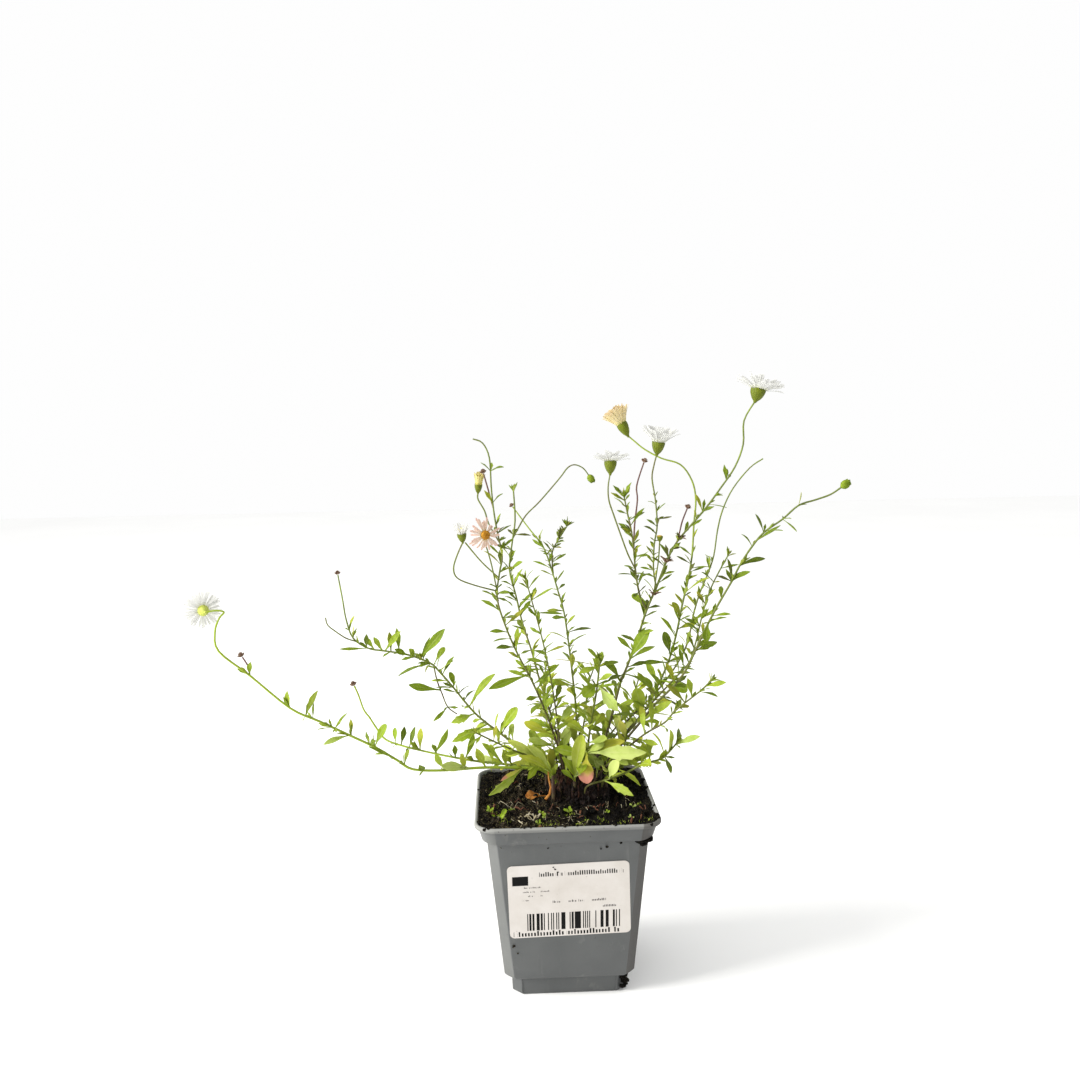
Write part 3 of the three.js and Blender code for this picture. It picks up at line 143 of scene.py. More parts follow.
@dataclass(frozen=True)
class StemPlan:
    """A stem with its side shoots."""

    name: str
    foot: Point
    main: LinePlan
    branches: tuple[LinePlan, ...] = ()

    @property
    def trailing(self) -> bool:
        """Whether the stem hangs over the pot's edge."""
        return self.name in ("stem_trailing_left", "stem_low_left")

    @property
    def sparse(self) -> bool:
        """Whether the stem's leaves stand well apart."""
        return self.trailing or self.name == "stem_far_right"


@dataclass(frozen=True)
class TuftPlan:
    """A tuft of basal leaves: each leaf is its tip, its width and its outline."""

    name: str
    foot: Point
    neck: float
    leaves: tuple[tuple[Point, float, Outline], ...]


@dataclass(frozen=True)
class BloomPlan:
    """The sizes of one flower.

    cup, tall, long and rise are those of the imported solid; the other fields are for the fine piece.
    """

    cup: float
    tall: float
    long: float
    rise: float
    wide: float
    rays: int
    rows: int
    lean: float
    finish: str = "white"
    stretch: float = 1.0
    wild: float = 1.0
    disc: float = 0.8

    @property
    def brush(self) -> bool:
        """Whether the rays stand up as a brush."""
        return self.lean > 0.9


BLOOMS: dict[str, BloomPlan] = {
    "white_top": BloomPlan(3.6, 5.4, 8.4, 0.28, 2.3, 38, 2, 0.36, stretch=1.1, wild=0.6),
    "white_high": BloomPlan(3.3, 6.0, 7.4, 0.75, 2.2, 36, 2, 0.78, stretch=1.25, wild=0.6),
    "white_middle": BloomPlan(2.9, 5.4, 6.2, 0.32, 2.1, 36, 2, 0.34, stretch=1.1, wild=0.6),
    "white_left": BloomPlan(2.6, 3.6, 7.0, 0.12, 1.0, 58, 2, 0.12),
    "cream": BloomPlan(3.0, 7.0, 8.4, 1.6, 1.9, 66, 3, 1.0, "cream", stretch=1.16, wild=0.7, disc=0.0),
    "pink": BloomPlan(2.2, 3.0, 5.8, 0.1, 1.1, 30, 1, -0.34, "pink", 1.22, 2.8, 1.05),
    "small_white": BloomPlan(2.2, 4.2, 4.2, 0.9, 0.9, 26, 2, 0.95, stretch=1.1, disc=0.0),
    "small_yellow": BloomPlan(1.8, 4.4, 3.6, 2.2, 1.0, 30, 2, 1.42, "lemon", stretch=1.5, disc=0.0),
}
STEMS: tuple[StemPlan, ...] = (
    StemPlan("stem_trailing_left", (-3, 4.5), LinePlan(
        (0.85, 0.5),
        (
            (-5, 4, 99), (-10, 3.5, 103.5), (-24.5, 1, 106), (-42.5, -2, 107.5), (-60, -6, 108), (-75.5, -9, 110),
            (-83, -11, 115.5), (-93.5, -14, 123.5), (-105, -18, 131), (-118.5, -22, 139.5), (-131.5, -26, 147.5),
            (-149, -30, 165), (-162, -33, 177.5), (-163, -34, 187), (-160.5, -35, 193.5), (-158, -35.5, 196.5),
            (-161.5, -36.5, 197.5), (-166, -37.5, 197),
        ),
        rule=LeafRule(42, 150, 10.5, 8, 5.5, 0.4),
        placed=(
            Spot((-148, -30, 166), (-148.5, -31, 171.5), 1.8, NARROW),
            Spot((-130, -26, 149.5), (-132.5, -29, 156.5), 2.4, NARROW),
            Spot((-122.5, -23, 144), (-118.5, -27, 156), 2.4, NARROW),
            Spot((-110.5, -19, 134.5), (-106, -16, 141.5), 2.2, NARROW),
            Spot((-105, -18, 131), (-116, -27, 130.5), 2.2, LONG),
            Spot((-91, -14, 124), (-87.5, -17, 135.5), 4.2, SPOON),
            Spot((-82.5, -11, 116), (-95.5, -19, 125.5), 2, NARROW),
            Spot((-47, -3, 108.5), (-61.5, -12, 112.5), 3.2, LONG),
            Spot((-20, 1, 105.5), (-37, -13, 97), 4.6, TOOTHED), Spot((-19, 1.5, 105.5), (-31.8, -9, 103), 2, LONG),
        ),
        end=BloomEnd("white_left", (-0.5, 0.85, 0.1)),
    ), (
        LinePlan(
            (0.5, 0.45),
            ((-147, -29.5, 163.5), (-149.5, -28.8, 168.5), (-152.5, -28, 173.5)),
            end=HeadEnd("spent_head_far_left", 1.2),
        ),
    )),
    StemPlan("stem_low_left", (-4, 9.5), LinePlan(
        (0.8, 0.5),
        (
            (-7, 10.5, 98.5), (-13, 12, 101.5), (-27, 15, 103), (-43, 17, 104.5), (-58.5, 19, 107), (-74.5, 22, 110),
            (-85, 24, 112.5), (-93, 25.5, 115.5), (-97.5, 27, 121), (-101, 27, 127), (-104, 27, 131.5),
            (-106.5, 27, 139.5), (-108.5, 27, 144.5),
        ),
        rule=LeafRule(26, 96, 10, 8, 6, 1.3),
        placed=(
            Spot((-88, 24, 114.5), (-87, 21, 123), 2.6, SPOON), Spot((-80, 23, 112), (-76, 18, 124.5), 2, NARROW),
            Spot((-73.5, 22, 110.5), (-74, 24, 121.5), 2.2, LONG), Spot((-67.5, 21, 109), (-59, 16, 122), 2.6, LONG),
            Spot((-49.5, 18, 107), (-45.5, 13, 121), 2.6, LONG),
            Spot((-31.5, 16, 103.5), (-41.5, 22, 113.5), 2.4, LONG),
            Spot((-30, 15, 103.5), (-44, 24, 105), 2.8, LONG),
        ),
        end=HeadEnd("spent_head_low_left", 1.3),
    )),
    StemPlan("stem_rising_left", (-2, 14.5), LinePlan(
        (0.9, 0.5),
        (
            (-4.5, 15, 99), (-10, 16, 104.5), (-21.5, 18, 111), (-32, 22, 118), (-45, 26, 128), (-56.5, 30, 141.5),
            (-63.5, 32, 149.5), (-68.5, 34, 154), (-80.5, 36, 158.5), (-93, 38, 160.5), (-102, 39, 162),
            (-110, 40, 167.5), (-113.5, 41, 177.5), (-115, 41, 188.5), (-117, 41, 202),
        ),
        rule=LeafRule(40, 152, 9, 9, 6, 2.1),
        placed=(
            Spot((-94, 38, 161.5), (-84, 33, 172), 2.2, LONG), Spot((-102, 39, 162), (-117, 34, 163), 1.2, NARROW),
            Spot((-75, 35, 157), (-68.5, 39, 167.5), 1.2, NARROW),
            Spot((-73, 34, 156.5), (-60, 29, 173.5), 3.4, LONG), Spot((-67, 33, 154), (-61, 37, 162), 3.4, SPOON),
            Spot((-63.5, 32, 149.5), (-56, 27, 157), 2.4, NARROW),
            Spot((-70, 34, 154), (-88, 42, 146.5), 1.4, NARROW),
            Spot((-55.5, 30, 141), (-57.5, 24, 151), 3.2, SPOON),
            Spot((-53.5, 29, 138), (-61.5, 23, 142), 2.2, NARROW),
            Spot((-47.5, 27, 134), (-35.5, 21, 151), 4.4, LONG),
            Spot((-44.5, 26, 128), (-57, 19, 125.5), 5, TOOTHED),
            Spot((-39, 24, 122.5), (-57, 14, 114.5), 5.6, TOOTHED),
            Spot((-32, 22, 118), (-23, 14, 133.5), 5.4, SPOON),
        ),
        end=HeadEnd("spent_head_high_left", 1.1),
    ), (
        LinePlan(
            (0.55, 0.45),
            ((-67.5, 33.5, 153.5), (-65, 30, 145.5), (-62.5, 28, 139), (-59.5, 26, 132), (-54.5, 24, 128.5)),
            placed=(
                Spot((-63, 28, 140), (-79.5, 22, 145.5), 2.6, LONG),
                Spot((-59.5, 26, 131.5), (-66.5, 20, 126), 1.8, NARROW),
            ),
        ),
        LinePlan(
            (0.5, 0.45),
            ((-108.5, 39.8, 166), (-113.5, 38, 168), (-119, 36, 172.5), (-122.5, 35, 176), (-123.5, 35, 180)),
        ),
    )),
    StemPlan("stem_front_left", (-1.5, -0.5), LinePlan(
        (0.7, 0.5),
        ((-3.5, -1, 100), (-12, -3, 110), (-26, -10, 119), (-34.5, -14, 124.5), (-43.5, -18, 130.5)),
        rule=LeafRule(18, 60, 7.5, 9, 7, 0.9),
    )),
    StemPlan("stem_tall_thin", (2, 3.5), LinePlan(
        (0.75, 0.45),
        (
            (0.5, 3, 104), (-3, 2, 118), (-8.5, 0, 135), (-15, -5, 152), (-22, -9, 167), (-28, -14, 183),
            (-31.5, -17, 197), (-30, -19.5, 210), (-28.6, -21, 218), (-30.8, -23, 230.5), (-32.2, -25, 241),
            (-33, -27, 252), (-33.5, -28, 265), (-36.5, -28, 272), (-41, -28, 274),
        ),
        rule=LeafRule(34, 158, 8, 9, 5, 1.7),
        placed=(
            Spot((-2, 2, 114), (-18, -2, 121), 4, SPOON), Spot((-5, 1, 124), (-19, -3, 130.5), 4.4, SPOON),
            Spot((-18, -6, 155), (-37, -16, 151), 3, LONG),
            Spot((-24.5, -11, 172.5), (-32.5, -17, 172.5), 2, NARROW),
            Spot((-31.5, -17, 197), (-39, -21, 201), 2.2, NARROW),
            Spot((-31.5, -17, 197), (-23.5, -10, 192.5), 3, NARROW),
            Spot((-32.8, -28, 260.3), (-27.2, -31, 261.5), 1.8, LONG),
            Spot((-32.4, -25, 244.6), (-28, -28, 248.5), 1.6, LONG),
        ),
    ), (
        LinePlan(
            (0.45, 0.45),
            ((-32.3, -22, 225), (-34.5, -20, 233), (-36.5, -19, 239.5), (-39.5, -18, 245), (-39.5, -18, 248)),
            end=BloomEnd("small_yellow", (0.1, -0.3, 1)),
        ),
        LinePlan(
            (0.45, 0.45),
            ((-32.3, -25, 241.5), (-34.5, -24, 250), (-36.5, -23, 257.5)),
            end=HeadEnd("spent_head_tall_thin", 1.1),
        ),
        LinePlan(
            (0.5, 0.45),
            ((-31.5, -18, 201.5), (-33.6, -22, 213), (-35.3, -25, 220.5), (-37, -27, 226.5), (-37.8, -27.5, 229)),
            end=BloomEnd("pink", (0.42, -0.9, 0.05)),
        ),
        LinePlan(
            (0.5, 0.45),
            (
                (-32, -17.5, 199), (-42, -21, 204), (-50, -24, 208), (-51.8, -25, 213), (-49.8, -26, 219.5),
                (-47, -27, 225.5),
            ),
            end=BloomEnd("small_white", (-0.1, -0.2, 1)),
        ),
        LinePlan((0.45, 0.45), ((-31, -19, 206.5), (-38.5, -16.5, 214.5), (-46.4, -14, 224))),
    )),
    StemPlan("stem_left_back", (1.5, 11.5), LinePlan(
        (0.75, 0.5),
        (
            (0.5, 12.5, 103), (-1.5, 15, 115), (-5.5, 18, 130), (-10.5, 22, 146), (-14.5, 26, 161.5), (-19, 30, 176),
            (-22, 33, 190), (-25, 35, 203), (-23.5, 37, 216.5), (-21.5, 38, 229.5), (-22, 38, 245),
        ),
        rule=LeafRule(36, 138, 8, 9, 6, 0.2),
        placed=(
            Spot((-25, 35, 204.5), (-18.5, 29, 208.5), 3.4, LONG), Spot((-24, 35, 205.5), (-23, 42, 213), 3, LONG),
            Spot((-14.5, 26, 161.5), (-7, 19, 160.5), 2.6, NARROW),
        ),
    ), (
        LinePlan(
            (0.5, 0.45),
            (
                (-23.2, 37.3, 219), (-20, 38, 225), (-15.5, 40, 232), (-8, 42, 239), (3, 45, 251), (7.5, 46, 256.5),
                (11.5, 47, 258), (16, 47, 256), (19, 47, 252),
            ),
            end=BudEnd(2),
        ),
    )),
    StemPlan("stem_thin_brown", (0, 7.5), LinePlan(
        (0.65, 0.45),
        ((-0.5, 8.5, 105), (-1.5, 9.5, 120), (-3.5, 10, 138.5), (-7, 9, 160), (-11, 8, 178.5), (-17, 6, 202)),
        rule=LeafRule(50, 118, 10, 7, 5, 2.6),
        placed=(
            Spot((-14.5, 7, 191.5), (-3, 1, 197.5), 2.8, LONG), Spot((-12, 7.5, 183.5), (1, 3, 184.5), 2.6, LONG),
            Spot((-6, 9, 155.5), (-23, 1, 155.5), 1.6, NARROW),
        ),
    )),
    StemPlan("stem_centre_back", (5.5, 14.8), LinePlan(
        (0.8, 0.45),
        (
            (6.5, 16, 104), (8, 20, 117), (8.5, 24.5, 130), (7.5, 30, 144.5), (6, 36, 161.5), (4, 42, 178.5),
            (1, 45, 190), (-2, 48, 201), (-4.5, 50, 209), (-7.5, 51, 215.5), (-13.5, 53, 223), (-22.5, 54, 235.5),
        ),
        rule=LeafRule(32, 140, 8, 9, 5, 1.1),
        placed=(Spot((8, 29, 140), (-6, 22, 145), 3.2, LONG), Spot((6, 36, 161.5), (15, 31, 168.5), 2, NARROW)),
        end=HeadEnd("spent_head_centre", 1),
    ), (
        LinePlan(
            (0.55, 0.45),
            ((-1.5, 47.7, 199.5), (-1.5, 50, 205), (-1, 52, 211.5), (3, 53, 218), (7, 54, 224)),
            rule=LeafRule(4, 26, 5.5, 6, 5, 0.5),
        ),
    )),
    StemPlan("stem_centre_shoot", (9, 2.2), LinePlan(
        (0.8, 0.6),
        ((10.5, 1.5, 102), (12.5, 0.5, 113), (13.5, -1, 123), (15, -3, 133.5), (17, -6, 146), (18.7, -9.5, 163)),
        rule=LeafRule(24, 78, 7, 13, 8, 1.9, LONG),
        placed=(
            Spot((18, -9, 158), (8, -15, 158.5), 3, LONG), Spot((18.5, -9, 160.5), (-3.5, -14, 164.5), 2.2, LONG),
            Spot((18, -7, 152), (10, -16, 147), 6.6, SPOON), Spot((17.5, -7, 150.5), (26.5, -17, 139), 6.6, TOOTHED),
            Spot((18.5, -9, 161), (28.5, -4, 160.5), 2.2, LONG), Spot((13, 0, 114), (30, -11, 122), 3.8, LONG),
            Spot((12.5, 0.5, 113), (10.9, -12, 101.8), 8.2, SPOON),
            Spot((13, 0, 114), (42.4, -16, 114.5), 8.2, TOOTHED),
        ),
    )),
    StemPlan("stem_right_tall", (12.7, 7.2), LinePlan(
        (0.95, 0.5),
        (
            (15, 7.5, 102), (20, 8, 112), (24, 8, 123), (26.5, 6, 133), (30, 2, 148.5), (33.5, -1, 158.5),
            (38.5, -4, 173.5), (42.5, -7, 187.5), (47, -10, 199), (51.5, -13, 212), (56.5, -15, 222),
            (63.5, -18, 231), (70, -20, 239), (77, -22, 249), (83, -24, 258.5), (86.5, -25.5, 269), (86.5, -27, 280),
            (91.5, -28, 289),
        ),
        rule=LeafRule(30, 178, 9.5, 10, 5, 0.7),
        placed=(
            Spot((31.5, 0, 153), (46.5, 8, 143.5), 5, SPOON), Spot((30.5, 2, 149), (24.5, -6, 161), 4, SPOON),
            Spot((35, -2, 162.5), (42.5, -10, 178), 4.6, LONG), Spot((42, -7, 186.5), (36, -1, 194), 3.6, SPOON),
        ),
        end=BloomEnd("white_top", (0.3, 0.1, 0.95)),
    ), (
        LinePlan(
            (0.65, 0.45),
            (
                (42, -6.7, 186), (39, -10, 194.5), (36.5, -14, 206), (35, -18, 219), (33.8, -20, 228),
                (31.6, -23, 237), (30, -24, 245),
            ),
            rule=LeafRule(8, 66, 6.5, 6, 5, 2.3),
        ),
        LinePlan(
            (0.5, 0.45),
            (
                (36, -14.5, 208.5), (32, -20, 217), (28, -26, 227), (24, -32, 237.5), (21.5, -36, 244.5),
                (21, -38, 251), (22, -38, 257),
            ),
            end=BloomEnd("white_middle", (0.05, 0.15, 1)),
        ),
        LinePlan(
            (0.5, 0.45),
            ((35.1, -18.3, 220), (36, -14, 230.5), (38, -10, 242.5), (38, -8, 249.5), (42, -5, 260.5)),
            end=HeadEnd("spent_head_right_middle", 1.1),
        ),
        LinePlan(
            (0.55, 0.45),
            (
                (46.7, -9.8, 198), (46.5, -4, 207), (47.5, 0, 219), (49.5, 3, 228.5), (49, 5, 241), (47.5, 6, 252),
                (48.5, 6, 258.5), (50, 6, 264),
            ),
            rule=LeafRule(6, 46, 7.5, 6, 4.5, 1.5),
            end=BloomEnd("white_high", (0.15, -0.1, 1)),
        ),
        LinePlan(
            (0.5, 0.45),
            ((56, -14.9, 221), (59, -8, 226), (61, -4, 231), (64, -1, 237)),
            end=HeadEnd("spent_head_right_inner", 1.1),
        ),
        LinePlan(
            (0.45, 0.45),
            ((45.5, -9, 195), (46.5, -13, 205), (47.4, -15.5, 214), (47.9, -16, 222.5)),
            end=BudEnd(1.5),
        ),
    )),
    StemPlan("stem_right_cream", (10.5, 13), LinePlan(
        (0.85, 0.5),
        (
            (13, 14, 103), (26, 15, 110.5), (37.5, 17, 120.5), (46.5, 20, 131.5), (52, 22, 141.5), (58, 25, 153),
            (63, 29, 167), (67, 33, 182.5), (70.5, 36, 194.5), (73.5, 39, 208.5), (75, 42, 224.5), (76.5, 44, 238),
            (74.5, 45, 248.5), (68.5, 46, 257), (58.5, 47, 260.5), (49.5, 48, 265.5), (44, 48, 270), (40.5, 48, 273),
        ),
        rule=LeafRule(36, 150, 9, 10, 6, 2.9),
        placed=(
            Spot((54.5, 23, 144.5), (66.5, 15, 139.5), 5.6, SPOON), Spot((59, 26, 155), (55, 19, 171), 4.4, SPOON),
            Spot((64.5, 31, 173), (61.5, 26, 185), 3.4, SPOON), Spot((58.5, 26, 153.5), (43, 20, 154), 2.6, LONG),
            Spot((73, 37, 203), (82.5, 31, 203), 2.8, LONG), Spot((70.5, 35, 188), (80.5, 28, 198), 3, LONG),
        ),
        end=BloomEnd("cream", (-0.45, 0.1, 0.88)),
    )),
    StemPlan("stem_far_right", (15, 3), LinePlan(
        (0.85, 0.5),
        (
            (17, 2.5, 101), (25.5, 1.5, 111), (38, -2, 127), (46.5, -6, 139), (54.5, -9, 148), (60.5, -12, 156.5),
            (64.5, -14, 165.5), (68.5, -17, 176), (74.5, -20, 189.5), (81.5, -23, 203), (85, -25, 211),
            (89.5, -27, 219), (95.5, -29, 227), (104, -31, 233.5), (111, -33, 240), (118.5, -34, 242.5),
            (125.5, -35, 245), (130.5, -36, 248.5),
        ),
        rule=LeafRule(32, 178, 10, 11, 6, 1.4),
        placed=(
            Spot((111, -33, 240), (111, -36, 246.5), 2, NARROW), Spot((96, -29, 227.5), (91, -33, 236.5), 2, NARROW),
            Spot((93, -28, 223.5), (105, -24, 229), 2.2, NARROW),
            Spot((104, -31, 233.5), (109.5, -36, 228), 1.8, NARROW),
            Spot((85, -25, 211), (98.5, -21, 214.5), 2.6, LONG), Spot((81.5, -23, 203), (89, -27, 209), 2.4, LONG),
            Spot((81.5, -23, 203), (81, -19, 214), 2, NARROW),
            Spot((71.5, -18.5, 183), (78.5, -24, 186.5), 2, NARROW),
            Spot((71, -18.5, 183), (68.5, -26, 174.5), 4, SPOON), Spot((65.5, -15, 169), (74.5, -9, 169), 2, NARROW),
            Spot((39.5, -2, 129), (54, -12, 142), 2.8, LONG), Spot((41, -3, 131), (36.5, -8, 148), 7, SPOON),
        ),
        end=BudEnd(2.1),
    )),
    StemPlan("stem_right_middle", (16, 9.5), LinePlan(
        (0.7, 0.45),
        (
            (18, 10, 102), (26.5, 12, 111.5), (38.5, 12, 125), (50, 10, 138.5), (60.5, 7.5, 150.5), (66, 5, 158),
            (69, 4, 168), (72.5, 3, 183.5), (76, 2, 195), (79.5, 1, 203), (84.5, 0, 212.5),
        ),
        rule=LeafRule(36, 138, 8, 9, 6, 0.3),
    )),
    StemPlan("stem_right_back", (14, 17), LinePlan(
        (0.7, 0.45),
        (
            (16.5, 18, 102), (25.5, 20, 111), (36, 24, 122.5), (48, 30, 131.5), (57.5, 36, 139.5), (67, 42, 150.5),
            (72.5, 46, 160.5), (76, 50, 173.5), (80.5, 54, 185.5), (85.5, 57, 195.5), (89.5, 60, 205.5),
            (92, 62, 219.5), (95.5, 64, 231), (101.5, 65, 242.5), (111, 66, 253.5), (118.5, 66, 258.5),
        ),
        rule=LeafRule(30, 150, 9, 9, 6, 2.2),
    )),
    StemPlan("stem_low_right", (14.5, -1.5), LinePlan(
        (0.7, 0.5),
        (
            (17, -2.5, 101), (26, -5, 111), (39.5, -12, 125), (50, -16, 132.5), (55, -18, 139), (66, -22, 149),
            (71, -24, 154.5),
        ),
        rule=LeafRule(26, 88, 9, 9, 8, 0.8),
        placed=(Spot((66, -22, 149), (74, -27, 147.5), 2.4, NARROW),),
    )),
    StemPlan("stem_right_shoot", (19, -0.5), LinePlan(
        (0.7, 0.55),
        ((22, -1.5, 101), (29, -3.5, 106.5), (38.5, -7, 109), (45.5, -10, 111), (50, -13, 114), (56, -16, 122)),
        rule=LeafRule(20, 54, 9, 9, 8, 2.4),
        placed=(
            Spot((50, -13, 114), (45, -17, 128), 3.2, LONG), Spot((51.5, -14, 116), (53, -19, 129), 2.6, LONG),
            Spot((54.5, -15.5, 120), (66, -22, 127), 2.8, LONG),
        ),
    )),
    StemPlan("stem_right_front", (10.5, -4.5), LinePlan(
        (0.75, 0.55),
        ((12.5, -6, 98), (22.5, -12, 103), (31, -18, 108.5), (37.5, -22.5, 113.5)),
        placed=(
            Spot((36.5, -22, 113), (47.5, -30, 118.5), 6.4, TOOTHED),
            Spot((19, -9, 101), (33, -23, 98), 4.6, TOOTHED), Spot((22, -12, 103), (25.5, -21, 114.5), 6, SPOON),
        ),
    )),
    StemPlan("stem_back_left", (-1, 20), LinePlan(
        (0.75, 0.5),
        ((-2, 22, 100), (-4, 29, 110), (-7, 40, 121), (-8, 50, 132), (-6, 57, 144)),
        rule=LeafRule(14, 64, 6.5, 12, 7, 0.6, LONG),
    )),
    StemPlan("stem_back_middle", (7, 20.5), LinePlan(
        (0.75, 0.5),
        ((8.5, 23, 101), (12, 31, 113), (15, 42, 124), (17, 52, 134), (21, 60, 142)),
        rule=LeafRule(14, 66, 6.5, 12, 7, 1.6, LONG),
    )),
    StemPlan("stem_back_right", (13, 22.5), LinePlan(
        (0.75, 0.5),
        ((16, 26, 100), (24, 34, 108), (33, 43, 115), (41, 51, 125), (46, 57, 136)),
        rule=LeafRule(14, 66, 6.5, 12, 7, 2.7, LONG),
    )),
)

TUFTS: tuple[TuftPlan, ...] = (
    TuftPlan("basal_leaves_front", (5.5, -3), 101, (
        ((9, -11, 126), 6.6, SPOON), ((-1, -10, 114.5), 4.6, TOOTHED),
    )),
    TuftPlan("basal_leaves_right", (22, 4.5), 101, (
        ((46, -3.5, 113.5), 8.4, TOOTHED), ((45, 13, 107), 5.4, TOOTHED),
    )),
    TuftPlan("basal_leaves_left", (-5.5, -5.5), 105, (
        ((-23, -14, 117), 5, TOOTHED), ((-18, -8, 120), 4.6, SPOON), ((-28, -6, 118.5), 4, SPOON),
    )),
    TuftPlan("basal_leaves_back_left", (-8, 17.5), 99, (
        ((-24, 28, 106), 6, TOOTHED), ((-16, 33, 116), 5, SPOON), ((-27, 22, 101), 5, LONG),
    )),
    TuftPlan("basal_leaves_back", (3, 26), 98, (
        ((4, 46, 104), 6.4, TOOTHED), ((-7, 41, 102), 5, SPOON), ((16, 42, 104.5), 5.4, TOOTHED),
        ((3, 38, 115), 4.6, LONG),
    )),
    TuftPlan("basal_leaves_back_right", (20.5, 18), 99, (
        ((38, 27, 104), 6, TOOTHED), ((34, 34, 102), 5, SPOON), ((26, 31, 111), 4.6, LONG),
    )),
)


def vec(point: Iterable[float]) -> Array:
    """Returns a point as an array."""
    return np.array(list(point), float)


def unit(v: Array) -> Array:
    """Returns v at length one."""
    return v / np.linalg.norm(v)


def scatter(k: float, salt: float) -> float:
    """Returns a number from 0 to 1 that is the same on every run."""
    # Large odd factors make the sine jump about from one number to the next.
    value = math.sin(k * 12.9898 + salt * 78.233) * 43758.5453
    return value - math.floor(value)


def sway(k: float, salt: float) -> float:
    """Returns a number from -0.5 to 0.5 that is the same on every run."""
    return scatter(k, salt) - 0.5


def lerp(a: float, b: float, share: float) -> float:
    """Returns the value at a share of the way from a to b."""
    return a + (b - a) * share


def held(value: float) -> float:
    """Returns a value, held between 0 and 1."""
    return min(max(value, 0.0), 1.0)


def between_axes(u: Array, v: Array, angle: float) -> Array:
    """Returns the direction at an angle from u towards v."""
    return u * math.cos(angle) + v * math.sin(angle)


def level_way(angle: float) -> Array:
    """Returns the level direction at an angle from the x axis."""
    return vec((math.cos(angle), math.sin(angle), 0))


def turned(v: Array, axis: Array, angle: float) -> Array:
    """Returns v turned about an axis.

    Args:
        v: The vector.
        axis: A unit vector.
        angle: Radians, by the right-hand rule.
    """
    along = axis * (axis @ v)
    return along + (v - along) * math.cos(angle) + np.cross(axis, v) * math.sin(angle)


def cross_axes(facing: Array) -> tuple[Array, Array]:
    """Returns two unit vectors that stand square on a direction and on each other."""
    u = unit(np.cross((0.0, 1.0, 0.0), facing))
    return u, np.cross(facing, u)


def linear(code: str) -> tuple[float, float, float, float]:
    """Returns a colour such as "#7f868a" as linear red, green, blue and alpha."""
    parts = [int(code[i : i + 2], 16) / 255 for i in (1, 3, 5)]
    red, green, blue = (c / 12.92 if c <= 0.04045 else ((c + 0.055) / 1.055) ** 2.4 for c in parts)
    return (red, green, blue, 1.0)


@dataclass
class Sample:
    """A place on a stem, with its direction, a side direction that doesn't twist, and its distance."""

    place: Array
    direction: Array
    side: Array
    distance: float

    def outward(self, turn: float) -> Array:
        """Returns the direction that stands off the stem at a turn round it."""
        return between_axes(self.side, np.cross(self.direction, self.side), turn)


@dataclass
class Leaf:
    """One leaf blade from its root to its tip, in millimetres."""

    root: Array
    tip: Array
    width: float
    outline: Outline
    up: Array
    arch: float
    tone: float = 0.5
    ageing: float = 0.0
    curl: float = 0.0
    twist: float = 0.0
    wave: float = 0.0
    fold: float = 1.0
    roll: float = 0.0
    sample: Sample | None = None

    # How fast a blade's edge waves along its length, and how far its tone shifts the waves.
    WAVES, WAVE_SHIFT = 17, 40

    def frame(self) -> tuple[Array, Array, Array]:
        """Returns the leaf's side, its direction and its upper side's normal."""
        direction = unit(self.tip - self.root)
        side = turned(unit(np.cross(direction, self.up)), direction, self.roll)
        return side, direction, np.cross(side, direction)

    def middle(self, share: float) -> Array:
        """Returns the point of the arched middle line at a share of the leaf's length."""
        along = self.tip - self.root
        lift = self.arch * float(np.linalg.norm(along)) * 4
        return self.root + along * share + self.frame()[2] * (lift * share * (1 - share))

    def rods(self) -> list[tuple[Array, Array, float]]:
        """Returns the space that the leaf takes, as rods with a slim stalk part."""
        half = max(self.width / 2, 0.5)
        shares = (0, 0.35, 0.7, 1)
        ends = [self.middle(share) for share in shares]
        radii = (min(half, 0.9), half, half)
        return [(ends[i], ends[i + 1], radii[i]) for i in range(3)]

    def shaped(self, flat: Array) -> Array:
        """Bends a flat unit blade to this leaf.

        Args:
            flat: Points with x across from -0.5 to 0.5, y along from 0 to 1, and z as shares of the width.

        Returns:
            The points in metres.
        """
        side, direction, normal = self.frame()
        along = self.tip - self.root
        length = float(np.linalg.norm(along))
        x, y, z = flat[:, 0] * self.width, flat[:, 1], flat[:, 2] * self.width * self.fold
        waves = np.sin(y * self.WAVES + self.tone * self.WAVE_SHIFT)
        z = z + self.wave * self.width * waves * np.sign(x) * np.abs(flat[:, 0]) * 2
        angle = self.twist * y
        across, above = x * np.cos(angle) - z * np.sin(angle), x * np.sin(angle) + z * np.cos(angle)
        lift = self.arch * length * 4 * y * (1 - y) - self.curl * length * y**3
        points = self.root + np.outer(y, along) + np.outer(across, side) + np.outer(above + lift, normal)
        return points * MM


def curve_point(p0: Array, p1: Array, p2: Array, p3: Array, t: float) -> Array:
    """Returns a point on the smooth curve through four points, between the second and the third."""
    square = 2 * p0 - 5 * p1 + 4 * p2 - p3
    cube = 3 * p1 - p0 - 3 * p2 + p3
    return 0.5 * (2 * p1 + (p2 - p0) * t + square * t * t + cube * t * t * t)


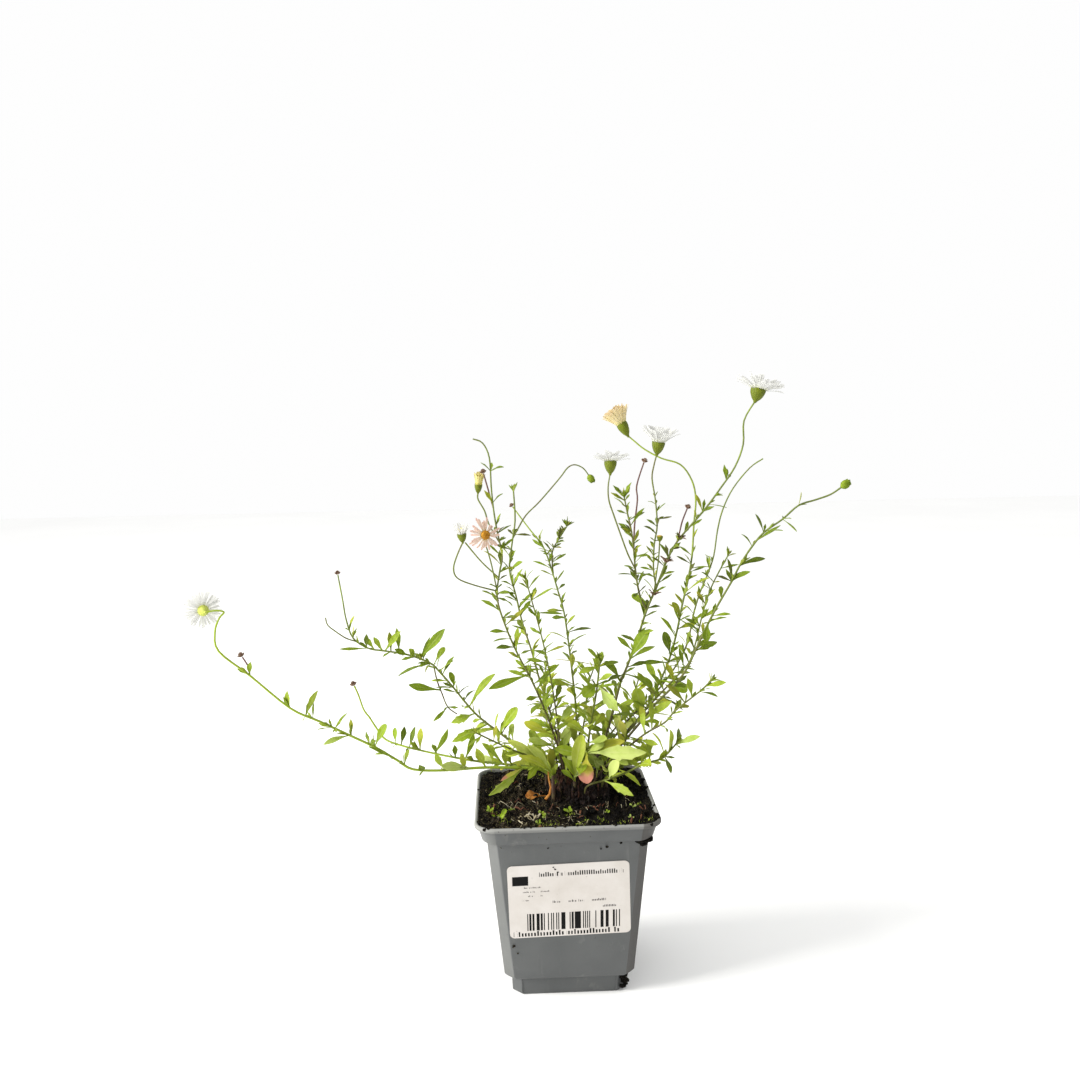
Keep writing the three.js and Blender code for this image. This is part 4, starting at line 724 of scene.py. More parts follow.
def sample_route(points: list[Array]) -> list[Sample]:
    """Samples a smooth route through points, and carries a side direction along it."""
    last = len(points) - 1
    places = [
        curve_point(points[max(i - 1, 0)], points[i], points[i + 1], points[min(i + 2, last)], step / CURVE_STEPS)
        for i in range(last)
        for step in range(CURVE_STEPS)
    ]
    places.append(points[last].copy())
    samples: list[Sample] = []
    side, distance = None, 0.0
    for i, place in enumerate(places):
        ahead, behind = places[min(i + 1, len(places) - 1)], places[max(i - 1, 0)]
        direction = unit(ahead - behind)
        side = np.cross((0.0, 1.0, 0.0), direction) if side is None else side
        side = unit(side - direction * (side @ direction))
        if i:
            distance += float(np.linalg.norm(place - behind))
        samples.append(Sample(place, direction, side, distance))
    return samples


def sample_at(samples: list[Sample], distance: float) -> Sample:
    """Returns the place at a distance along a sampled route."""
    after = next((i for i, s in enumerate(samples) if s.distance >= distance), -1)
    if after <= 0:
        return samples[after]
    a, b = samples[after - 1], samples[after]
    share = (distance - a.distance) / (b.distance - a.distance)
    return Sample(a.place + (b.place - a.place) * share, a.direction, a.side, distance)


def nearest_sample(samples: list[Sample], point: Array) -> Sample:
    """Returns the sample that lies nearest to a point."""
    gaps = [float(np.linalg.norm(s.place - point)) for s in samples]
    return samples[int(np.argmin(gaps))]


class Space:
    """The room that stems and leaves have taken, as rods with round ends."""

    def __init__(self, most: int = 12000) -> None:
        """Makes room for the rods."""
        self.ends = np.zeros((2, most, 3))
        self.radii = np.zeros(most)
        self.owners = np.zeros(most, int)
        self.names: dict[str, int] = {}
        self.count = 0

    def book(self, piece: str, a: Array, b: Array, radius: float) -> None:
        """Adds a rod from a to b that belongs to a piece."""
        self.ends[0, self.count], self.ends[1, self.count] = a, b
        self.radii[self.count] = radius
        self.owners[self.count] = self.names.setdefault(piece, len(self.names))
        self.count += 1

    def is_clear(self, piece: str, a: Array, b: Array, radius: float) -> bool:
        """Tells whether a rod keeps its distance from every other piece's rods."""
        others = np.flatnonzero(self.owners[: self.count] != self.names.get(piece, -1))
        # The two rods come nearest to each other at the shares s and t of their lengths.
        start, end = self.ends[0, others], self.ends[1, others]
        d1, d2, r = b - a, end - start, a - start
        aa, ee, ff = d1 @ d1, np.einsum("ij,ij->i", d2, d2), np.einsum("ij,ij->i", d2, r)
        cc, bb = r @ d1, d2 @ d1
        spread = aa * ee - bb * bb
        s = np.where(spread > 1e-9, np.clip((bb * ff - cc * ee) / np.where(spread > 1e-9, spread, 1), 0, 1), 0)
        t = (bb * s + ff) / ee
        outside = (t < 0) | (t > 1)
        t = np.clip(t, 0, 1)
        s = np.where(outside, np.clip((bb * t - cc) / aa, 0, 1), s)
        gap = np.linalg.norm(a + np.outer(s, d1) - start - d2 * t[:, None], axis=1)
        return bool((gap - radius - self.radii[others] >= CLEAR).all())


@dataclass
class Line:
    """A traced stem or side shoot."""

    plan: LinePlan
    samples: list[Sample]

    @property
    def end(self) -> Sample:
        """The last sample."""
        return self.samples[-1]


@dataclass
class GrownStem:
    """A stem with its lines and leaves."""

    plan: StemPlan
    lines: list[Line]
    leaves: list[Leaf] = field(default_factory=list)


@dataclass
class GrownTuft:
    """A tuft with its leaves."""

    plan: TuftPlan
    leaves: list[Leaf]


@dataclass(frozen=True)
class Soil:
    """The form of the peat's top, in millimetres."""

    level: float = 89.0
    mound: float = 3.0
    reach: float = 15.0
    crumb: float = 0.7
    crown: Point = (6.0, 8.0)

    def height(self, x: float, y: float) -> float:
        """Returns the height of the peat at a place."""
        away = math.hypot(x - self.crown[0], y - self.crown[1])
        across = math.sin(x * 0.71 + math.sin(y * 0.53) * 1.7)
        along = math.cos(y * 0.83 + math.sin(x * 0.47) * 1.9)
        return self.level + self.mound * math.exp(-((away / self.reach) ** 2)) + self.crumb * across * along


@dataclass
class Growth:
    """The growth rule: it traces the stems, books their room, and sets their leaves.

    foot holds the heights where a stem stands upright in the peat. The turns are those that a leaf tries round its
    stem until it has room, and the swings and lifts are those of a listed leaf. Upright stems that end
    above tall also bear broad leaves on their lowest part. fallen is the dead leaf's root, tip and width.
    """

    soil: Soil = field(default_factory=Soil)
    foot: Point = (84.0, 93.0)
    tuft_radius: float = 1.5
    tall: float = 150.0
    rule_turns: Point = (0, 0.7, -0.7, 1.4, -1.4, 2.2, -2.2, 3.1)
    fine_turns: Point = (0, 1.1, -1.1, 2.2, -2.2)
    low_turns: Point = (0, 0.9, -0.9, 1.8, -1.8, 2.7)
    swings: Point = (0, 0.12, -0.12, 0.24, -0.24, 0.4, -0.4, 0.6, -0.6)
    lifts: Point = (0, 2, -2, 4)
    fallen: tuple[Point, Point, float] = ((-9.0, 1.5), (-19.5, -1.0), 4.6)
    fallen_rise: float = 0.95
    space: Space = field(default_factory=Space)

    def trace(self, plan: StemPlan) -> list[Line]:
        """Traces a stem and its branches, and books their room."""
        feet = [vec((*plan.foot, z)) for z in self.foot]
        lines = [Line(plan.main, sample_route(feet + [vec(p) for p in plan.main.route]))]
        for branch in plan.branches:
            points = [vec(p) for p in branch.route]
            drawn = [s for line in lines for s in line.samples]
            points[0] = nearest_sample(drawn, points[0]).place.copy()
            lines.append(Line(branch, sample_route(points)))
        for line in lines:
            for a, b in zip(line.samples, line.samples[1:]):
                self.space.book(plan.name, a.place, b.place, line.plan.radius[0])
        return lines

    def book_end(self, line: Line, piece: str) -> None:
        """Books the room of what a line bears at its end."""
        place, direction, end = line.end.place, line.end.direction, line.plan.end
        if isinstance(end, BloomEnd):
            bloom, facing = BLOOMS[end.kind], unit(vec(end.facing))
            top = place + facing * (bloom.tall + 1)
            flare = 0.6 if bloom.rise > 1 else 1
            self.space.book(piece, place, top, bloom.cup)
            self.space.book("bloom", top, top + facing, (bloom.long + bloom.cup) * flare)
        elif isinstance(end, HeadEnd):
            start = place + direction * end.size
            self.space.book(end.node, start, start + direction * 0.5, 1.5 * end.size)
        elif isinstance(end, BudEnd):
            self.space.book(piece, place, place + direction * 3, end.radius)

    def book_leaf(self, leaf: Leaf, piece: str) -> bool:
        """Books a leaf's room, or returns False where another piece is in its way."""
        rods = leaf.rods()
        if not all(self.space.is_clear(piece, *rod) for rod in rods):
            return False
        for rod in rods:
            self.space.book(piece, *rod)
        return True

    def fitted(self, leaf: Leaf, piece: str) -> list[Leaf]:
        """Sets a leaf, swung a little to either side where it has to be."""
        along = leaf.tip - leaf.root
        for swing, lift in product(self.swings, self.lifts):
            leaf.tip = leaf.root + turned(along, vec((0, 0, 1)), swing) + vec((0, 0, lift))
            if self.book_leaf(leaf, piece):
                return [leaf]
        return []

    def placed_leaf(self, spot: Spot, samples: list[Sample]) -> Leaf:
        """Returns a listed leaf, with its root on the stem."""
        sample = nearest_sample(samples, vec(spot.root))
        up = vec((0, -0.35, 1))
        return Leaf(sample.place.copy(), vec(spot.tip), spot.width, spot.outline, up, 0.1, sample=sample)

    def rule_leaf(self, sample: Sample, rule: LeafRule, k: int, extra: float) -> Leaf:
        """Returns the leaf that the rule gives at one place of a stem.

        Args:
            sample: The place on the stem.
            rule: The leaf rule.
            k: The leaf's number on the stem.
            extra: Radians that the leaf is turned round the stem.
        """
        share = held((sample.distance - rule.start) / (rule.stop - rule.start))
        turn = rule.phase * 2 + k * GOLDEN_TURN + extra + sway(k, rule.phase) * 0.6
        lean = lerp(1.05, 0.75, share) + sway(k, rule.phase + 3) * 0.3
        way = unit(between_axes(sample.direction, sample.outward(turn), lean) + vec((0, 0, 0.3)))
        length = lerp(rule.low, rule.high, share) * (0.8 + 0.4 * scatter(k, rule.phase + 7))
        outline = rule.outline if share < 0.4 else NARROW
        width = length * (0.25 if outline is NARROW else 0.32)
        up = sample.direction + vec((0, 0, 0.5))
        return Leaf(sample.place.copy(), sample.place + way * length, width, outline, up, 0.07, sample=sample)

    def first_fit(self, turns: Point, make: Callable[[float], Leaf], piece: str) -> list[Leaf]:
        """Sets a leaf at the first turn that leaves it room.

        Args:
            turns: The turns to try.
            make: Makes the leaf for a turn.
            piece: The piece that the leaf belongs to.

        Returns:
            The leaf, or nothing where no turn leaves it room.
        """
        for turn in turns:
            leaf = make(turn)
            if self.book_leaf(leaf, piece):
                return [leaf]
        return []

    def ruled(self, line: Line, piece: str) -> list[Leaf]:
        """Sets the leaves that a line's rule gives, and leaves out those with no room."""
        rule = line.plan.rule
        if rule is None:
            return []
        made: list[Leaf] = []
        k = 0
        while rule.start + k * rule.every <= rule.stop:
            sample = sample_at(line.samples, rule.start + k * rule.every)
            made += self.first_fit(self.rule_turns, partial(self.rule_leaf, sample, rule, k), piece)
            k += 1
        return made

    def between(self, line: Line, piece: str) -> list[Leaf]:
        """Returns the finer leaves that stand between those of a line's rule, where there is room."""
        rule = line.plan.rule
        if rule is None:
            return []
        made: list[Leaf] = []
        distance, k = rule.start + rule.every / 2, 60
        while distance < rule.stop + rule.every:
            sample = sample_at(line.samples, min(distance, line.end.distance))
            made += self.first_fit(self.fine_turns, partial(self.rule_leaf, sample, rule, k), piece)
            distance, k = distance + rule.every, k + 1
        return made

    def low_leaf(self, sample: Sample, k: int, seed: float, extra: float) -> Leaf:
        """Returns one of the broader leaves on the lowest part of an upright stem.

        Args:
            sample: The place on the stem.
            k: The leaf's number on the stem.
            seed: The stem's own turn.
            extra: Radians that the leaf is turned round the stem.
        """
        outward = sample.outward(k * GOLDEN_TURN + seed + extra)
        way = unit(sample.direction * 0.55 + outward * 0.8 + vec((0, 0, 0.2)))
        length = 14.0 - 1.1 * k + 5 * sway(k, seed)
        outline = SPOON if scatter(k, seed + 1) > 0.3 else TOOTHED
        up = sample.direction + vec((0, 0, 0.5))
        return Leaf(sample.place.copy(), sample.place + way * length, length * 0.3, outline, up, 0.1, sample=sample)

    def low_leaves(self, line: Line, piece: str, seed: float) -> list[Leaf]:
        """Returns the broader leaves on the lowest part of an upright stem, where there is room."""
        made: list[Leaf] = []
        for k in range(4):
            sample = sample_at(line.samples, min(17.0 + 12.0 * k, line.end.distance * 0.55))
            made += self.first_fit(self.low_turns, partial(self.low_leaf, sample, k, seed), piece)
        return made

    def thicken(self, stems: list[GrownStem]) -> None:
        """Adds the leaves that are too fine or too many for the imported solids."""
        for n, stem in enumerate(stems):
            if stem.lines[0].end.place[2] > self.tall and not stem.plan.trailing:
                stem.leaves += self.low_leaves(stem.lines[0], stem.plan.name, n + 0.4)
            for line in stem.lines[stem.plan.sparse :]:
                stem.leaves += self.between(line, stem.plan.name)

    def grow(self) -> tuple[list[GrownStem], list[GrownTuft], Leaf]:
        """Grows the plant.

        Returns:
            The stems, the tufts and the dead leaf on the peat.
        """
        stems = [GrownStem(plan, self.trace(plan)) for plan in STEMS]
        for stem in stems:
            for line in stem.lines:
                self.book_end(line, stem.plan.name)
        root, tip = (vec((x, y, self.soil.height(x, y) + self.fallen_rise)) for x, y in self.fallen[:2])
        dead = Leaf(root, tip, self.fallen[2], SPOON, vec((0, -0.2, 1)), 0.06)
        for rod in dead.rods():
            self.space.book("fallen_leaf", *rod)
        for plan in TUFTS:
            ends = vec((*plan.foot, self.foot[0])), vec((*plan.foot, plan.neck))
            self.space.book(plan.name, *ends, self.tuft_radius)
        for stem in stems:
            placed = [self.placed_leaf(spot, line.samples) for line in stem.lines for spot in line.plan.placed]
            stem.leaves = [leaf for one in placed for leaf in self.fitted(one, stem.plan.name)]
        tufts = [GrownTuft(plan, self.tuft_leaves(plan)) for plan in TUFTS]
        for stem in stems:
            stem.leaves += [leaf for line in stem.lines for leaf in self.ruled(line, stem.plan.name)]
        return stems, tufts, dead

    def tuft_leaves(self, plan: TuftPlan) -> list[Leaf]:
        """Sets the leaves of a basal tuft."""
        made: list[Leaf] = []
        for tip, width, outline in plan.leaves:
            root = vec((*plan.foot, plan.neck - 2))
            made += self.fitted(Leaf(root, vec(tip), width, outline, vec((0, -0.2, 1)), 0.14), plan.name)
        return made


def arithmetic(operation: str, swapped: bool = False) -> Callable[["Value", "Value | float"], "Value"]:
    """Returns a method that adds a Math node.

    Args:
        operation: The node's operation.
        swapped: Whether the other number comes first.
    """

    def method(value: "Value", other: "Value | float") -> "Value":
        """Returns what the operation gives."""
        return value.shader.math(operation, *((other, value) if swapped else (value, other)))

    return method


class Value:
    """A number in a shader. Arithmetic on it adds Math nodes, and a comparison gives 1 or 0."""

    def __init__(self, shader: "Shader", socket: Socket) -> None:
        """Wraps a socket.

        Args:
            shader: The shader that the socket is in.
            socket: The output that gives the number.
        """
        self.shader = shader
        self.socket = socket

    __add__ = __radd__ = arithmetic("ADD")
    __sub__, __rsub__ = arithmetic("SUBTRACT"), arithmetic("SUBTRACT", swapped=True)
    __mul__ = __rmul__ = arithmetic("MULTIPLY")
    __gt__, __lt__ = arithmetic("GREATER_THAN"), arithmetic("LESS_THAN")

    def call(self, operation: str) -> "Value":
        """Returns a one-sided operation on this, such as FRACT or ABSOLUTE."""
        return self.shader.math(operation, self)

    def clamped(self) -> "Value":
        """Returns this, held between 0 and 1."""
        return self.shader.math("ADD", self, 0.0, clamp=True)

    def fade(self, low: float, high: float) -> "Value":
        """Returns a smooth step from 0 at low to 1 at high."""
        node = self.shader.node(
            "ShaderNodeMapRange",
            {"interpolation_type": "SMOOTHSTEP"},
            {"Value": self, "From Min": low, "From Max": high},
        )
        return Value(self.shader, node.outputs["Result"])

    def within(self, low: float, high: float) -> "Value":
        """Returns 1 between two limits."""
        return (self > low) * (self < high)


Number = Value | float
Colour = Socket | tuple[float, float, float, float]


class Shader:
    """One material, with its nodes made by name."""

    def __init__(self, name: str, constants: dict[str, float] | None = None) -> None:
        """Starts a material.

        Args:
            name: The material's name.
            constants: Values for the surface shader's own sockets.
        """
        self.material = bpy.data.materials.new(name)
        self.material.use_nodes = True
        self.tree = self.material.node_tree
        self.tree.nodes.clear()
        self.surface = self.node("ShaderNodeBsdfPrincipled", inputs=constants)
        self.output = self.node("ShaderNodeOutputMaterial", inputs={"Surface": self.surface.outputs[0]})
        self.place = self.node("ShaderNodeTexCoord").outputs["Object"]

    def node(self, kind: str, settings: dict | None = None, inputs: dict | None = None) -> bpy.types.Node:
        """Adds a node.

        Args:
            kind: The node's type.
            settings: Its settings; stops are a ramp's places and colours.
            inputs: Values or links for its sockets, by name or number.
        """
        node = self.tree.nodes.new(kind)
        for key, value in (settings or {}).items():
            if key == "stops":
                self.set_stops(node.color_ramp, value)
            else:
                setattr(node, key, value)
        for key, value in (inputs or {}).items():
            self.feed(node.inputs[key], value)
        return node

    @staticmethod
    def set_stops(ramp: bpy.types.ColorRamp, stops: tuple[tuple[float, str], ...]) -> None:
        """Sets a ramp's colours."""
        while len(ramp.elements) < len(stops):
            ramp.elements.new(1.0)
        for element, (place, code) in zip(ramp.elements, stops):
            element.position = place
            element.color = linear(code)

    def feed(self, socket: Socket, value: "Number | Colour") -> None:
        """Links a value to a socket, or sets it there."""
        if isinstance(value, Value):
            self.tree.links.new(value.socket, socket)
        elif isinstance(value, bpy.types.NodeSocket):
            self.tree.links.new(value, socket)
        else:
            socket.default_value = value

    def math(self, operation: str, *values: Number, clamp: bool = False) -> Value:
        """Adds a Math node."""
        settings = {"operation": operation, "use_clamp": clamp}
        node = self.node("ShaderNodeMath", settings, dict(enumerate(values)))
        return Value(self, node.outputs[0])

    def noise(self, scale: float, detail: float = 3.0, rough: float = 0.55, at: Socket | None = None) -> Value:
        """Returns a cloudy pattern, from 0 to 1, of a scale in 1/m."""
        inputs = {"Vector": at or self.place, "Scale": scale, "Detail": detail, "Roughness": rough}
        return Value(self, self.node("ShaderNodeTexNoise", inputs=inputs).outputs[0])

    def cells(self, scale: float) -> Value:
        """Returns the distance to the nearest of scattered points, in cells of a scale in 1/m."""
        return Value(self, self.node("ShaderNodeTexVoronoi", inputs={"Vector": self.place, "Scale": scale}).outputs[0])

    def ramp(self, factor: Value, *stops: tuple[float, str]) -> Socket:
        """Returns a colour from a row of colours."""
        return self.node("ShaderNodeValToRGB", {"stops": stops}, {0: factor}).outputs[0]

    def mix(self, factor: Number, a: Colour, b: Colour, blend: str = "MIX") -> Socket:
        """Returns a mix of two colours."""
        settings = {"data_type": "RGBA", "blend_type": blend}
        return self.node("ShaderNodeMix", settings, {0: factor, 6: a, 7: b}).outputs[2]

    def axes(self) -> tuple[Value, Value, Value]:
        """Returns the place's x, y and z."""
        node = self.node("ShaderNodeSeparateXYZ", inputs={0: self.place})
        return tuple(Value(self, out) for out in node.outputs)

    def growth(self) -> tuple[Value, Value, Value, Value]:
        """Returns a leaf's tone, its share along, its share across and its ageing."""
        read = self.node("ShaderNodeAttribute", {"attribute_name": GROWTH})
        split = self.node("ShaderNodeSeparateColor", inputs={0: read.outputs["Color"]})
        return (*(Value(self, out) for out in split.outputs), Value(self, read.outputs["Alpha"]))

    def bump(self, height: Value, strength: float, distance: float) -> Socket:
        """Returns a normal that is raised by a height."""
        inputs = {"Height": height, "Strength": strength, "Distance": distance}
        return self.node("ShaderNodeBump", inputs=inputs).outputs[0]

    def done(self, colour: Colour, roughness: Number, normal: Socket | None = None) -> bpy.types.Material:
        """Feeds the surface and returns the material."""
        self.feed(self.surface.inputs["Base Color"], colour)
        self.feed(self.surface.inputs["Roughness"], roughness)
        if normal:
            self.feed(self.surface.inputs["Normal"], normal)
        return self.material

    def lit_through(self, share: float, colour: tuple[float, float, float, float]) -> None:
        """Lets some light through a thin blade.

        Args:
            share: The share of light that passes.
            colour: The colour of that light.
        """
        back = self.node("ShaderNodeBsdfTranslucent", inputs={"Color": colour})
        inputs = {0: share, 1: self.surface.outputs[0], 2: back.outputs[0]}
        mixed = self.node("ShaderNodeMixShader", inputs=inputs)
        self.feed(self.output.inputs["Surface"], mixed.outputs[0])


@dataclass(frozen=True)
class PotPlastic:
    """Grey moulded plastic with a dusting, specks of dirt and fine scratches, painted shade on the right front chamfer,
    and painted highlights on the lip and the left front chamfer.

    Heights in the material are those of the pot, in metres, and taper is how much its walls lean out for each metre.
    """

    light: str = "#525454"
    deep: str = "#464848"
    # This pale colour also paints highlights on the lip and on the left front chamfer.
    dust_and_highlight: str = "#82827e"
    # This colour also paints shade over the right front chamfer.
    dirt: str = "#2a221a"
    taper: float = 0.0972

    def material(self) -> bpy.types.Material:
        """Returns the material."""
        shader = Shader("pot_plastic", {"Specular IOR Level": 0.45})
        x, y, z = shader.axes()
        # The front's cut corners: painted shade goes on the right one, and a painted highlight on the left one.
        front = (-1.0 * y - z * self.taper).fade(0.0245, 0.0255)
        right, left = (front * (side - z * self.taper).fade(0.0262, 0.0268) for side in (x, -1.0 * x))
        cloud = shader.noise(38.0, 4.0)
        base = shader.ramp(cloud, (0.3, self.deep), (0.7, self.light))
        stretched = shader.node("ShaderNodeMapping", inputs={"Vector": shader.place, "Scale": (260, 260, 18)})
        streaks = shader.noise(1.0, 5.0, 0.6, stretched.outputs[0]).fade(0.6, 0.8)
        rim = z.fade(0.0902, 0.0912)
        # The lip and the rim's top get the pale colour: a settled dusting and a painted highlight.
        lip = z.fade(0.0889, 0.0893) * 0.5 + rim * 0.7
        # Dusting, with a painted highlight over the left front chamfer.
        dust_and_highlight = (streaks * 0.22 + shader.noise(90.0, 6.0, 0.7).fade(0.58, 0.75) * 0.3 + lip + left * 0.25).clamped()
        dusted_and_lit = shader.mix(dust_and_highlight, base, linear(self.dust_and_highlight))
        near_rim = z.fade(0.06, 0.092) * 0.05
        specks = (shader.noise(520.0, 2.0, 0.5) + near_rim).fade(0.745, 0.79) * 0.8
        # Dirt marks, with painted shade over the whole right front chamfer.
        smears_and_shade = (shader.noise(60.0, 5.0, 0.75) + near_rim).fade(0.64, 0.85) * 0.4 + right * 0.6
        colour = shader.mix((specks + smears_and_shade).clamped(), dusted_and_lit, linear(self.dirt))
        grain = shader.noise(1900.0, 2.0)
        normal = shader.bump(grain * 0.4 + cloud * 0.5 + specks * 0.8, 0.25, 0.0004)
        return shader.done(colour, 0.42 + dust_and_highlight * 0.25 + grain * 0.1, normal)


@dataclass(frozen=True)
class LabelPaper:
    """White sticker paper with ruled dashes and upright bars that say nothing."""

    paper: str = "#c6c1bc"
    shade: str = "#b9b3ac"
    ink: str = "#040404"
    dirt: str = "#5b4a3a"
    slope: float = 0.023
    # Each row's first and last x, its height, and its strokes' height and pitch.
    rows: tuple[Point, ...] = (
        (-14.4, 26.2, 66.0, 2.3, 1.1), (-24.4, -13.8, 59.4, 0.8, 0.6), (-24.4, -9.6, 57.2, 0.8, 0.6),
        (-24.4, -13.0, 55.0, 0.8, 0.6), (-24.4, -19.6, 52.8, 0.8, 0.6), (-15.0, 18.0, 51.4, 1.2, 0.8),
        (16.2, 26.0, 47.9, 1.1, 0.75), (-27.2, 24.4, 35.0, 2.6, 1.5),
    )
    # The first and last x and the lowest and highest z of the bars and of the square, in metres.
    bar_block: Point = (-0.0205, 0.0246, 0.0366, 0.0456)
    square: Point = (-0.0274, -0.0197, 0.0606, 0.0654)

    def chance(self, shader: Shader, at: Value) -> Value:
        """Returns a scattered number from 0 to 1 for each whole number of a value."""
        inputs = {"W": at.call("FLOOR")}
        return Value(shader, shader.node("ShaderNodeTexWhiteNoise", {"noise_dimensions": "1D"}, inputs).outputs[0])

    def strokes(self, shader: Shader, row: Point) -> Value:
        """Returns one row of small uneven strokes with gaps, which says nothing."""
        first, last, level, tall, pitch = row
        x, _, z = shader.axes()
        at = (x + z * self.slope) * (1 / (pitch * MM))
        up = z - x * self.slope - (level - tall / 2) * MM
        top = (self.chance(shader, at + level) > 0.55) * (0.3 * tall * MM) + 0.7 * tall * MM
        inside = (up > 0.0) * (up < top) * x.within(first * MM, last * MM)
        stroke = (at.call("FRACT") < 0.56) * (self.chance(shader, at * 2 + level) > 0.15)
        return inside * stroke * (self.chance(shader, at * 0.21 + level * 1.3) > 0.12)

    def area(self, shader: Shader, ends: Point) -> Value:
        """Returns 1 within an area that slopes with the label."""
        x, _, z = shader.axes()
        return x.within(*ends[:2]) * (z - x * self.slope).within(*ends[2:])

    def material(self) -> bpy.types.Material:
        """Returns the material."""
        shader = Shader("label_paper", {"Specular IOR Level": 0.12})
        bars = self.chance(shader, shader.axes()[0] * (1 / (0.5 * MM))) > 0.5
        ink = bars * self.area(shader, self.bar_block) + self.area(shader, self.square)
        for row in self.rows:
            ink = ink + self.strokes(shader, row)
        wear = shader.noise(900.0, 3.0)
        inked = (ink.clamped() * (0.88 + wear * 0.35)).clamped()
        cloud = shader.noise(70.0, 5.0, 0.65)
        paper = shader.ramp(cloud, (0.35, self.paper), (0.8, self.shade))
        spots = shader.noise(420.0, 3.0, 0.6).fade(0.7, 0.76) * 0.55
        soiled = shader.mix(spots, paper, linear(self.dirt))
        colour = shader.mix(inked, soiled, linear(self.ink))
        normal = shader.bump(shader.noise(1400.0, 3.0) + cloud, 0.12, 0.0002)
        return shader.done(colour, 0.4 + cloud * 0.2, normal)


@dataclass(frozen=True)
class Peat:
    """Dark damp peat, from near black pits to rusty brown crumbs, with pale flecks, and painted shade that darkens its
    right half.
    """

    # This near black colour also paints the shade over the right half.
    pit_and_shade: str = "#020101"
    body: str = "#0b0705"
    crumb: str = "#3a2d1e"
    rust: str = "#321a0c"
    fleck: str = "#8f8560"

    def material(self) -> bpy.types.Material:
        """Returns the material."""
        shader = Shader("peat", {"Specular IOR Level": 0.12})
        fine, coarse = shader.noise(1500.0, 6.0, 0.7), shader.noise(190.0, 5.0, 0.6)
        grit = shader.cells(900.0)
        mottle = (fine * 0.55 + coarse * 0.45).clamped()
        colour = shader.ramp(mottle, (0.4, self.pit_and_shade), (0.5, self.body), (0.64, self.crumb))
        rust = shader.noise(330.0, 3.0).fade(0.62, 0.72) * 0.5
        rusty = shader.mix(rust, colour, linear(self.rust))
        pale = (shader.noise(2300.0, 2.0) + coarse * 0.25).fade(0.72, 0.79) * 0.8
        flecked = shader.mix(pale, rusty, linear(self.fleck))
        # Painted shade: the right half is darkened towards the near black colour.
        with_painted_shade = shader.mix(shader.axes()[0].fade(-0.014, 0.01) * 0.72, flecked, linear(self.pit_and_shade))
        normal = shader.bump(fine + grit * 0.6 + coarse, 0.9, 0.0016)
        return shader.done(with_painted_shade, 0.7 + fine * 0.3, normal)


@dataclass(frozen=True)
class LeafSkin:
    """Soft green leaf skin: a pale midrib, faint side veins, and yellow or pink ageing."""

    name: str
    deep: str
    mid: str
    light: str
    rib: str
    rough: float = 0.55
    through: float = 0.28
    mottle: float = 0.7

    YELLOWED, BLUSHED, BROWNED, PURPLE = "#c9bb3e", "#c9747a", "#8a5a34", "#5d3c3a"

    def material(self) -> bpy.types.Material:
        """Returns the material."""
        shader = Shader(self.name, {"Specular IOR Level": 0.25})
        tone, along, across, ageing = shader.growth()
        patches = shader.noise(320.0, 4.0, 0.6)
        shift = (tone + (patches - 0.5) * self.mottle + across * 0.08).clamped()
        base = shader.ramp(shift, (0.05, self.deep), (0.5, self.mid), (0.95, self.light))
        rib = (1 - across.fade(0.04, 0.16)) * (1 - along * 0.6) * 0.55
        slant = ((along * 9.0 - across * 1.6).call("FRACT") - 0.5).call("ABSOLUTE")
        veins = (1 - slant.fade(0.02, 0.12)) * 0.2 * self.mottle
        veined = shader.mix((rib + veins).clamped(), base, linear(self.rib))
        yellow = (ageing * 2).clamped() * (0.25 + along * 0.5 + patches * 0.5)
        yellowed = shader.mix(yellow.clamped(), veined, linear(self.YELLOWED))
        blush = ((ageing - 0.5) * 2).clamped() * (along + (patches - 0.5) * 0.3).fade(0.66, 0.84)
        pinked = shader.mix(blush * 0.9, yellowed, linear(self.BLUSHED))
        worn = across.fade(0.75, 1.0) * patches.fade(0.5, 0.7) * (0.15 + ageing * 0.6)
        browned = shader.mix(worn.clamped(), pinked, linear(self.BROWNED))
        colour = shader.mix(((0.16 - tone) * 8).clamped() * 0.45, browned, linear(self.PURPLE))
        down = shader.noise(2400.0, 3.0, 0.6)
        normal = shader.bump(down * 0.5 + rib * 1.2 + veins * 2 + patches * 0.5, 0.4, 0.0004)
        material = shader.done(colour, self.rough + down * 0.15, normal)
        shader.lit_through(self.through, linear(self.light))
        return material


@dataclass(frozen=True)
class StalkSkin:
    """Stem skin: brown or purple where it is old, and fresh green near its tip."""

    old: str = "#3a281b"
    mid: str = "#585f1a"
    fresh: str = "#57661a"
    bright: str = "#869a1e"
    purple: str = "#5c3436"
    streak: str = "#a4a850"

    def material(self) -> bpy.types.Material:
        """Returns the material."""
        shader = Shader("stalk_skin", {"Specular IOR Level": 0.4})
        tone, along, _, ageing = shader.growth()
        patches = shader.noise(160.0, 4.0, 0.6)
        shift = (along + (tone - 0.5) * 0.4 + (patches - 0.5) * 0.6 - ageing * 0.5).clamped()
        base = shader.ramp(shift, (0.12, self.old), (0.38, self.mid), (0.74, self.fresh), (0.98, self.bright))
        fibres = shader.node("ShaderNodeMapping", inputs={"Vector": shader.place, "Scale": (3000, 3000, 240)})
        streaks = shader.noise(1.0, 3.0, 0.5, fibres.outputs[0])
        purple = shader.noise(60.0, 2.0).fade(0.55, 0.68) * 0.45 * (1.2 - tone) + ageing * 0.45
        tinted = shader.mix(purple.clamped(), base, linear(self.purple))
        colour = shader.mix(streaks.fade(0.5, 0.7) * 0.2, tinted, linear(self.streak))
        return shader.done(colour, 0.5 + streaks * 0.2, shader.bump(streaks, 0.4, 0.0002))


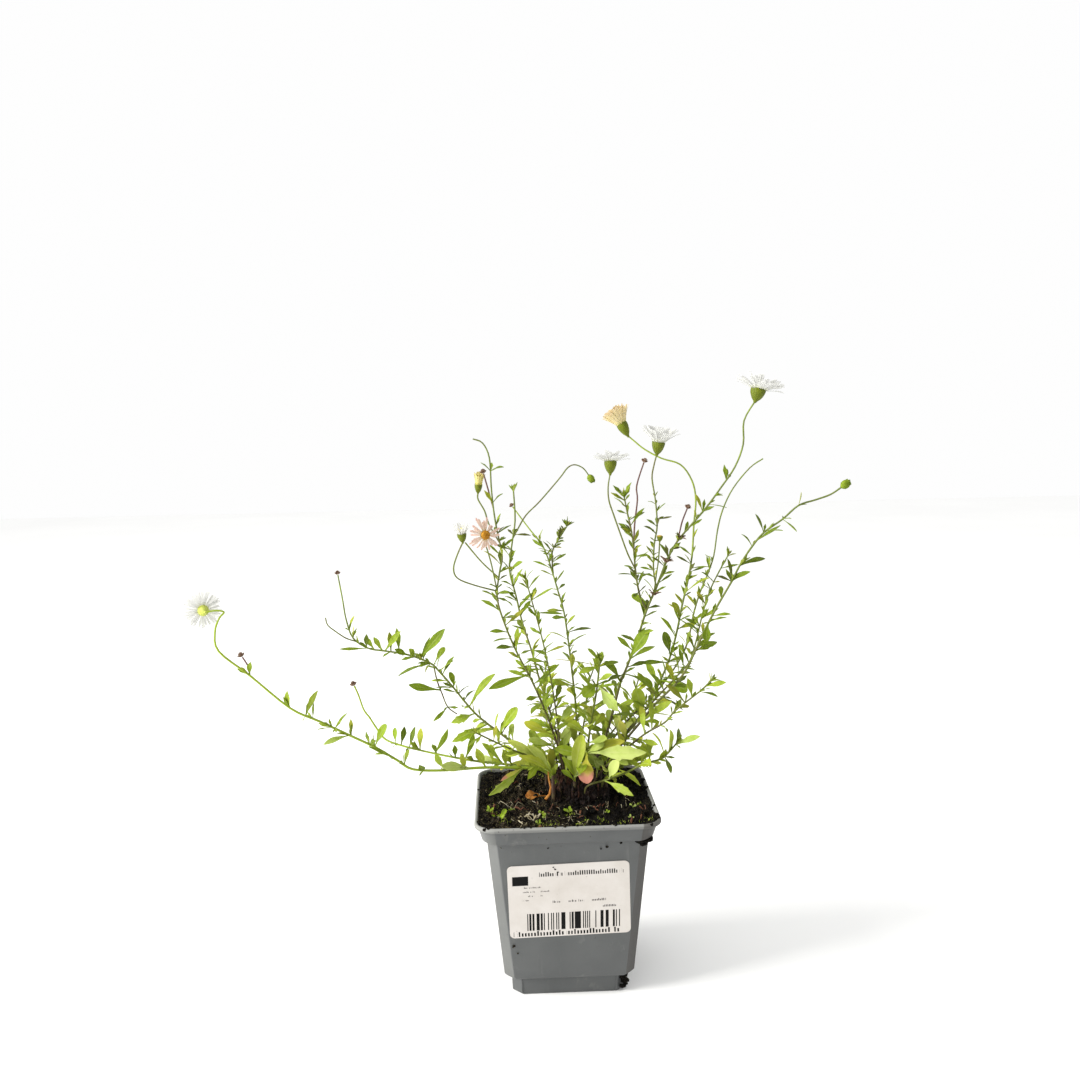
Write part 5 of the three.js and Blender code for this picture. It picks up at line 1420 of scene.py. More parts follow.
@dataclass(frozen=True)
class RaySkin:
    """Thin silky petal, tinted towards its root and its tip."""

    name: str
    body: str
    root: str
    tip: str
    stripe: str
    striped: float = 0.2
    through: float = 0.3

    def material(self) -> bpy.types.Material:
        """Returns the material."""
        shader = Shader(self.name, {"Specular IOR Level": 0.2})
        tone, along, across, ageing = shader.growth()
        silk = shader.noise(1500.0, 3.0, 0.6)
        base = shader.mix(along.fade(0.3, 0.0), linear(self.body), linear(self.root))
        tipped = shader.mix(along.fade(0.72, 1.0) * (0.5 + tone * 0.5), base, linear(self.tip))
        stripe = (1 - across.fade(0.1, 0.6)) * self.striped * (0.4 + tone) + ageing * 0.5 * along
        colour = shader.mix(stripe.clamped(), tipped, linear(self.stripe))
        grooves = ((across * 2.5).call("FRACT") - 0.5).call("ABSOLUTE")
        material = shader.done(colour, 0.5 + silk * 0.2, shader.bump(grooves + silk * 0.2, 0.06, 0.0001))
        shader.lit_through(self.through, linear(self.body))
        return material


@dataclass(frozen=True)
class Dry:
    """Dry plant matter: mottled, with fibres."""

    name: str
    dark: str
    mid: str
    pale: str
    scale: float = 420.0
    through: float = 0.0

    def material(self) -> bpy.types.Material:
        """Returns the material."""
        shader = Shader(self.name, {"Specular IOR Level": 0.3})
        mottle, fibre = shader.noise(self.scale, 5.0, 0.65), shader.noise(self.scale * 5, 3.0)
        shift = (mottle * 0.7 + fibre * 0.3).clamped()
        colour = shader.ramp(shift, (0.34, self.dark), (0.5, self.mid), (0.68, self.pale))
        normal = shader.bump(fibre + mottle, 0.7, 0.0005)
        material = shader.done(colour, 0.6 + fibre * 0.3, normal)
        if self.through:
            shader.lit_through(self.through, linear(self.mid))
        return material


@dataclass(frozen=True)
class PaleFloor:
    """A plain pale floor."""

    colour: str = "#fbfbfa"
    shade: str = "#f8f8f7"

    def material(self) -> bpy.types.Material:
        """Returns the material."""
        shader = Shader("pale_floor", {"Specular IOR Level": 0.2})
        cloud = shader.noise(3.0, 2.0)
        return shader.done(shader.ramp(cloud, (0.3, self.colour), (0.7, self.shade)), 0.8 + cloud * 0.1)


@dataclass(frozen=True)
class Finishes:
    """Every finish of the part, by name."""

    made: dict[str, bpy.types.Material] = field(default_factory=dict)

    def __getitem__(self, name: str) -> bpy.types.Material:
        """Returns a finish."""
        return self.made[name]

    @classmethod
    def mixed(cls) -> "Finishes":
        """Makes all the finishes."""
        recipes = {
            "pot": PotPlastic(),
            "label": LabelPaper(),
            "peat": Peat(),
            "leaf": LeafSkin("leaf_skin", "#3f4d05", "#6d8308", "#a6b83a", "#a9b666"),
            "leaf_back": LeafSkin("leaf_underside", "#62741a", "#8c9e34", "#b0bd60", "#b4be7a", 0.65, 0.3),
            "basal_back": LeafSkin("basal_underside", "#7d8f3a", "#9dad58", "#bcc880", "#c4cc98", 0.65, 0.3),
            "basal": LeafSkin("basal_skin", "#5e7a0a", "#8fa81c", "#b9c874", "#c2cc88"),
            "pale_cup": LeafSkin("pale_cup_skin", "#a3ad34", "#c0c958", "#dbe28c", "#dde08e", 0.5, 0.25, 0.25),
            "cup": LeafSkin("cup_skin", "#3d4600", "#566100", "#727d04", "#6a740c", 0.4, 0.03, 0.25),
            "stalk": StalkSkin(),
            "white": RaySkin("white_ray", "#e9e9e7", "#dfe0c8", "#eaeae9", "#e0deda", 0.06, 0.6),
            "cream": RaySkin("cream_ray", "#e8ddb2", "#d8d290", "#e6d4ba", "#dcb8a0", 0.2, 0.45),
            "lemon": RaySkin("lemon_ray", "#e2da90", "#c8c65e", "#e6daa0", "#d8b090", 0.2, 0.4),
            "pink": RaySkin("pink_ray", "#e4d2c2", "#d6c692", "#deb8b0", "#c8948e", 0.35, 0.4),
            "disc": Dry("disc_florets", "#9c7a14", "#c9a22a", "#dfca5a", 900.0),
            "old_disc": Dry("old_florets", "#6a4206", "#a8700c", "#d0a42c", 900.0),
            "husk": Dry("dry_husk", "#40291f", "#7a5e4a", "#b9a188", 700.0, 0.15),
            "bark": Dry("crown_bark", "#060302", "#150b07", "#3a2417", 380.0),
            "flake": Dry("bark_flake", "#140a06", "#3a2014", "#6b432e", 600.0),
            "dead": Dry("dead_leaf", "#8a4a1c", "#c9843a", "#e0ad62", 360.0, 0.2),
            "moss": Dry("moss", "#6b7a1c", "#9fae35", "#cfd77a", 800.0, 0.2),
            "fibre": Dry("root_fibre", "#8a7a5a", "#c4b896", "#e9e3cf", 500.0, 0.1),
            "twig": Dry("wood_bit", "#2a1710", "#5a3422", "#8a5f40", 500.0),
            "floor": PaleFloor(),
        }
        return cls({name: recipe.material() for name, recipe in recipes.items()})


class EditMesh:
    """A mesh in edit mode, shaped with Blender's own operators."""

    def __init__(self, piece: Piece) -> None:
        """Takes the piece that is in edit mode."""
        self.piece = piece

    def pick(self, test: Callable[[Vector], bool]) -> "EditMesh":
        """Selects the vertices whose place passes a test."""
        mesh = bmesh.from_edit_mesh(self.piece.data)
        bpy.ops.mesh.select_all(action="DESELECT")
        for vertex in mesh.verts:
            vertex.select_set(bool(test(vertex.co)))
        mesh.select_flush_mode()
        bmesh.update_edit_mesh(self.piece.data, loop_triangles=False, destructive=False)
        return self

    def pick_all(self) -> "EditMesh":
        """Selects everything."""
        bpy.ops.mesh.select_all(action="SELECT")
        return self

    def resize(self, x: float = 1.0, y: float = 1.0, z: float = 1.0, about: Point = (0, 0, 0)) -> "EditMesh":
        """Scales what is selected about a point."""
        bpy.ops.transform.resize(value=(x, y, z), center_override=about)
        return self

    def shift(self, x: float = 0.0, y: float = 0.0, z: float = 0.0) -> "EditMesh":
        """Moves what is selected."""
        bpy.ops.transform.translate(value=(x, y, z))
        return self

    def extrude(self, x: float = 0.0, y: float = 0.0, z: float = 0.0) -> "EditMesh":
        """Extrudes what is selected and moves it."""
        bpy.ops.mesh.extrude_region_move(TRANSFORM_OT_translate={"value": (x, y, z)})
        return self

    def place_ring(self, ring: Array) -> "EditMesh":
        """Sets the selected ring on given points, in order of their angle round the upright axis."""
        mesh = bmesh.from_edit_mesh(self.piece.data)
        chosen = sorted((v for v in mesh.verts if v.select), key=lambda v: math.atan2(v.co.y, v.co.x))
        for vertex, point in zip(chosen, sorted(ring.tolist(), key=lambda p: math.atan2(p[1], p[0]))):
            vertex.co = point
        bmesh.update_edit_mesh(self.piece.data, loop_triangles=False, destructive=False)
        return self

    def close(self) -> "EditMesh":
        """Merges doubles and points every face outwards."""
        self.pick_all()
        bpy.ops.mesh.remove_doubles(threshold=1e-7)
        bpy.ops.mesh.normals_make_consistent(inside=False)
        return self


class Bench:
    """The work bench: pieces are started, copied, joined and finished here."""

    @staticmethod
    def take(*pieces: Piece) -> None:
        """Selects only these pieces, and makes the first one active."""
        bpy.ops.object.select_all(action="DESELECT")
        for piece in pieces:
            piece.select_set(True)
        bpy.context.view_layer.objects.active = pieces[0]

    @staticmethod
    def start(kind: str, name: str, **sizes: float) -> Piece:
        """Adds a primitive of a kind, such as grid or cube, with its sizes."""
        bpy.ops.object.select_all(action="DESELECT")
        getattr(bpy.ops.mesh, f"primitive_{kind}_add")(**sizes)
        piece = bpy.context.active_object
        piece.name = piece.data.name = name
        return piece

    @staticmethod
    @contextmanager
    def editing(piece: Piece) -> Iterator[EditMesh]:
        """Opens a piece in edit mode with nothing selected."""
        Bench.take(piece)
        bpy.ops.object.mode_set(mode="EDIT")
        bpy.context.tool_settings.mesh_select_mode = (True, False, False)
        bpy.ops.mesh.select_all(action="DESELECT")
        yield EditMesh(piece)
        bpy.ops.object.mode_set(mode="OBJECT")

    @staticmethod
    def modify(piece: Piece, kind: str, **settings: float | bool | str) -> Piece:
        """Adds a modifier and applies it."""
        Bench.take(piece)
        modifier = piece.modifiers.new(kind.lower(), kind)
        for key, value in settings.items():
            setattr(modifier, key, value)
        bpy.ops.object.modifier_apply(modifier=modifier.name)
        return piece

    @staticmethod
    def points(piece: Piece) -> Array:
        """Returns a piece's vertices."""
        flat = np.empty(len(piece.data.vertices) * 3)
        piece.data.vertices.foreach_get("co", flat)
        return flat.reshape(-1, 3)

    @staticmethod
    def set_points(piece: Piece, points: Array) -> None:
        """Moves a piece's vertices."""
        piece.data.vertices.foreach_set("co", points.ravel())
        piece.data.update()

    @staticmethod
    def mark(piece: Piece, tone: float, along: Array, across: Array, ageing: float) -> None:
        """Writes the growth of each vertex: its tone, share along, share across and ageing."""
        layer = piece.data.attributes.get(GROWTH)
        layer = layer or piece.data.attributes.new(GROWTH, "FLOAT_COLOR", "POINT")
        count = len(piece.data.vertices)
        rows = np.stack([np.full(count, tone), along, across, np.full(count, ageing)], axis=1)
        layer.data.foreach_set("color", rows.ravel().astype(np.float32))

    @staticmethod
    def retone(piece: Piece, tone: float, ageing: float) -> None:
        """Changes a copy's tone and ageing."""
        layer = piece.data.attributes[GROWTH]
        rows = np.empty(len(piece.data.vertices) * 4, np.float32)
        layer.data.foreach_get("color", rows)
        rows = rows.reshape(-1, 4)
        rows[:, 0], rows[:, 3] = tone, ageing
        layer.data.foreach_set("color", rows.ravel())

    @staticmethod
    def copy(master: Piece, points: Array, tone: float = 0.5, ageing: float = 0.0) -> Piece:
        """Copies a piece with its own mesh, and puts its vertices at given points."""
        twin = master.copy()
        twin.data = master.data.copy()
        bpy.context.scene.collection.objects.link(twin)
        Bench.set_points(twin, points)
        if GROWTH in twin.data.attributes:
            Bench.retone(twin, tone, ageing)
        return twin

    @staticmethod
    def join(pieces: list[Piece], name: str) -> Piece:
        """Joins pieces into one."""
        Bench.take(*pieces)
        if len(pieces) > 1:
            bpy.ops.object.join()
        joined = bpy.context.view_layer.objects.active
        joined.name = joined.data.name = name
        return joined

    @staticmethod
    def drop(*pieces: Piece) -> None:
        """Removes pieces that were only patterns for copies."""
        for piece in pieces:
            bpy.data.objects.remove(piece)

    @staticmethod
    def smooth(piece: Piece, degrees: float = 40.0) -> Piece:
        """Shades a piece smooth, with edges where it turns more than an angle."""
        Bench.take(piece)
        bpy.ops.object.shade_smooth_by_angle(angle=math.radians(degrees))
        return piece

    @staticmethod
    def paint(piece: Piece, *materials: bpy.types.Material) -> Piece:
        """Puts a material in each of a piece's slots."""
        piece.data.materials.clear()
        for material in materials:
            piece.data.materials.append(material)
        return piece

    @staticmethod
    def tube(name: str, points: Array, radii: Array, rounds: int = 1) -> Piece:
        """Draws a round tube along points in millimetres and makes it a mesh."""
        bpy.ops.object.select_all(action="DESELECT")
        bpy.ops.curve.primitive_nurbs_path_add()
        drawn = bpy.context.active_object
        drawn.name = drawn.data.name = name
        drawn.data.splines.clear()
        spline = drawn.data.splines.new("POLY")
        spline.points.add(len(points) - 1)
        for knot, place, radius in zip(spline.points, points, radii):
            knot.co = (*(place * MM), 1.0)
            knot.radius = radius
        drawn.data.bevel_depth = MM
        drawn.data.bevel_resolution = rounds
        drawn.data.use_fill_caps = True
        bpy.ops.object.convert(target="MESH")
        piece = bpy.context.active_object
        with Bench.editing(piece) as edit:
            edit.close()
        return piece


@dataclass
class Patterns:
    """The master blades that every leaf, ray and bract is copied from: unit long and unit wide.

    ROWS gives each blade's cells across, and its rows as shares of its length and of its width.
    """

    finishes: Finishes
    blades: dict[str, Piece] = field(default_factory=dict)

    FOLD = 0.42
    ROWS = {
        "narrow": (2, ((0, 0.14), (0.24, 0.26), (0.46, 0.76), (0.66, 1), (0.86, 0.58), (1, 0.04))),
        "small": (2, ((0, 0.2), (0.3, 0.5), (0.65, 1), (1, 0.04))),
        "long": (2, (
            (0, 0.2), (0.18, 0.22), (0.36, 0.52), (0.56, 0.92), (0.7, 1), (0.84, 0.74), (0.94, 0.36), (1, 0.04),
        )),
        "spoon": (4, (
            (0, 0.16), (0.16, 0.14), (0.3, 0.2), (0.42, 0.42), (0.54, 0.74), (0.68, 0.96), (0.8, 1), (0.9, 0.84),
            (0.97, 0.5), (1, 0.16),
        )),
        "toothed": (4, (
            (0, 0.14), (0.16, 0.12), (0.28, 0.2), (0.38, 0.42), (0.47, 0.66), (0.55, 0.78), (0.62, 1), (0.66, 0.76),
            (0.74, 0.8), (0.8, 0.86), (0.84, 0.58), (0.92, 0.4), (1, 0.05),
        )),
        "ray": (2, ((0, 0.35), (0.25, 0.7), (0.6, 1), (0.9, 0.95), (1, 0.5))),
    }

    def cut(self, name: str) -> Piece:
        """Cuts one blade: a grid whose rows are drawn in to the outline, with its middle folded down."""
        across, rows = self.ROWS[name]
        along = len(rows) - 1
        blade = Bench.start("grid", f"pattern_{name}", x_subdivisions=across, y_subdivisions=along, size=1)
        across_share = np.abs(Bench.points(blade)[:, 0]) * 2
        with Bench.editing(blade) as edit:
            edit.pick_all().shift(y=0.5)
            for i, (_, wide) in enumerate(rows):
                edit.pick(lambda v, level=i / along: abs(v.y - level) < 0.01).resize(x=wide)
            for i in reversed(range(along + 1)):
                edit.pick(lambda v, level=i / along: abs(v.y - level) < 0.001).shift(y=rows[i][0] - i / along)
        points = Bench.points(blade)
        points[:, 2] = np.abs(points[:, 0]) * self.FOLD
        Bench.set_points(blade, points)
        Bench.mark(blade, 0.5, points[:, 1], across_share, 0.0)
        Bench.paint(blade, self.finishes["leaf"], self.finishes["leaf_back"])
        return blade

    def cut_all(self) -> None:
        """Cuts every blade."""
        self.blades = {name: self.cut(name) for name in self.ROWS}

    def sheet(self, name: str, leaves: list[Leaf], thick: float, small: bool = False) -> Piece:
        """Copies a blade for each leaf, joins the copies and gives them their thickness.

        Args:
            name: The sheet's name.
            leaves: The leaves.
            thick: The blades' thickness, in millimetres.
            small: Whether narrow leaves use the plainest blade.
        """
        copies = []
        for leaf in leaves:
            kind = "small" if small and leaf.outline is NARROW else leaf.outline.value
            master = self.blades[kind]
            copies.append(Bench.copy(master, leaf.shaped(Bench.points(master)), leaf.tone, leaf.ageing))
        sheet = Bench.join(copies, name)
        return Bench.modify(sheet, "SOLIDIFY", thickness=thick * MM, offset=0.0, material_offset=1)

    def fan(self, name: str, petals: list[Leaf], thick: float, finish: str) -> Piece:
        """Copies the ray blade for each petal and joins the copies in one finish."""
        master = self.blades["ray"]
        flat = Bench.points(master)
        copies = [Bench.copy(master, petal.shaped(flat), petal.tone, petal.ageing) for petal in petals]
        sheet = Bench.join(copies, name)
        Bench.modify(sheet, "SOLIDIFY", thickness=thick * MM, offset=0.0)
        return Bench.paint(sheet, self.finishes[finish])

    def clear(self) -> None:
        """Puts the patterns away."""
        Bench.drop(*self.blades.values())
        self.blades = {}


def cloud(points: Array, scale: float, seed: float = 0.0) -> Array:
    """Returns a cloudy number from about -1 to 1 for each point.

    Args:
        points: The points.
        scale: The pattern's scale, in 1 over the points' unit.
        seed: A shift that gives another pattern.
    """
    shift = Vector((seed, -seed, seed * 0.5))
    return np.array([noise.fractal(Vector(p) * scale + shift, 0.9, 2.0, 4) for p in points.tolist()])


def corner_ring(height: float, half: float, corner: float, roundness: float, steps: int) -> Array:
    """Returns a square ring with cut or rounded corners.

    Args:
        height: Its height.
        half: Half its width.
        corner: How far the corners are cut.
        roundness: 0 for a straight cut, and 1 for a round corner.
        steps: The number of edges in a corner.
    """
    rows = []
    for quarter in range(4):
        for i in range(steps + 1):
            share = i / steps
            arc = vec((math.cos(share * math.pi / 2), math.sin(share * math.pi / 2)))
            chord = vec((1 - share, share))
            x, y = half - corner + (chord + (arc - chord) * roundness) * corner
            turn = quarter * math.pi / 2
            rows.append((x * math.cos(turn) - y * math.sin(turn), x * math.sin(turn) + y * math.cos(turn), height))
    return np.array(rows)


@dataclass(frozen=True)
class Studio:
    """The camera, plain soft light and a pale floor.

    eye is the camera's place in millimetres, and turn, dip and roll are its angles in degrees.
    """

    finishes: Finishes
    eye: Point = (-27.0, -525.9, 281.2)
    turn: float = 1.89
    dip: float = 6.33
    roll: float = -1.10
    lens: float = 35.4
    fill: float = 0.99
    aim: Point = (0.0, 0.0, 0.13)
    floor_size: float = 8.0
    lamp_place: Point = (-1.5, -0.35, 0.75)
    lamp_width: float = 0.8
    lamp_power: float = 50.0
    lamp_colour: Point = (1.0, 0.99, 0.96)

    def set_camera(self) -> None:
        """Sets the camera at the photograph's viewing angle."""
        turn, dip, roll = (math.radians(angle) for angle in (self.turn, self.dip, self.roll))
        ahead = vec((math.sin(turn) * math.cos(dip), math.cos(turn) * math.cos(dip), -math.sin(dip)))
        right = vec((math.cos(turn), -math.sin(turn), 0))
        up = np.cross(right, ahead)
        pose = np.eye(4)
        pose[:3, 0] = right * math.cos(roll) + up * math.sin(roll)
        pose[:3, 1] = up * math.cos(roll) - right * math.sin(roll)
        pose[:3, 2] = -ahead
        pose[:3, 3] = vec(self.eye) * MM
        bpy.ops.object.camera_add()
        camera = bpy.context.active_object
        camera.name = "camera"
        camera.matrix_world = Matrix(pose.tolist())
        camera.data.lens = self.lens
        camera.data.clip_start = 0.01
        bpy.context.scene.camera = camera

    def set_light(self) -> None:
        """Sets an even fill and one broad soft lamp."""
        scene = bpy.context.scene
        scene.world = bpy.data.worlds.new("pale_room")
        scene.world.use_nodes = True
        background = scene.world.node_tree.nodes["Background"]
        background.inputs["Color"].default_value = (1, 1, 1, 1)
        background.inputs["Strength"].default_value = self.fill
        scene.view_settings.view_transform = "Standard"
        bpy.ops.object.light_add(type="AREA", location=self.lamp_place)
        lamp = bpy.context.active_object
        lamp.name = "key"
        lamp.data.size = self.lamp_width
        lamp.data.energy = self.lamp_power
        lamp.data.color = self.lamp_colour
        lamp.rotation_euler = (Vector(self.aim) - Vector(self.lamp_place)).to_track_quat("-Z", "Y").to_euler()

    def lay_floor(self) -> None:
        """Lays the floor, with its far edges turned down."""
        floor = Bench.start("grid", "floor", x_subdivisions=8, y_subdivisions=8, size=self.floor_size)
        with Bench.editing(floor) as edit:
            rim = self.floor_size / 2 - 0.01
            edit.pick(lambda v: max(abs(v.x), abs(v.y)) > rim).shift(z=-0.2)
        Bench.paint(floor, self.finishes["floor"])


@dataclass(frozen=True)
class Pot:
    """The square pot: foot, ledge, tapering body with cut corners, flared collar and thin light lip.

    Each row of outside and inside is a ring's height, half its width, how far its corners are cut, and how round they
    are. The rings run up the outside, over the lip and down the inside.
    """

    finishes: Finishes
    height: float = 91.6
    collar_height: float = 9.4
    body_top: float = 39.1
    body_bottom: float = 32.1
    foot_height: float = 9.6
    corner_steps: int = 6
    drain_radius: float = 4.0
    drain_offset: float = 19.0
    outside: tuple[Point, ...] = (
        (0.0, 27.8, 4.6, 0.0),
        (0.5, 28.3, 4.8, 0.0),
        (9.0, 28.6, 4.8, 0.0),
        (9.5, 29.3, 5.0, 0.15),
        (9.6, 31.0, 5.2, 0.3),
        (10.1, 31.8, 5.2, 0.2),
        (11.0, 32.2, 5.0, 0.0),
        (82.0, 39.1, 5.0, 0.0),
        (82.05, 40.9, 7.0, 0.5),
        (82.4, 41.3, 7.6, 0.7),
        (83.0, 41.5, 7.9, 0.8),
        (88.4, 43.0, 8.9, 1.0),
        (89.0, 43.4, 9.2, 1.0),
        (89.2, 44.4, 9.8, 1.0),
        (89.6, 44.9, 10.0, 1.0),
        (90.3, 45.0, 10.1, 1.0),
        (91.0, 44.9, 10.0, 1.0),
        (91.5, 44.5, 9.8, 1.0),
        (91.6, 43.9, 9.4, 1.0),
        (91.3, 43.5, 9.1, 1.0),
    )
    inside: tuple[Point, ...] = (
        (90.4, 43.3, 9.0, 1.0),
        (83.4, 40.0, 7.0, 0.5),
        (82.0, 38.0, 4.5, 0.0),
        (11.8, 31.0, 4.5, 0.0),
        (10.7, 27.4, 4.3, 0.0),
        (1.2, 27.2, 4.3, 0.0),
    )
    foot_ribs: Point = (-23.6, 23.0)
    crease: float = 22.0

    def half_at(self, z: float) -> float:
        """Returns half the body's width at a height."""
        share = (z - self.foot_height) / (self.height - self.collar_height - self.foot_height)
        return lerp(self.body_bottom, self.body_top, share)

    def shell(self) -> Piece:
        """Builds the shell: a ring that is extruded up the outside, over the lip and down the inside."""
        count = 4 * (self.corner_steps + 1)
        pot = Bench.start("circle", "nursery_pot", vertices=count, radius=self.outside[0][1] * MM, fill_type="NGON")
        with Bench.editing(pot) as edit:
            edit.pick_all()
            for i, (height, half, corner, roundness) in enumerate(self.outside + self.inside):
                if i:
                    edit.extrude(z=MM)
                edit.place_ring(corner_ring(height, half, corner, roundness, self.corner_steps) * MM)
            edit.close()
        for x in (-self.drain_offset, self.drain_offset):
            for y in (-self.drain_offset, self.drain_offset):
                cutter = Bench.start("cylinder", "drain_cutter", vertices=24, radius=self.drain_radius * MM, depth=0.01)
                Bench.set_points(cutter, Bench.points(cutter) + vec((x, y, 0)) * MM)
                Bench.modify(pot, "BOOLEAN", operation="DIFFERENCE", object=cutter, solver="EXACT")
                Bench.drop(cutter)
        return Bench.modify(pot, "BEVEL", width=0.3 * MM, segments=2, angle_limit=math.radians(self.crease))

    def rib(self, x: float) -> Piece:
        """Builds one of the small upright ribs on the foot's front."""
        rib = Bench.start("cube", "foot_rib", size=MM)
        with Bench.editing(rib) as edit:
            edit.pick_all().resize(0.7, 0.9, self.foot_height - 1.2)
            edit.shift(x * MM, -28.3 * MM, (self.foot_height / 2 + 0.1) * MM)
        return Bench.modify(rib, "BEVEL", width=0.25 * MM, segments=2)

    def build(self) -> Piece:
        """Builds and dresses the pot."""
        pot = Bench.join([self.shell(), *(self.rib(x) for x in self.foot_ribs)], "nursery_pot")
        Bench.smooth(Bench.paint(pot, self.finishes["pot"]), 35.0)
        return settle(pot, "pot", "pot")


def settle(piece: Piece, slot: str, *nodes: str) -> Piece:
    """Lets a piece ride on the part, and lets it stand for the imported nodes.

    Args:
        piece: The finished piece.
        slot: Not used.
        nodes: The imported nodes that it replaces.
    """
    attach(piece, "root")
    if nodes:
        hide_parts(*nodes)
    LOG.info("%s: %d faces", piece.name, len(piece.data.polygons))
    return piece


@dataclass(frozen=True)
class Label:
    """The paper label on the front wall, with round corners and one corner that lifts a little."""

    finishes: Finishes
    pot: Pot
    width: float = 58.8
    height: float = 38.0
    bottom: float = 33.0
    corner: float = 2.4
    tilt: float = 0.023
    thick: float = 0.3
    off_wall: float = 0.16
    cells: tuple[int, int] = (20, 12)

    def build(self) -> Piece:
        """Builds and dresses the label."""
        across, up = self.cells
        label = Bench.start("grid", "paper_label", x_subdivisions=across, y_subdivisions=up, size=1)
        with Bench.editing(label) as edit:
            edit.pick_all().resize(self.width * MM, self.height * MM)
            edge_x, edge_y = (self.width / 2 - 0.1) * MM, (self.height / 2 - 0.1) * MM
            edit.pick(lambda v: abs(v.x) > edge_x and abs(v.y) > edge_y)
            bpy.ops.mesh.bevel(offset=self.corner * MM, segments=6, affect="VERTICES")
        flat = Bench.points(label) / MM
        wall = self.pot.height - self.pot.collar_height - self.pot.foot_height
        lean = math.atan2(self.pot.body_top - self.pot.body_bottom, wall)
        middle = self.bottom + self.height / 2
        x = flat[:, 0] - self.tilt * flat[:, 1]
        y = flat[:, 1] + self.tilt * flat[:, 0]
        lift = 0.05 * cloud(flat, 0.09, 3.0) + 0.5 * np.clip((x - y) / 90 - 0.42, 0, 1)
        out = self.off_wall + np.clip(lift, 0, 1)
        front = -self.pot.half_at(middle) - y * math.sin(lean) - out * math.cos(lean)
        level = middle + y * math.cos(lean) - out * math.sin(lean)
        Bench.set_points(label, np.stack([x, front, level], axis=1) * MM)
        Bench.modify(label, "SOLIDIFY", thickness=self.thick * MM, offset=0.0)
        Bench.smooth(Bench.paint(label, self.finishes["label"]), 40.0)
        return settle(label, "label", "label")


@dataclass(frozen=True)
class Crumb:
    """A kind of loose bit that is strewn over the peat: how many, how large, how flat and how deep they lie."""

    count: int
    small: float
    large: float
    squash: float
    sink: float


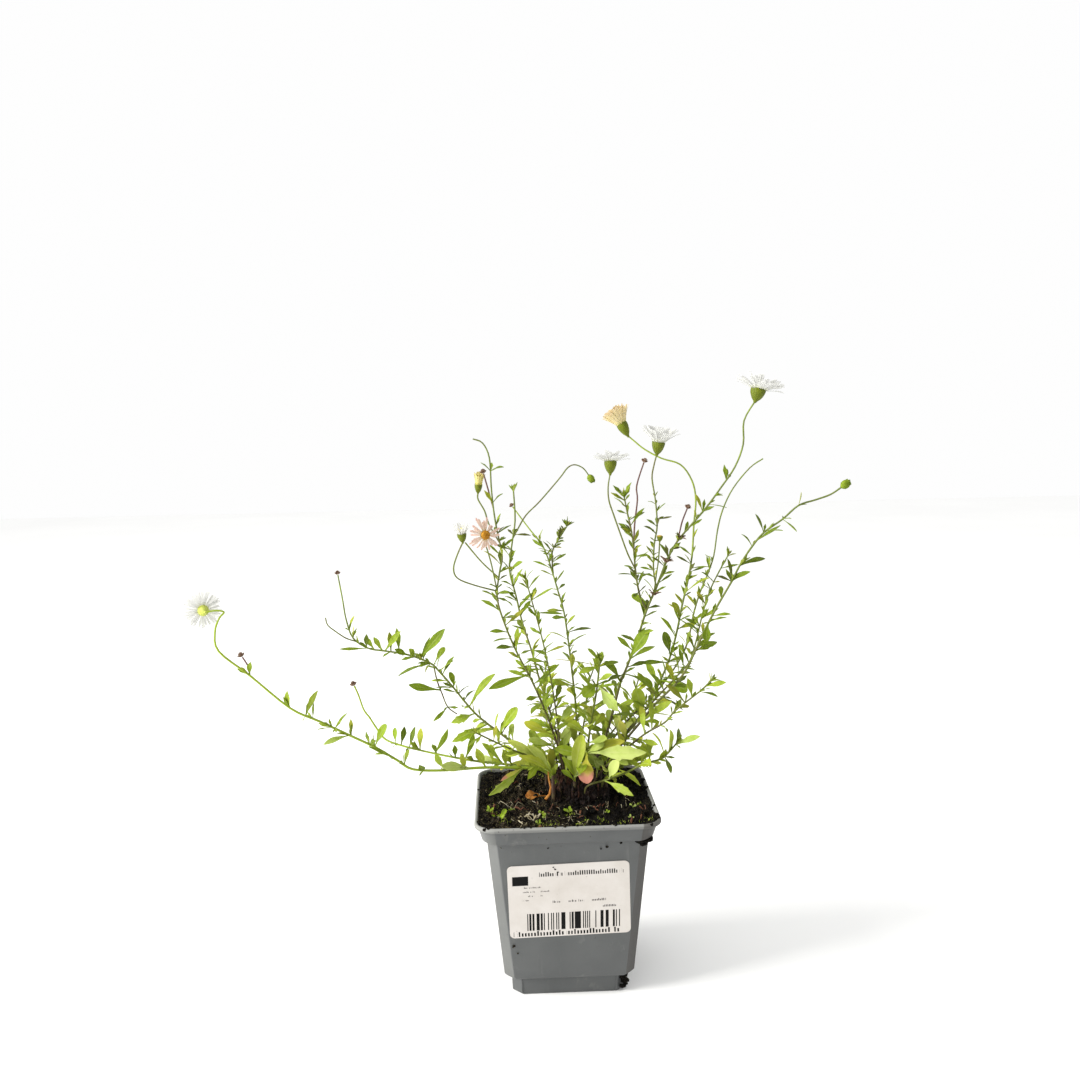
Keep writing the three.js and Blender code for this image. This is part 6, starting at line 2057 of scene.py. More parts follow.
@dataclass
class PeatBed:
    """The peat: a crumbly top with pits and clods, filling the pot down to its floor.

    The top is plainer within edge of the wall, and rises there by rim. Each row of floor is a height and half the
    width of the peat there.
    """

    finishes: Finishes
    soil: Soil
    cells: int = 110
    half: float = 43.3
    corner: float = 8.0
    rim: float = 1.5
    edge: float = 5.0
    margin: float = 1.8
    floor: tuple[Point, ...] = ((87.0, 41.4), (82.6, 39.2), (81.0, 37.6), (12.6, 30.6), (11.4, 26.8), (1.6, 26.8))
    crumbs: tuple[Crumb, ...] = (Crumb(1300, 0.4, 1.2, 0.8, 0.1), Crumb(300, 1.1, 3.0, 0.75, 0.25))
    spin: float = 6.3

    def ruggedness(self, flat: Array) -> Array:
        """Returns how far the fine top departs from the plain soil height."""
        broad = cloud(flat, 0.1, 5.0) * 1.5
        clods = np.abs(cloud(flat, 0.3, 9.0)) * 3.4 - 1.3
        fine = cloud(flat, 0.9, 2.0) * 0.8
        return broad + clods + fine

    def top_height(self, x: float, y: float) -> float:
        """Returns the height of the fine top at a place."""
        point = np.array([[x, y, 0.0]])
        inner = held((self.half - max(abs(x), abs(y))) / self.edge)
        rugged = float(self.ruggedness(point)[0]) * (0.3 + 0.7 * inner)
        return self.soil.height(x, y) + rugged + (1 - inner) * self.rim

    def block(self) -> Piece:
        """Builds the block of peat."""
        size = self.half * 2 * MM
        bed = Bench.start("grid", "peat_bed", x_subdivisions=self.cells, y_subdivisions=self.cells, size=size)
        border = (self.half - 0.01) * MM
        with Bench.editing(bed) as edit:
            edit.pick(lambda v: max(abs(v.x), abs(v.y)) > border)
            below = 0.0
            for level, half in self.floor:
                drop = level - self.soil.level
                edit.extrude(z=(drop - below) * MM)
                mesh = bmesh.from_edit_mesh(bed.data)
                wide = max(v.co.x for v in mesh.verts if v.select)
                edit.resize(half * MM / wide, half * MM / wide)
                below = drop
            bpy.ops.mesh.edge_face_add()
        points = Bench.points(bed) / MM
        top = points[:, 2] > -0.001
        reach = np.maximum(np.abs(points[:, 0]), np.abs(points[:, 1]))
        radius = np.hypot(points[:, 0], points[:, 1])
        # How far a point lies in a corner: 0 along the sides, and 1 at the corner's tip.
        cornered = np.clip((radius / np.maximum(reach, 1e-6) - 1.16) / 0.254, 0, 1)
        points[:, :2] *= (1 - (self.corner * 0.42 / self.half) * cornered**2)[:, None]
        flat = points.copy()
        flat[:, 2] = 0
        rugged = self.ruggedness(flat[top])
        height = np.array([self.soil.height(x, y) for x, y in flat[top, :2].tolist()])
        inner = np.clip((self.half - reach[top]) / self.edge, 0, 1)
        points[top, 2] = height + rugged * (0.3 + 0.7 * inner) + (1 - inner) * self.rim
        points[~top, 2] += self.soil.level
        Bench.set_points(bed, points * MM)
        with Bench.editing(bed) as edit:
            edit.close()
        return Bench.paint(bed, self.finishes["peat"])

    def strewn(self, kind: Crumb, salt: float, pattern: Piece) -> list[Piece]:
        """Strews crumbs of a kind over the top."""
        shape = Bench.points(pattern)
        made = []
        for k in range(kind.count):
            x = sway(k, salt) * 2 * (self.half - self.margin)
            y = sway(k, salt + 1.7) * 2 * (self.half - self.margin)
            bend = self.half - self.corner
            in_corner = min(abs(x), abs(y)) > bend
            if in_corner and math.hypot(abs(x) - bend, abs(y) - bend) > self.corner - 1.4:
                continue
            size = lerp(kind.small, kind.large, scatter(k, salt + 2.9) ** 2)
            axis = Vector((scatter(k, 1), scatter(k, 2), 0.5)).normalized()
            spin = Matrix.Rotation(scatter(k, salt + 4) * self.spin, 3, axis)
            crumb = shape @ np.array(spin) * (size / 2)
            crumb[:, 2] *= kind.squash
            place = vec((x, y, self.top_height(x, y) + size * (0.5 - kind.sink) * 0.6))
            made.append(Bench.copy(pattern, (crumb + place) * MM))
        return made

    def pattern(self, seed: float, subdivisions: int) -> Piece:
        """Builds one lumpy crumb of radius one."""
        crumb = Bench.start("ico_sphere", "pattern_crumb", subdivisions=subdivisions, radius=1)
        points = Bench.points(crumb)
        Bench.set_points(crumb, points * (1 + 0.45 * cloud(points, 1.3, seed))[:, None])
        return Bench.paint(crumb, self.finishes["peat"])

    def build(self) -> Piece:
        """Builds and dresses the peat."""
        patterns = [self.pattern(1.0, 1), self.pattern(4.0, 2)]
        pieces = [self.block()]
        for i, kind in enumerate(self.crumbs):
            pieces += self.strewn(kind, 3.3 + i * 11, patterns[i])
        bed = Bench.join(pieces, "peat_bed")
        Bench.drop(*patterns)
        Bench.smooth(bed, 70.0)
        return settle(bed, "soil", "soil")


@dataclass
class Litter:
    """What lies on the peat and the rim: fibres, wood bits, moss, seedlings and spilt crumbs, and dark crumbs at the
    foot that paint the pot's shadow.
    """

    finishes: Finishes
    bed: PeatBed
    fibre_count: int = 46
    twig_count: int = 34
    edge_crumb_count: int = 34
    # How far fibres and twigs start from the middle, and where they turn back.
    reach: float = 38.0
    limit: float = 39.5
    tangle: Point = (-22.0, -28.0)
    # The x, the y and the spread of each tuft of moss.
    moss_tufts: tuple[Point, ...] = (
        (-33, -19, 4.5), (-36, -8, 3), (-30, -31, 3), (-12, -33, 4), (-6, -34, 3), (6, -35, 3.5), (16, -34, 4.5),
        (27, -36, 3.5), (38, -32, 4), (41.5, -35, 3), (36, -12, 3), (2, -22, 2.5), (-36, 20, 3), (30, 30, 4),
        (-10, 34, 3),
    )
    # The x, the y, the size and the number of leaves of each seedling.
    sprouts: tuple[Point, ...] = (
        (-10, -24, 3.2, 7), (-12.5, -22, 2.4, 5), (1.6, -18, 3, 6), (20, -22, 2.2, 4), (-37.5, -16, 3, 8),
        (-33, -24, 6, 2), (-35, -20, 2.4, 6), (-27, -12, 2.4, 5), (31, -30, 2, 4), (-14, -32, 2, 5), (-5, -27, 2, 5),
        (9, -30, 2, 5), (26, 28, 3.5, 5), (-28, 26, 3.5, 5), (4, 34, 3, 5), (34, -14, 2.4, 5),
    )
    # The place and the size of each crumb on the rim and under its corner, and of the dark crumbs at the foot that
    # paint the pot's shadow.
    crumbs_and_foot_shadow: tuple[Point, ...] = (
        (-43.0, -34, 91.5, 1.2), (-38, -43.6, 91.4, 1.5), (-2, -44.2, 91.6, 1.3), (4, -44, 91.7, 0.9),
        (22, -44.0, 91.5, 1.6), (36, -43.0, 91.5, 1.8), (42.4, -34, 91.8, 3.4), (43, -36.5, 91.4, 2.6),
        (43.6, -20, 91.6, 1.2), (43.4, 6, 91.6, 1.6), (43.2, 18, 91.5, 2.0), (-43.8, 10, 91.6, 1.1),
        (-18, -44.3, 91.5, 0.8), (34.0, -38.9, 81.8, 4.2), (36.6, -37.8, 81.4, 4.6), (38.2, -36.9, 82.0, 4.2),
        (35.6, -37.9, 79.8, 3.4), (33.6, -38.6, 80.4, 1.2), (38.6, -35.6, 79.8, 1.6), (18.3, -38.9, 78.9, 1.3),
        (25.0, -39.0, 80.6, 1.0), (-32.3, -38.6, 80, 1.0), (-10, -38.7, 79, 0.8), (-6.7, -37.8, 68.2, 1.2),
        (-5.2, -37.6, 66.6, 1.0), (-7.6, -38.0, 69.2, 0.8), (-27.2, -33.9, 28.2, 1.3), (-25.4, -33.4, 24.1, 0.9),
        # Painted shadow: these dark crumbs at the foot's right corner stand for the pot's shadow on the floor.
        (26.4, -28.0, 7.4, 3.2), (27.4, -26.4, 4.6, 3.8), (26.0, -28.2, 2.6, 2.6), (27.6, -27.0, 8.2, 2.4),
        (15.4, -39.0, 78, 0.7),
    )

    def moss(self) -> Piece:
        """Builds the moss: tiny upright sprigs in tufts."""
        sprig = Bench.start("cone", "pattern_sprig", vertices=4, radius1=0.32, radius2=0.0, depth=1.0)
        with Bench.editing(sprig) as edit:
            edit.pick_all().shift(z=0.5)
            edit.pick(lambda v: v.z < 0.1).resize(0.45, 0.45)
        shape = Bench.points(sprig)
        Bench.paint(sprig, self.finishes["moss"])
        made = []
        for t, (x0, y0, spread) in enumerate(self.moss_tufts):
            for k in range(int(14 * spread)):
                angle, reach = scatter(k, t + 0.3) * LITTER_TURN, math.sqrt(scatter(k, t + 1.9)) * spread
                x, y = x0 + math.cos(angle) * reach, y0 + math.sin(angle) * reach * 0.7
                if max(abs(x), abs(y)) > 43:
                    continue
                tall = 0.7 + 1.5 * scatter(k, t + 6.1)
                lean = vec((sway(k, t + 3.3), sway(k, t + 4.4), 0.7))
                points = np.outer(shape[:, 2], lean * tall) + shape * (0.9, 0.9, 0) * (0.6 + 0.5 * scatter(k, 8))
                made.append(Bench.copy(sprig, (points + vec((x, y, self.bed.top_height(x, y) - 0.15))) * MM))
        piece = Bench.join(made, "moss")
        Bench.drop(sprig)
        return settle(piece, "soil")

    def strand(self, name: str, k: int, salt: float, radius: float, length: float, curl: float) -> Piece:
        """Draws one crooked fibre that lies on the peat.

        Args:
            name: Its name.
            k: Its number.
            salt: What sets its kind's random numbers apart.
            radius: Its radius at its thick end.
            length: Its length.
            curl: How much it bends.
        """
        x, y = sway(k, salt) * 2 * self.reach, sway(k, salt + 1) * 2 * self.reach
        heading = scatter(k, salt + 2) * LITTER_TURN
        points = []
        for i in range(6):
            x, y = (max(min(value, self.limit), -self.limit) for value in (x, y))
            raised = 0.25 + 0.7 * scatter(k * 7 + i, salt + 3)
            points.append((x, y, self.bed.top_height(x, y) + raised))
            heading += sway(k * 5 + i, salt + 4) * curl
            x, y = x + math.cos(heading) * length / 5, y + math.sin(heading) * length / 5
        return Bench.tube(name, np.array(points), np.linspace(radius, radius * 0.5, 6), 0)

    def fibres(self) -> Piece:
        """Builds the pale root fibres, with one bright tangle near the front."""
        strands = [
            self.strand("fibre", k, 21.0, 0.09 + 0.08 * scatter(k, 2), 4 + 9 * scatter(k, 3), 1.9)
            for k in range(self.fibre_count)
        ]
        for k in range(7):
            x, y = self.tangle[0] + 5.0 * scatter(k, 1), self.tangle[1] + 3.5 * scatter(k, 2)
            heading = LITTER_TURN * scatter(k, 3)
            points = []
            for i in range(7):
                points.append((x, y, self.bed.top_height(x, y) + 0.5 + 0.9 * scatter(k + i, 4)))
                heading += (scatter(k * 3 + i, 5) - 0.3) * 1.9
                x, y = x + math.cos(heading) * 1.5, y + math.sin(heading) * 1.5
            strands.append(Bench.tube("fibre", np.array(points), np.full(7, 0.28), 0))
        piece = Bench.paint(Bench.join(strands, "root_fibres"), self.finishes["fibre"])
        return settle(Bench.smooth(piece, 60.0), "soil")

    def twigs(self) -> Piece:
        """Builds the reddish brown bits of wood."""
        bits = [
            self.strand("twig", k, 47.0, 0.25 + 0.35 * scatter(k, 5), 2.5 + 5 * scatter(k, 6), 0.7)
            for k in range(self.twig_count)
        ]
        piece = Bench.paint(Bench.join(bits, "wood_bits"), self.finishes["twig"])
        return settle(Bench.smooth(piece, 60.0), "soil")

    def crumbs(self) -> Piece:
        """Builds the crumbs on the rim and under the rim's corner, and the dark crumbs at the foot that paint the pot's
        shadow.
        """
        crumb = self.bed.pattern(7.0, 2)
        shape = Bench.points(crumb)
        made = []
        edge = [
            (80 * scatter(k, 31) - 40, -43.0 - 0.8 * scatter(k, 32), 90.9, 0.7 + 1.4 * scatter(k, 33))
            for k in range(self.edge_crumb_count)
        ]
        for k, (x, y, z, size) in enumerate([*self.crumbs_and_foot_shadow, *edge]):
            for j in range(3):
                shift = vec([sway(k * 3 + j, salt) for salt in (1, 2, 3)]) * size * (0.9 if j else 0)
                scale = size * (0.28 if j else 0.5) * vec((1.2, 0.8, 0.8))
                made.append(Bench.copy(crumb, (shape * scale + vec((x, y, z)) + shift) * MM))
        # The joined crumbs include the painted shadow at the foot.
        piece = Bench.join(made, "spilt_peat")
        Bench.drop(crumb)
        return settle(Bench.smooth(piece, 60.0), "soil")

    def seedlings(self, patterns: Patterns) -> Piece:
        """Builds the seedlings: a few tiny upright leaves each."""
        leaves = []
        for t, (x, y, size, count) in enumerate(self.sprouts):
            root = vec((x, y, self.bed.top_height(x, y) - 0.3))
            for k in range(int(count)):
                angle, long = k * GOLDEN_TURN + t, size * (0.7 + 0.5 * scatter(k, t + 1))
                way = unit(vec((math.cos(angle), 0.5 * math.sin(angle), 0.5 + 0.8 * scatter(k, t))))
                leaf = Leaf(root, root + way * long, long * 0.34, SPOON, vec((0, -1, 0.8)), 0.1)
                leaf.tone = 0.3 + 0.5 * scatter(k, t + 2)
                leaves.append(leaf)
        sheet = patterns.sheet("seedlings", leaves, 0.2)
        Bench.paint(sheet, self.finishes["basal"], self.finishes["basal_back"])
        return settle(Bench.smooth(sheet, 55.0), "leaf")

    def build(self, patterns: Patterns) -> None:
        """Builds all the litter."""
        self.seedlings(patterns)
        self.moss()
        self.fibres()
        self.twigs()
        self.crumbs()


@dataclass
class Crown:
    """The woody knot that the stems come from, with dry stubs, scales and withered scraps."""

    finishes: Finishes
    patterns: Patterns
    soil: Soil
    # The knot's heights and its widths there, as shares of its radius.
    rows: tuple[Point, ...] = (
        (84, 1.1), (87, 1.25), (89.5, 1.45), (91.5, 1.5), (94, 1.3), (97, 1.15), (100, 1.0), (103, 0.8), (106, 0.55),
        (108, 0.25),
    )
    radius: float = 3.4
    sides: int = 16
    scales: int = 26
    shreds: int = 110
    # The place, the width, the height and the pattern of each lump of bark.
    lumps: tuple[Point, ...] = (
        (7.5, 8.5, 89, 10.5, 12.5, 1.0), (1.0, 4.0, 89, 6.5, 8.5, 3.0), (14.0, 5.0, 89, 7.0, 10.5, 5.0),
        (9.0, 15.5, 89, 7.5, 11.5, 8.0), (5.0, -1.0, 88.5, 6.5, 9.0, 11.0), (11.5, -2.0, 88.5, 6.0, 8.5, 13.0),
        (-4.5, -3.5, 88.5, 3.6, 6.5, 15.0), (18.5, 0.5, 88.5, 5.0, 8.0, 17.0), (-3.0, 11.0, 88.5, 5.5, 8.0, 19.0),
    )
    stubs: tuple[tuple[Point, ...], ...] = (
        ((5.2, 7.7, 100), (4.6, 7.4, 108), (2.6, 7.0, 118)),
        ((6.7, 8.5, 100), (7.4, 8.9, 110), (9.4, 9.5, 121)),
        ((6.1, 8.6, 100), (7.2, 9.2, 108), (9.2, 9.8, 115)),
        ((3.6, 5.6, 92), (1.6, 4.2, 99), (0.4, 3.2, 104)),
        ((8.6, 6.4, 92), (11.0, 4.8, 98), (12.6, 3.0, 101)),
        ((2.6, 9.6, 92), (-0.4, 10.6, 97), (-3.0, 11.6, 99)),
        ((5.0, 4.6, 91), (4.2, 2.0, 95.5), (2.4, -0.6, 97)),
        ((9.4, 9.2, 92), (12.4, 10.4, 98), (14.0, 12.4, 103)),
        ((6.4, 11.6, 92), (6.8, 14.4, 98), (6.0, 16.4, 104)),
    )

    def knot(self) -> Piece:
        """Builds the knot: a ring extruded upwards, then roughened like bark."""
        x0, y0 = self.soil.crown
        knot = Bench.start("circle", "knot", vertices=self.sides, radius=self.radius * MM, fill_type="NGON")
        with Bench.editing(knot) as edit:
            edit.pick_all().shift(x0 * MM, y0 * MM, self.rows[0][0] * MM)
            before = self.rows[0]
            for row in self.rows[1:]:
                edit.extrude(z=(row[0] - before[0]) * MM)
                share = row[1] / before[1]
                edit.resize(share, share, about=(x0 * MM, y0 * MM, 0))
                before = row
            edit.close()
        Bench.modify(knot, "SUBSURF", levels=2, render_levels=2)
        points = Bench.points(knot) / MM
        out = points - vec((x0, y0, 0))
        out[:, 2] = 0
        out /= np.maximum(np.linalg.norm(out, axis=1), 1e-6)[:, None]
        ridges = np.abs(cloud(points * (1, 1, 0.45), 0.55, 2.0)) * 1.5 - 0.3
        Bench.set_points(knot, (points + out * ridges[:, None]) * MM)
        return knot

    def mound(self, x: float, y: float, z: float, wide: float, tall: float, seed: float) -> Piece:
        """Builds a lump of old wood and bark with upright ridges."""
        lump = Bench.start("ico_sphere", "lump", subdivisions=5, radius=1)
        points = Bench.points(lump)
        ridges = np.abs(cloud(points * (2.2, 2.2, 0.7), 1.6, seed)) * 1.1 + cloud(points, 4.5, seed) * 0.3
        points *= (0.75 + 0.5 * ridges)[:, None]
        Bench.set_points(lump, (points * (wide, wide, tall) + vec((x, y, z))) * MM)
        return lump

    def scale(self, k: int) -> Leaf:
        """Returns one of the dry scales that clasp the knot."""
        out, level = level_way(k * GOLDEN_TURN), 90.5 + 13 * scatter(k, 3)
        root = vec((*self.soil.crown, level)) + out * self.radius * (1.25 - (level - 90) * 0.035)
        way = out * (0.5 + scatter(k, 4)) + vec((0, 0, 0.9 - 1.5 * scatter(k, 5)))
        tip = root + unit(way) * (3 + 4.5 * scatter(k, 6))
        leaf = Leaf(root - out * 0.6, tip, 1.5, NARROW, out + vec((0, 0, 1)), 0.1)
        leaf.curl, leaf.twist, leaf.wave, leaf.fold = 0.5 * scatter(k, 7), 2.0 * sway(k, 8), 0.2, 2.0
        return leaf

    def shred(self, k: int) -> Leaf:
        """Returns one of the withered scraps that stand on the bark."""
        out, reach = level_way(k * GOLDEN_TURN), 4 + 9 * scatter(k, 13)
        root = vec((*self.soil.crown, 97.5 - reach * 0.55)) + out * reach
        way = unit(out * (scatter(k, 14) - 0.4) * 0.8 + vec((0, 0, 1.1 - 0.5 * scatter(k, 15))))
        leaf = Leaf(root, root + way * (3 + 6 * scatter(k, 16)), 0.9, NARROW, out + vec((0, 0, 1)), 0.15)
        leaf.curl, leaf.twist, leaf.wave, leaf.fold = 0.6 * scatter(k, 17), 2.5 * sway(k, 18), 0.3, 2.0
        return leaf

    def build(self) -> Piece:
        """Builds and dresses the crown."""
        pieces = [self.knot(), *(self.mound(*lump) for lump in self.lumps)]
        for k, route in enumerate(self.stubs):
            samples = sample_route([vec(p) for p in route])
            radii = np.linspace(0.6, 0.3, len(samples)) * (0.85 + 0.4 * scatter(k, 5))
            pieces.append(Bench.tube("stub", np.array([s.place for s in samples]), radii, 2))
        bark = Bench.paint(Bench.join(pieces, "bark"), self.finishes["bark"])
        scraps = [self.scale(k) for k in range(self.scales)] + [self.shred(k) for k in range(self.shreds)]
        flakes = self.patterns.fan("scraps", scraps, 0.2, "flake")
        crown = Bench.join([bark, flakes], "woody_crown")
        return settle(Bench.smooth(crown, 50.0), "crown", "crown")


@dataclass
class FlowerMaker:
    """Makes cups, buds, rays, discs and spent heads from a few patterns."""

    finishes: Finishes
    patterns: Patterns
    # Each form is rows of a height and a radius, as shares of its own height and radius.
    cup_rows: tuple[Point, ...] = (
        (-0.14, 0.17), (0.0, 0.26), (0.1, 0.36), (0.24, 0.52), (0.42, 0.7), (0.7, 0.88), (0.96, 1.0), (1.0, 0.98),
        (1.03, 0.8),
    )
    bud_rows: tuple[Point, ...] = ((-0.1, 0.35), (0.1, 0.75), (0.35, 0.97), (0.6, 0.98), (0.85, 0.75), (0.98, 0.35))
    dome_rows: tuple[Point, ...] = ((0, 1.0), (0.35, 0.97), (0.7, 0.78), (0.95, 0.4), (1.0, 0.12))
    low_dome_rows: tuple[Point, ...] = ((0, 0.95), (0.5, 0.9), (0.9, 0.6), (1, 0.2))
    plate_rows: tuple[Point, ...] = ((0, 0.8), (0.5, 0.92), (1, 0.8))
    knob_rows: tuple[Point, ...] = ((0, 0.4), (0.25, 0.8), (0.7, 0.95), (1.05, 0.8), (1.25, 0.4), (1.35, 0.1))
    # Each row of bracts is its count, and the heights and distances of its roots and its tips, as shares.
    cup_bracts: tuple[Point, ...] = ((14, 0.08, 0.34, 0.78, 0.9), (18, 0.3, 0.55, 1.04, 0.98))
    bud_bracts: tuple[Point, ...] = ((10, 0.0, 0.5, 0.95, 0.7), (10, 0.15, 0.85, 1.06, 0.45))
    dry_bracts: tuple[Point, ...] = ((9, 0.0, 0.4, 1.25, 1.55), (9, 0.1, 0.6, 1.45, 1.15), (14, 0.9, 0.5, 1.9, 0.75))
    dry_broad: int = 18
    sides: int = 18
    florets: int = 62

    def turned_form(
        self, name: str, start: Array, facing: Array, rows: tuple[Point, ...], size: float, tall: float
    ) -> Piece:
        """Builds a round form along a direction.

        Args:
            name: Its name.
            start: Where it starts, in millimetres.
            facing: Its direction.
            rows: Heights and radii, as shares of tall and of size.
            size: Its radius.
            tall: Its height.
        """
        form = Bench.start("circle", name, vertices=self.sides, radius=rows[0][1], fill_type="NGON")
        with Bench.editing(form) as edit:
            edit.pick_all().shift(z=rows[0][0])
            for before, row in zip(rows, rows[1:]):
                edit.extrude(z=row[0] - before[0])
                share = row[1] / before[1]
                edit.resize(share, share)
            edit.close()
        u, v = cross_axes(facing)
        shape = Bench.points(form)
        Bench.mark(form, 0.5, np.clip(shape[:, 2], 0, 1), np.full(len(shape), 0.6), 0.0)
        x, y, z = shape[:, 0] * size, shape[:, 1] * size, shape[:, 2] * tall
        Bench.set_points(form, (start + np.outer(x, u) + np.outer(y, v) + np.outer(z, facing)) * MM)
        with Bench.editing(form) as edit:
            edit.close()
        return form

    def bracts(
        self, start: Array, facing: Array, radius: float, tall: float, rows: tuple[Point, ...], tone: float
    ) -> list[Leaf]:
        """Returns the narrow bracts that clasp a cup or a bud.

        Args:
            start: The cup's foot.
            facing: Its direction.
            radius: Its radius.
            tall: Its height.
            rows: Count, root height, root radius, tip height and tip radius of each row, as shares.
            tone: How light they are.
        """
        u, v = cross_axes(facing)
        made = []
        for r, (count, foot, foot_wide, top, top_wide) in enumerate(rows):
            for k in range(int(count)):
                out = between_axes(u, v, (k + 0.5 * r) * math.tau / count + sway(k, r + 0.2) * 0.15)
                root = start + facing * tall * foot + out * radius * foot_wide
                reach = top * (0.9 + 0.2 * scatter(k, r + 1.2))
                tip = start + facing * tall * reach + out * radius * top_wide
                leaf = Leaf(root, tip, radius * 0.4, NARROW, out, 0.08)
                leaf.tone, leaf.fold = tone + 0.25 * sway(k, r + 2.2), 0.05
                made.append(leaf)
        return made

    def cup(self, place: Array, facing: Array, radius: float, tall: float, finish: str = "cup") -> Piece:
        """Builds the green cup under a bloom."""
        body = self.turned_form("cup", place, facing, self.cup_rows, radius, tall)
        bracts = self.bracts(place, facing, radius, tall, self.cup_bracts, 0.5)
        blades = self.patterns.fan("bracts", bracts, 0.1, finish)
        return Bench.join([Bench.paint(body, self.finishes[finish]), blades], "cup")

    def bud(self, place: Array, facing: Array, radius: float) -> Piece:
        """Builds a closed green bud."""
        body = self.turned_form("bud", place, facing, self.bud_rows, radius, radius * 2)
        bracts = self.bracts(place, facing, radius, radius * 2, self.bud_bracts, 0.35)
        blades = self.patterns.fan("bracts", bracts, 0.18, "leaf")
        return Bench.join([Bench.paint(body, self.finishes["leaf"]), blades], "bud")

    def young_head(self, place: Array, facing: Array, radius: float) -> list[Piece]:
        """Builds a young head: a small cup with a flat yellow top."""
        tall = radius * 1.7
        top = place + facing * tall * 0.95
        dome = self.turned_form("dome", top, facing, self.low_dome_rows, radius * 0.95, 0.7)
        return [self.cup(place, facing, radius, tall), Bench.paint(dome, self.finishes["disc"])]

    def rays(self, kind: str, place: Array, facing: Array) -> Piece:
        """Builds a bloom's rays on a thin plate, in one or more rows."""
        bloom = BLOOMS[kind]
        u, v = cross_axes(facing)
        seat = place + facing * (bloom.tall + 0.1)
        plate = self.turned_form("plate", seat, facing, self.plate_rows, bloom.cup, 0.9)
        rise, inward = (0.17, 0.27) if bloom.brush else (0.12, 0.05)
        count = bloom.rays // bloom.rows
        petals = []
        for k in range(count * bloom.rows):
            row = k // count
            angle = (k + row / bloom.rows) * math.tau / count + sway(k, 0.7) * 0.14 * bloom.wild
            out = between_axes(u, v, angle)
            lean = bloom.lean + rise * row + sway(k, 2.3) * (0.12 if bloom.brush else 0.38)
            root = seat + facing * (0.35 + 0.2 * row) + out * bloom.cup * (0.92 - inward * row)
            long = bloom.long * bloom.stretch * (1.02 - 0.17 * bloom.wild * scatter(k, 4.1))
            tip, up = root + between_axes(out, facing, lean) * long, between_axes(facing, -out, lean)
            petal = Leaf(root, tip, bloom.wide, NARROW, up, 0.04, scatter(k, 5.3))
            petal.twist = sway(k, 6.1) * 0.25 * bloom.wild
            petal.curl = (scatter(k, 7.9) - 0.4) * 0.12 * bloom.wild
            petal.fold = 0.1
            petal.ageing = 0.4 * scatter(k, 8.8) ** 6
            petals.append(petal)
        fan = self.patterns.fan("petals", petals, 0.12, bloom.finish)
        joined = Bench.join([Bench.paint(plate, self.finishes[bloom.finish]), fan], f"petals_{kind}")
        slot = {"white": "ray_white", "pink": "ray_pink"}.get(bloom.finish, "ray_cream")
        return settle(Bench.smooth(joined, 50.0), slot, f"rays_{kind}")

    def disc(self, kind: str, place: Array, facing: Array) -> Piece:
        """Builds a bloom's disc: florets set in a spiral on a low dome."""
        bloom = BLOOMS[kind]
        radius = bloom.cup * bloom.disc
        u, v = cross_axes(facing)
        seat = place + facing * (bloom.tall + 0.9)
        finish = self.finishes["old_disc" if bloom.finish == "pink" else "disc"]
        dome = self.turned_form("dome", seat, facing, self.dome_rows, radius * 0.96, 1.3)
        floret = Bench.start("cone", "pattern_floret", vertices=5, radius1=0.75, radius2=0.35, depth=1.4)
        with Bench.editing(floret) as edit:
            edit.pick(lambda w: w.z > 0.1).extrude(z=0.12).resize(0.4, 0.4)
        Bench.paint(floret, finish)
        shape = Bench.points(floret)
        size = radius / math.sqrt(self.florets) * 0.95
        copies = []
        for k in range(self.florets):
            share = math.sqrt((k + 0.5) / self.florets)
            out = between_axes(u, v, k * GOLDEN_TURN)
            normal = unit(facing + out * share * 0.8)
            a, b = cross_axes(normal)
            level = 1.35 * (1 - share**2.4) + 0.15 * scatter(k, 3)
            points = seat + out * radius * share + facing * level
            for row, axis in enumerate((a, b, normal)):
                points = points + np.outer(shape[:, row], axis) * size
            copies.append(Bench.copy(floret, points * MM))
        Bench.drop(floret)
        joined = Bench.join([Bench.paint(dome, finish), *copies], f"disc_florets_{kind}")
        return settle(Bench.smooth(joined, 60.0), "disc", f"disc_{kind}")

    def spent(self, node: str, place: Array, direction: Array, size: float) -> Piece:
        """Builds a dry brown head: a knob, curled bracts and a worn brush."""
        start, size = place + direction * 0.3, size * 0.9
        knob = self.turned_form("knob", start, direction, self.knob_rows, size * 0.85, size)
        bracts = self.bracts(start, direction, size, size, self.dry_bracts, 0.5)
        for k, leaf in enumerate(bracts):
            leaf.width = size * (0.5 if k < self.dry_broad else 0.22)
            leaf.curl, leaf.wave, leaf.fold = 0.6 * (scatter(k, 5) - 0.2), 0.2, 1.5
        blades = self.patterns.fan("dry_bracts", bracts, 0.15, "husk")
        head = Bench.join([Bench.paint(knob, self.finishes["husk"]), blades], f"dry_{node.removeprefix('spent_')}")
        return settle(Bench.smooth(head, 50.0), "spent_head", node)


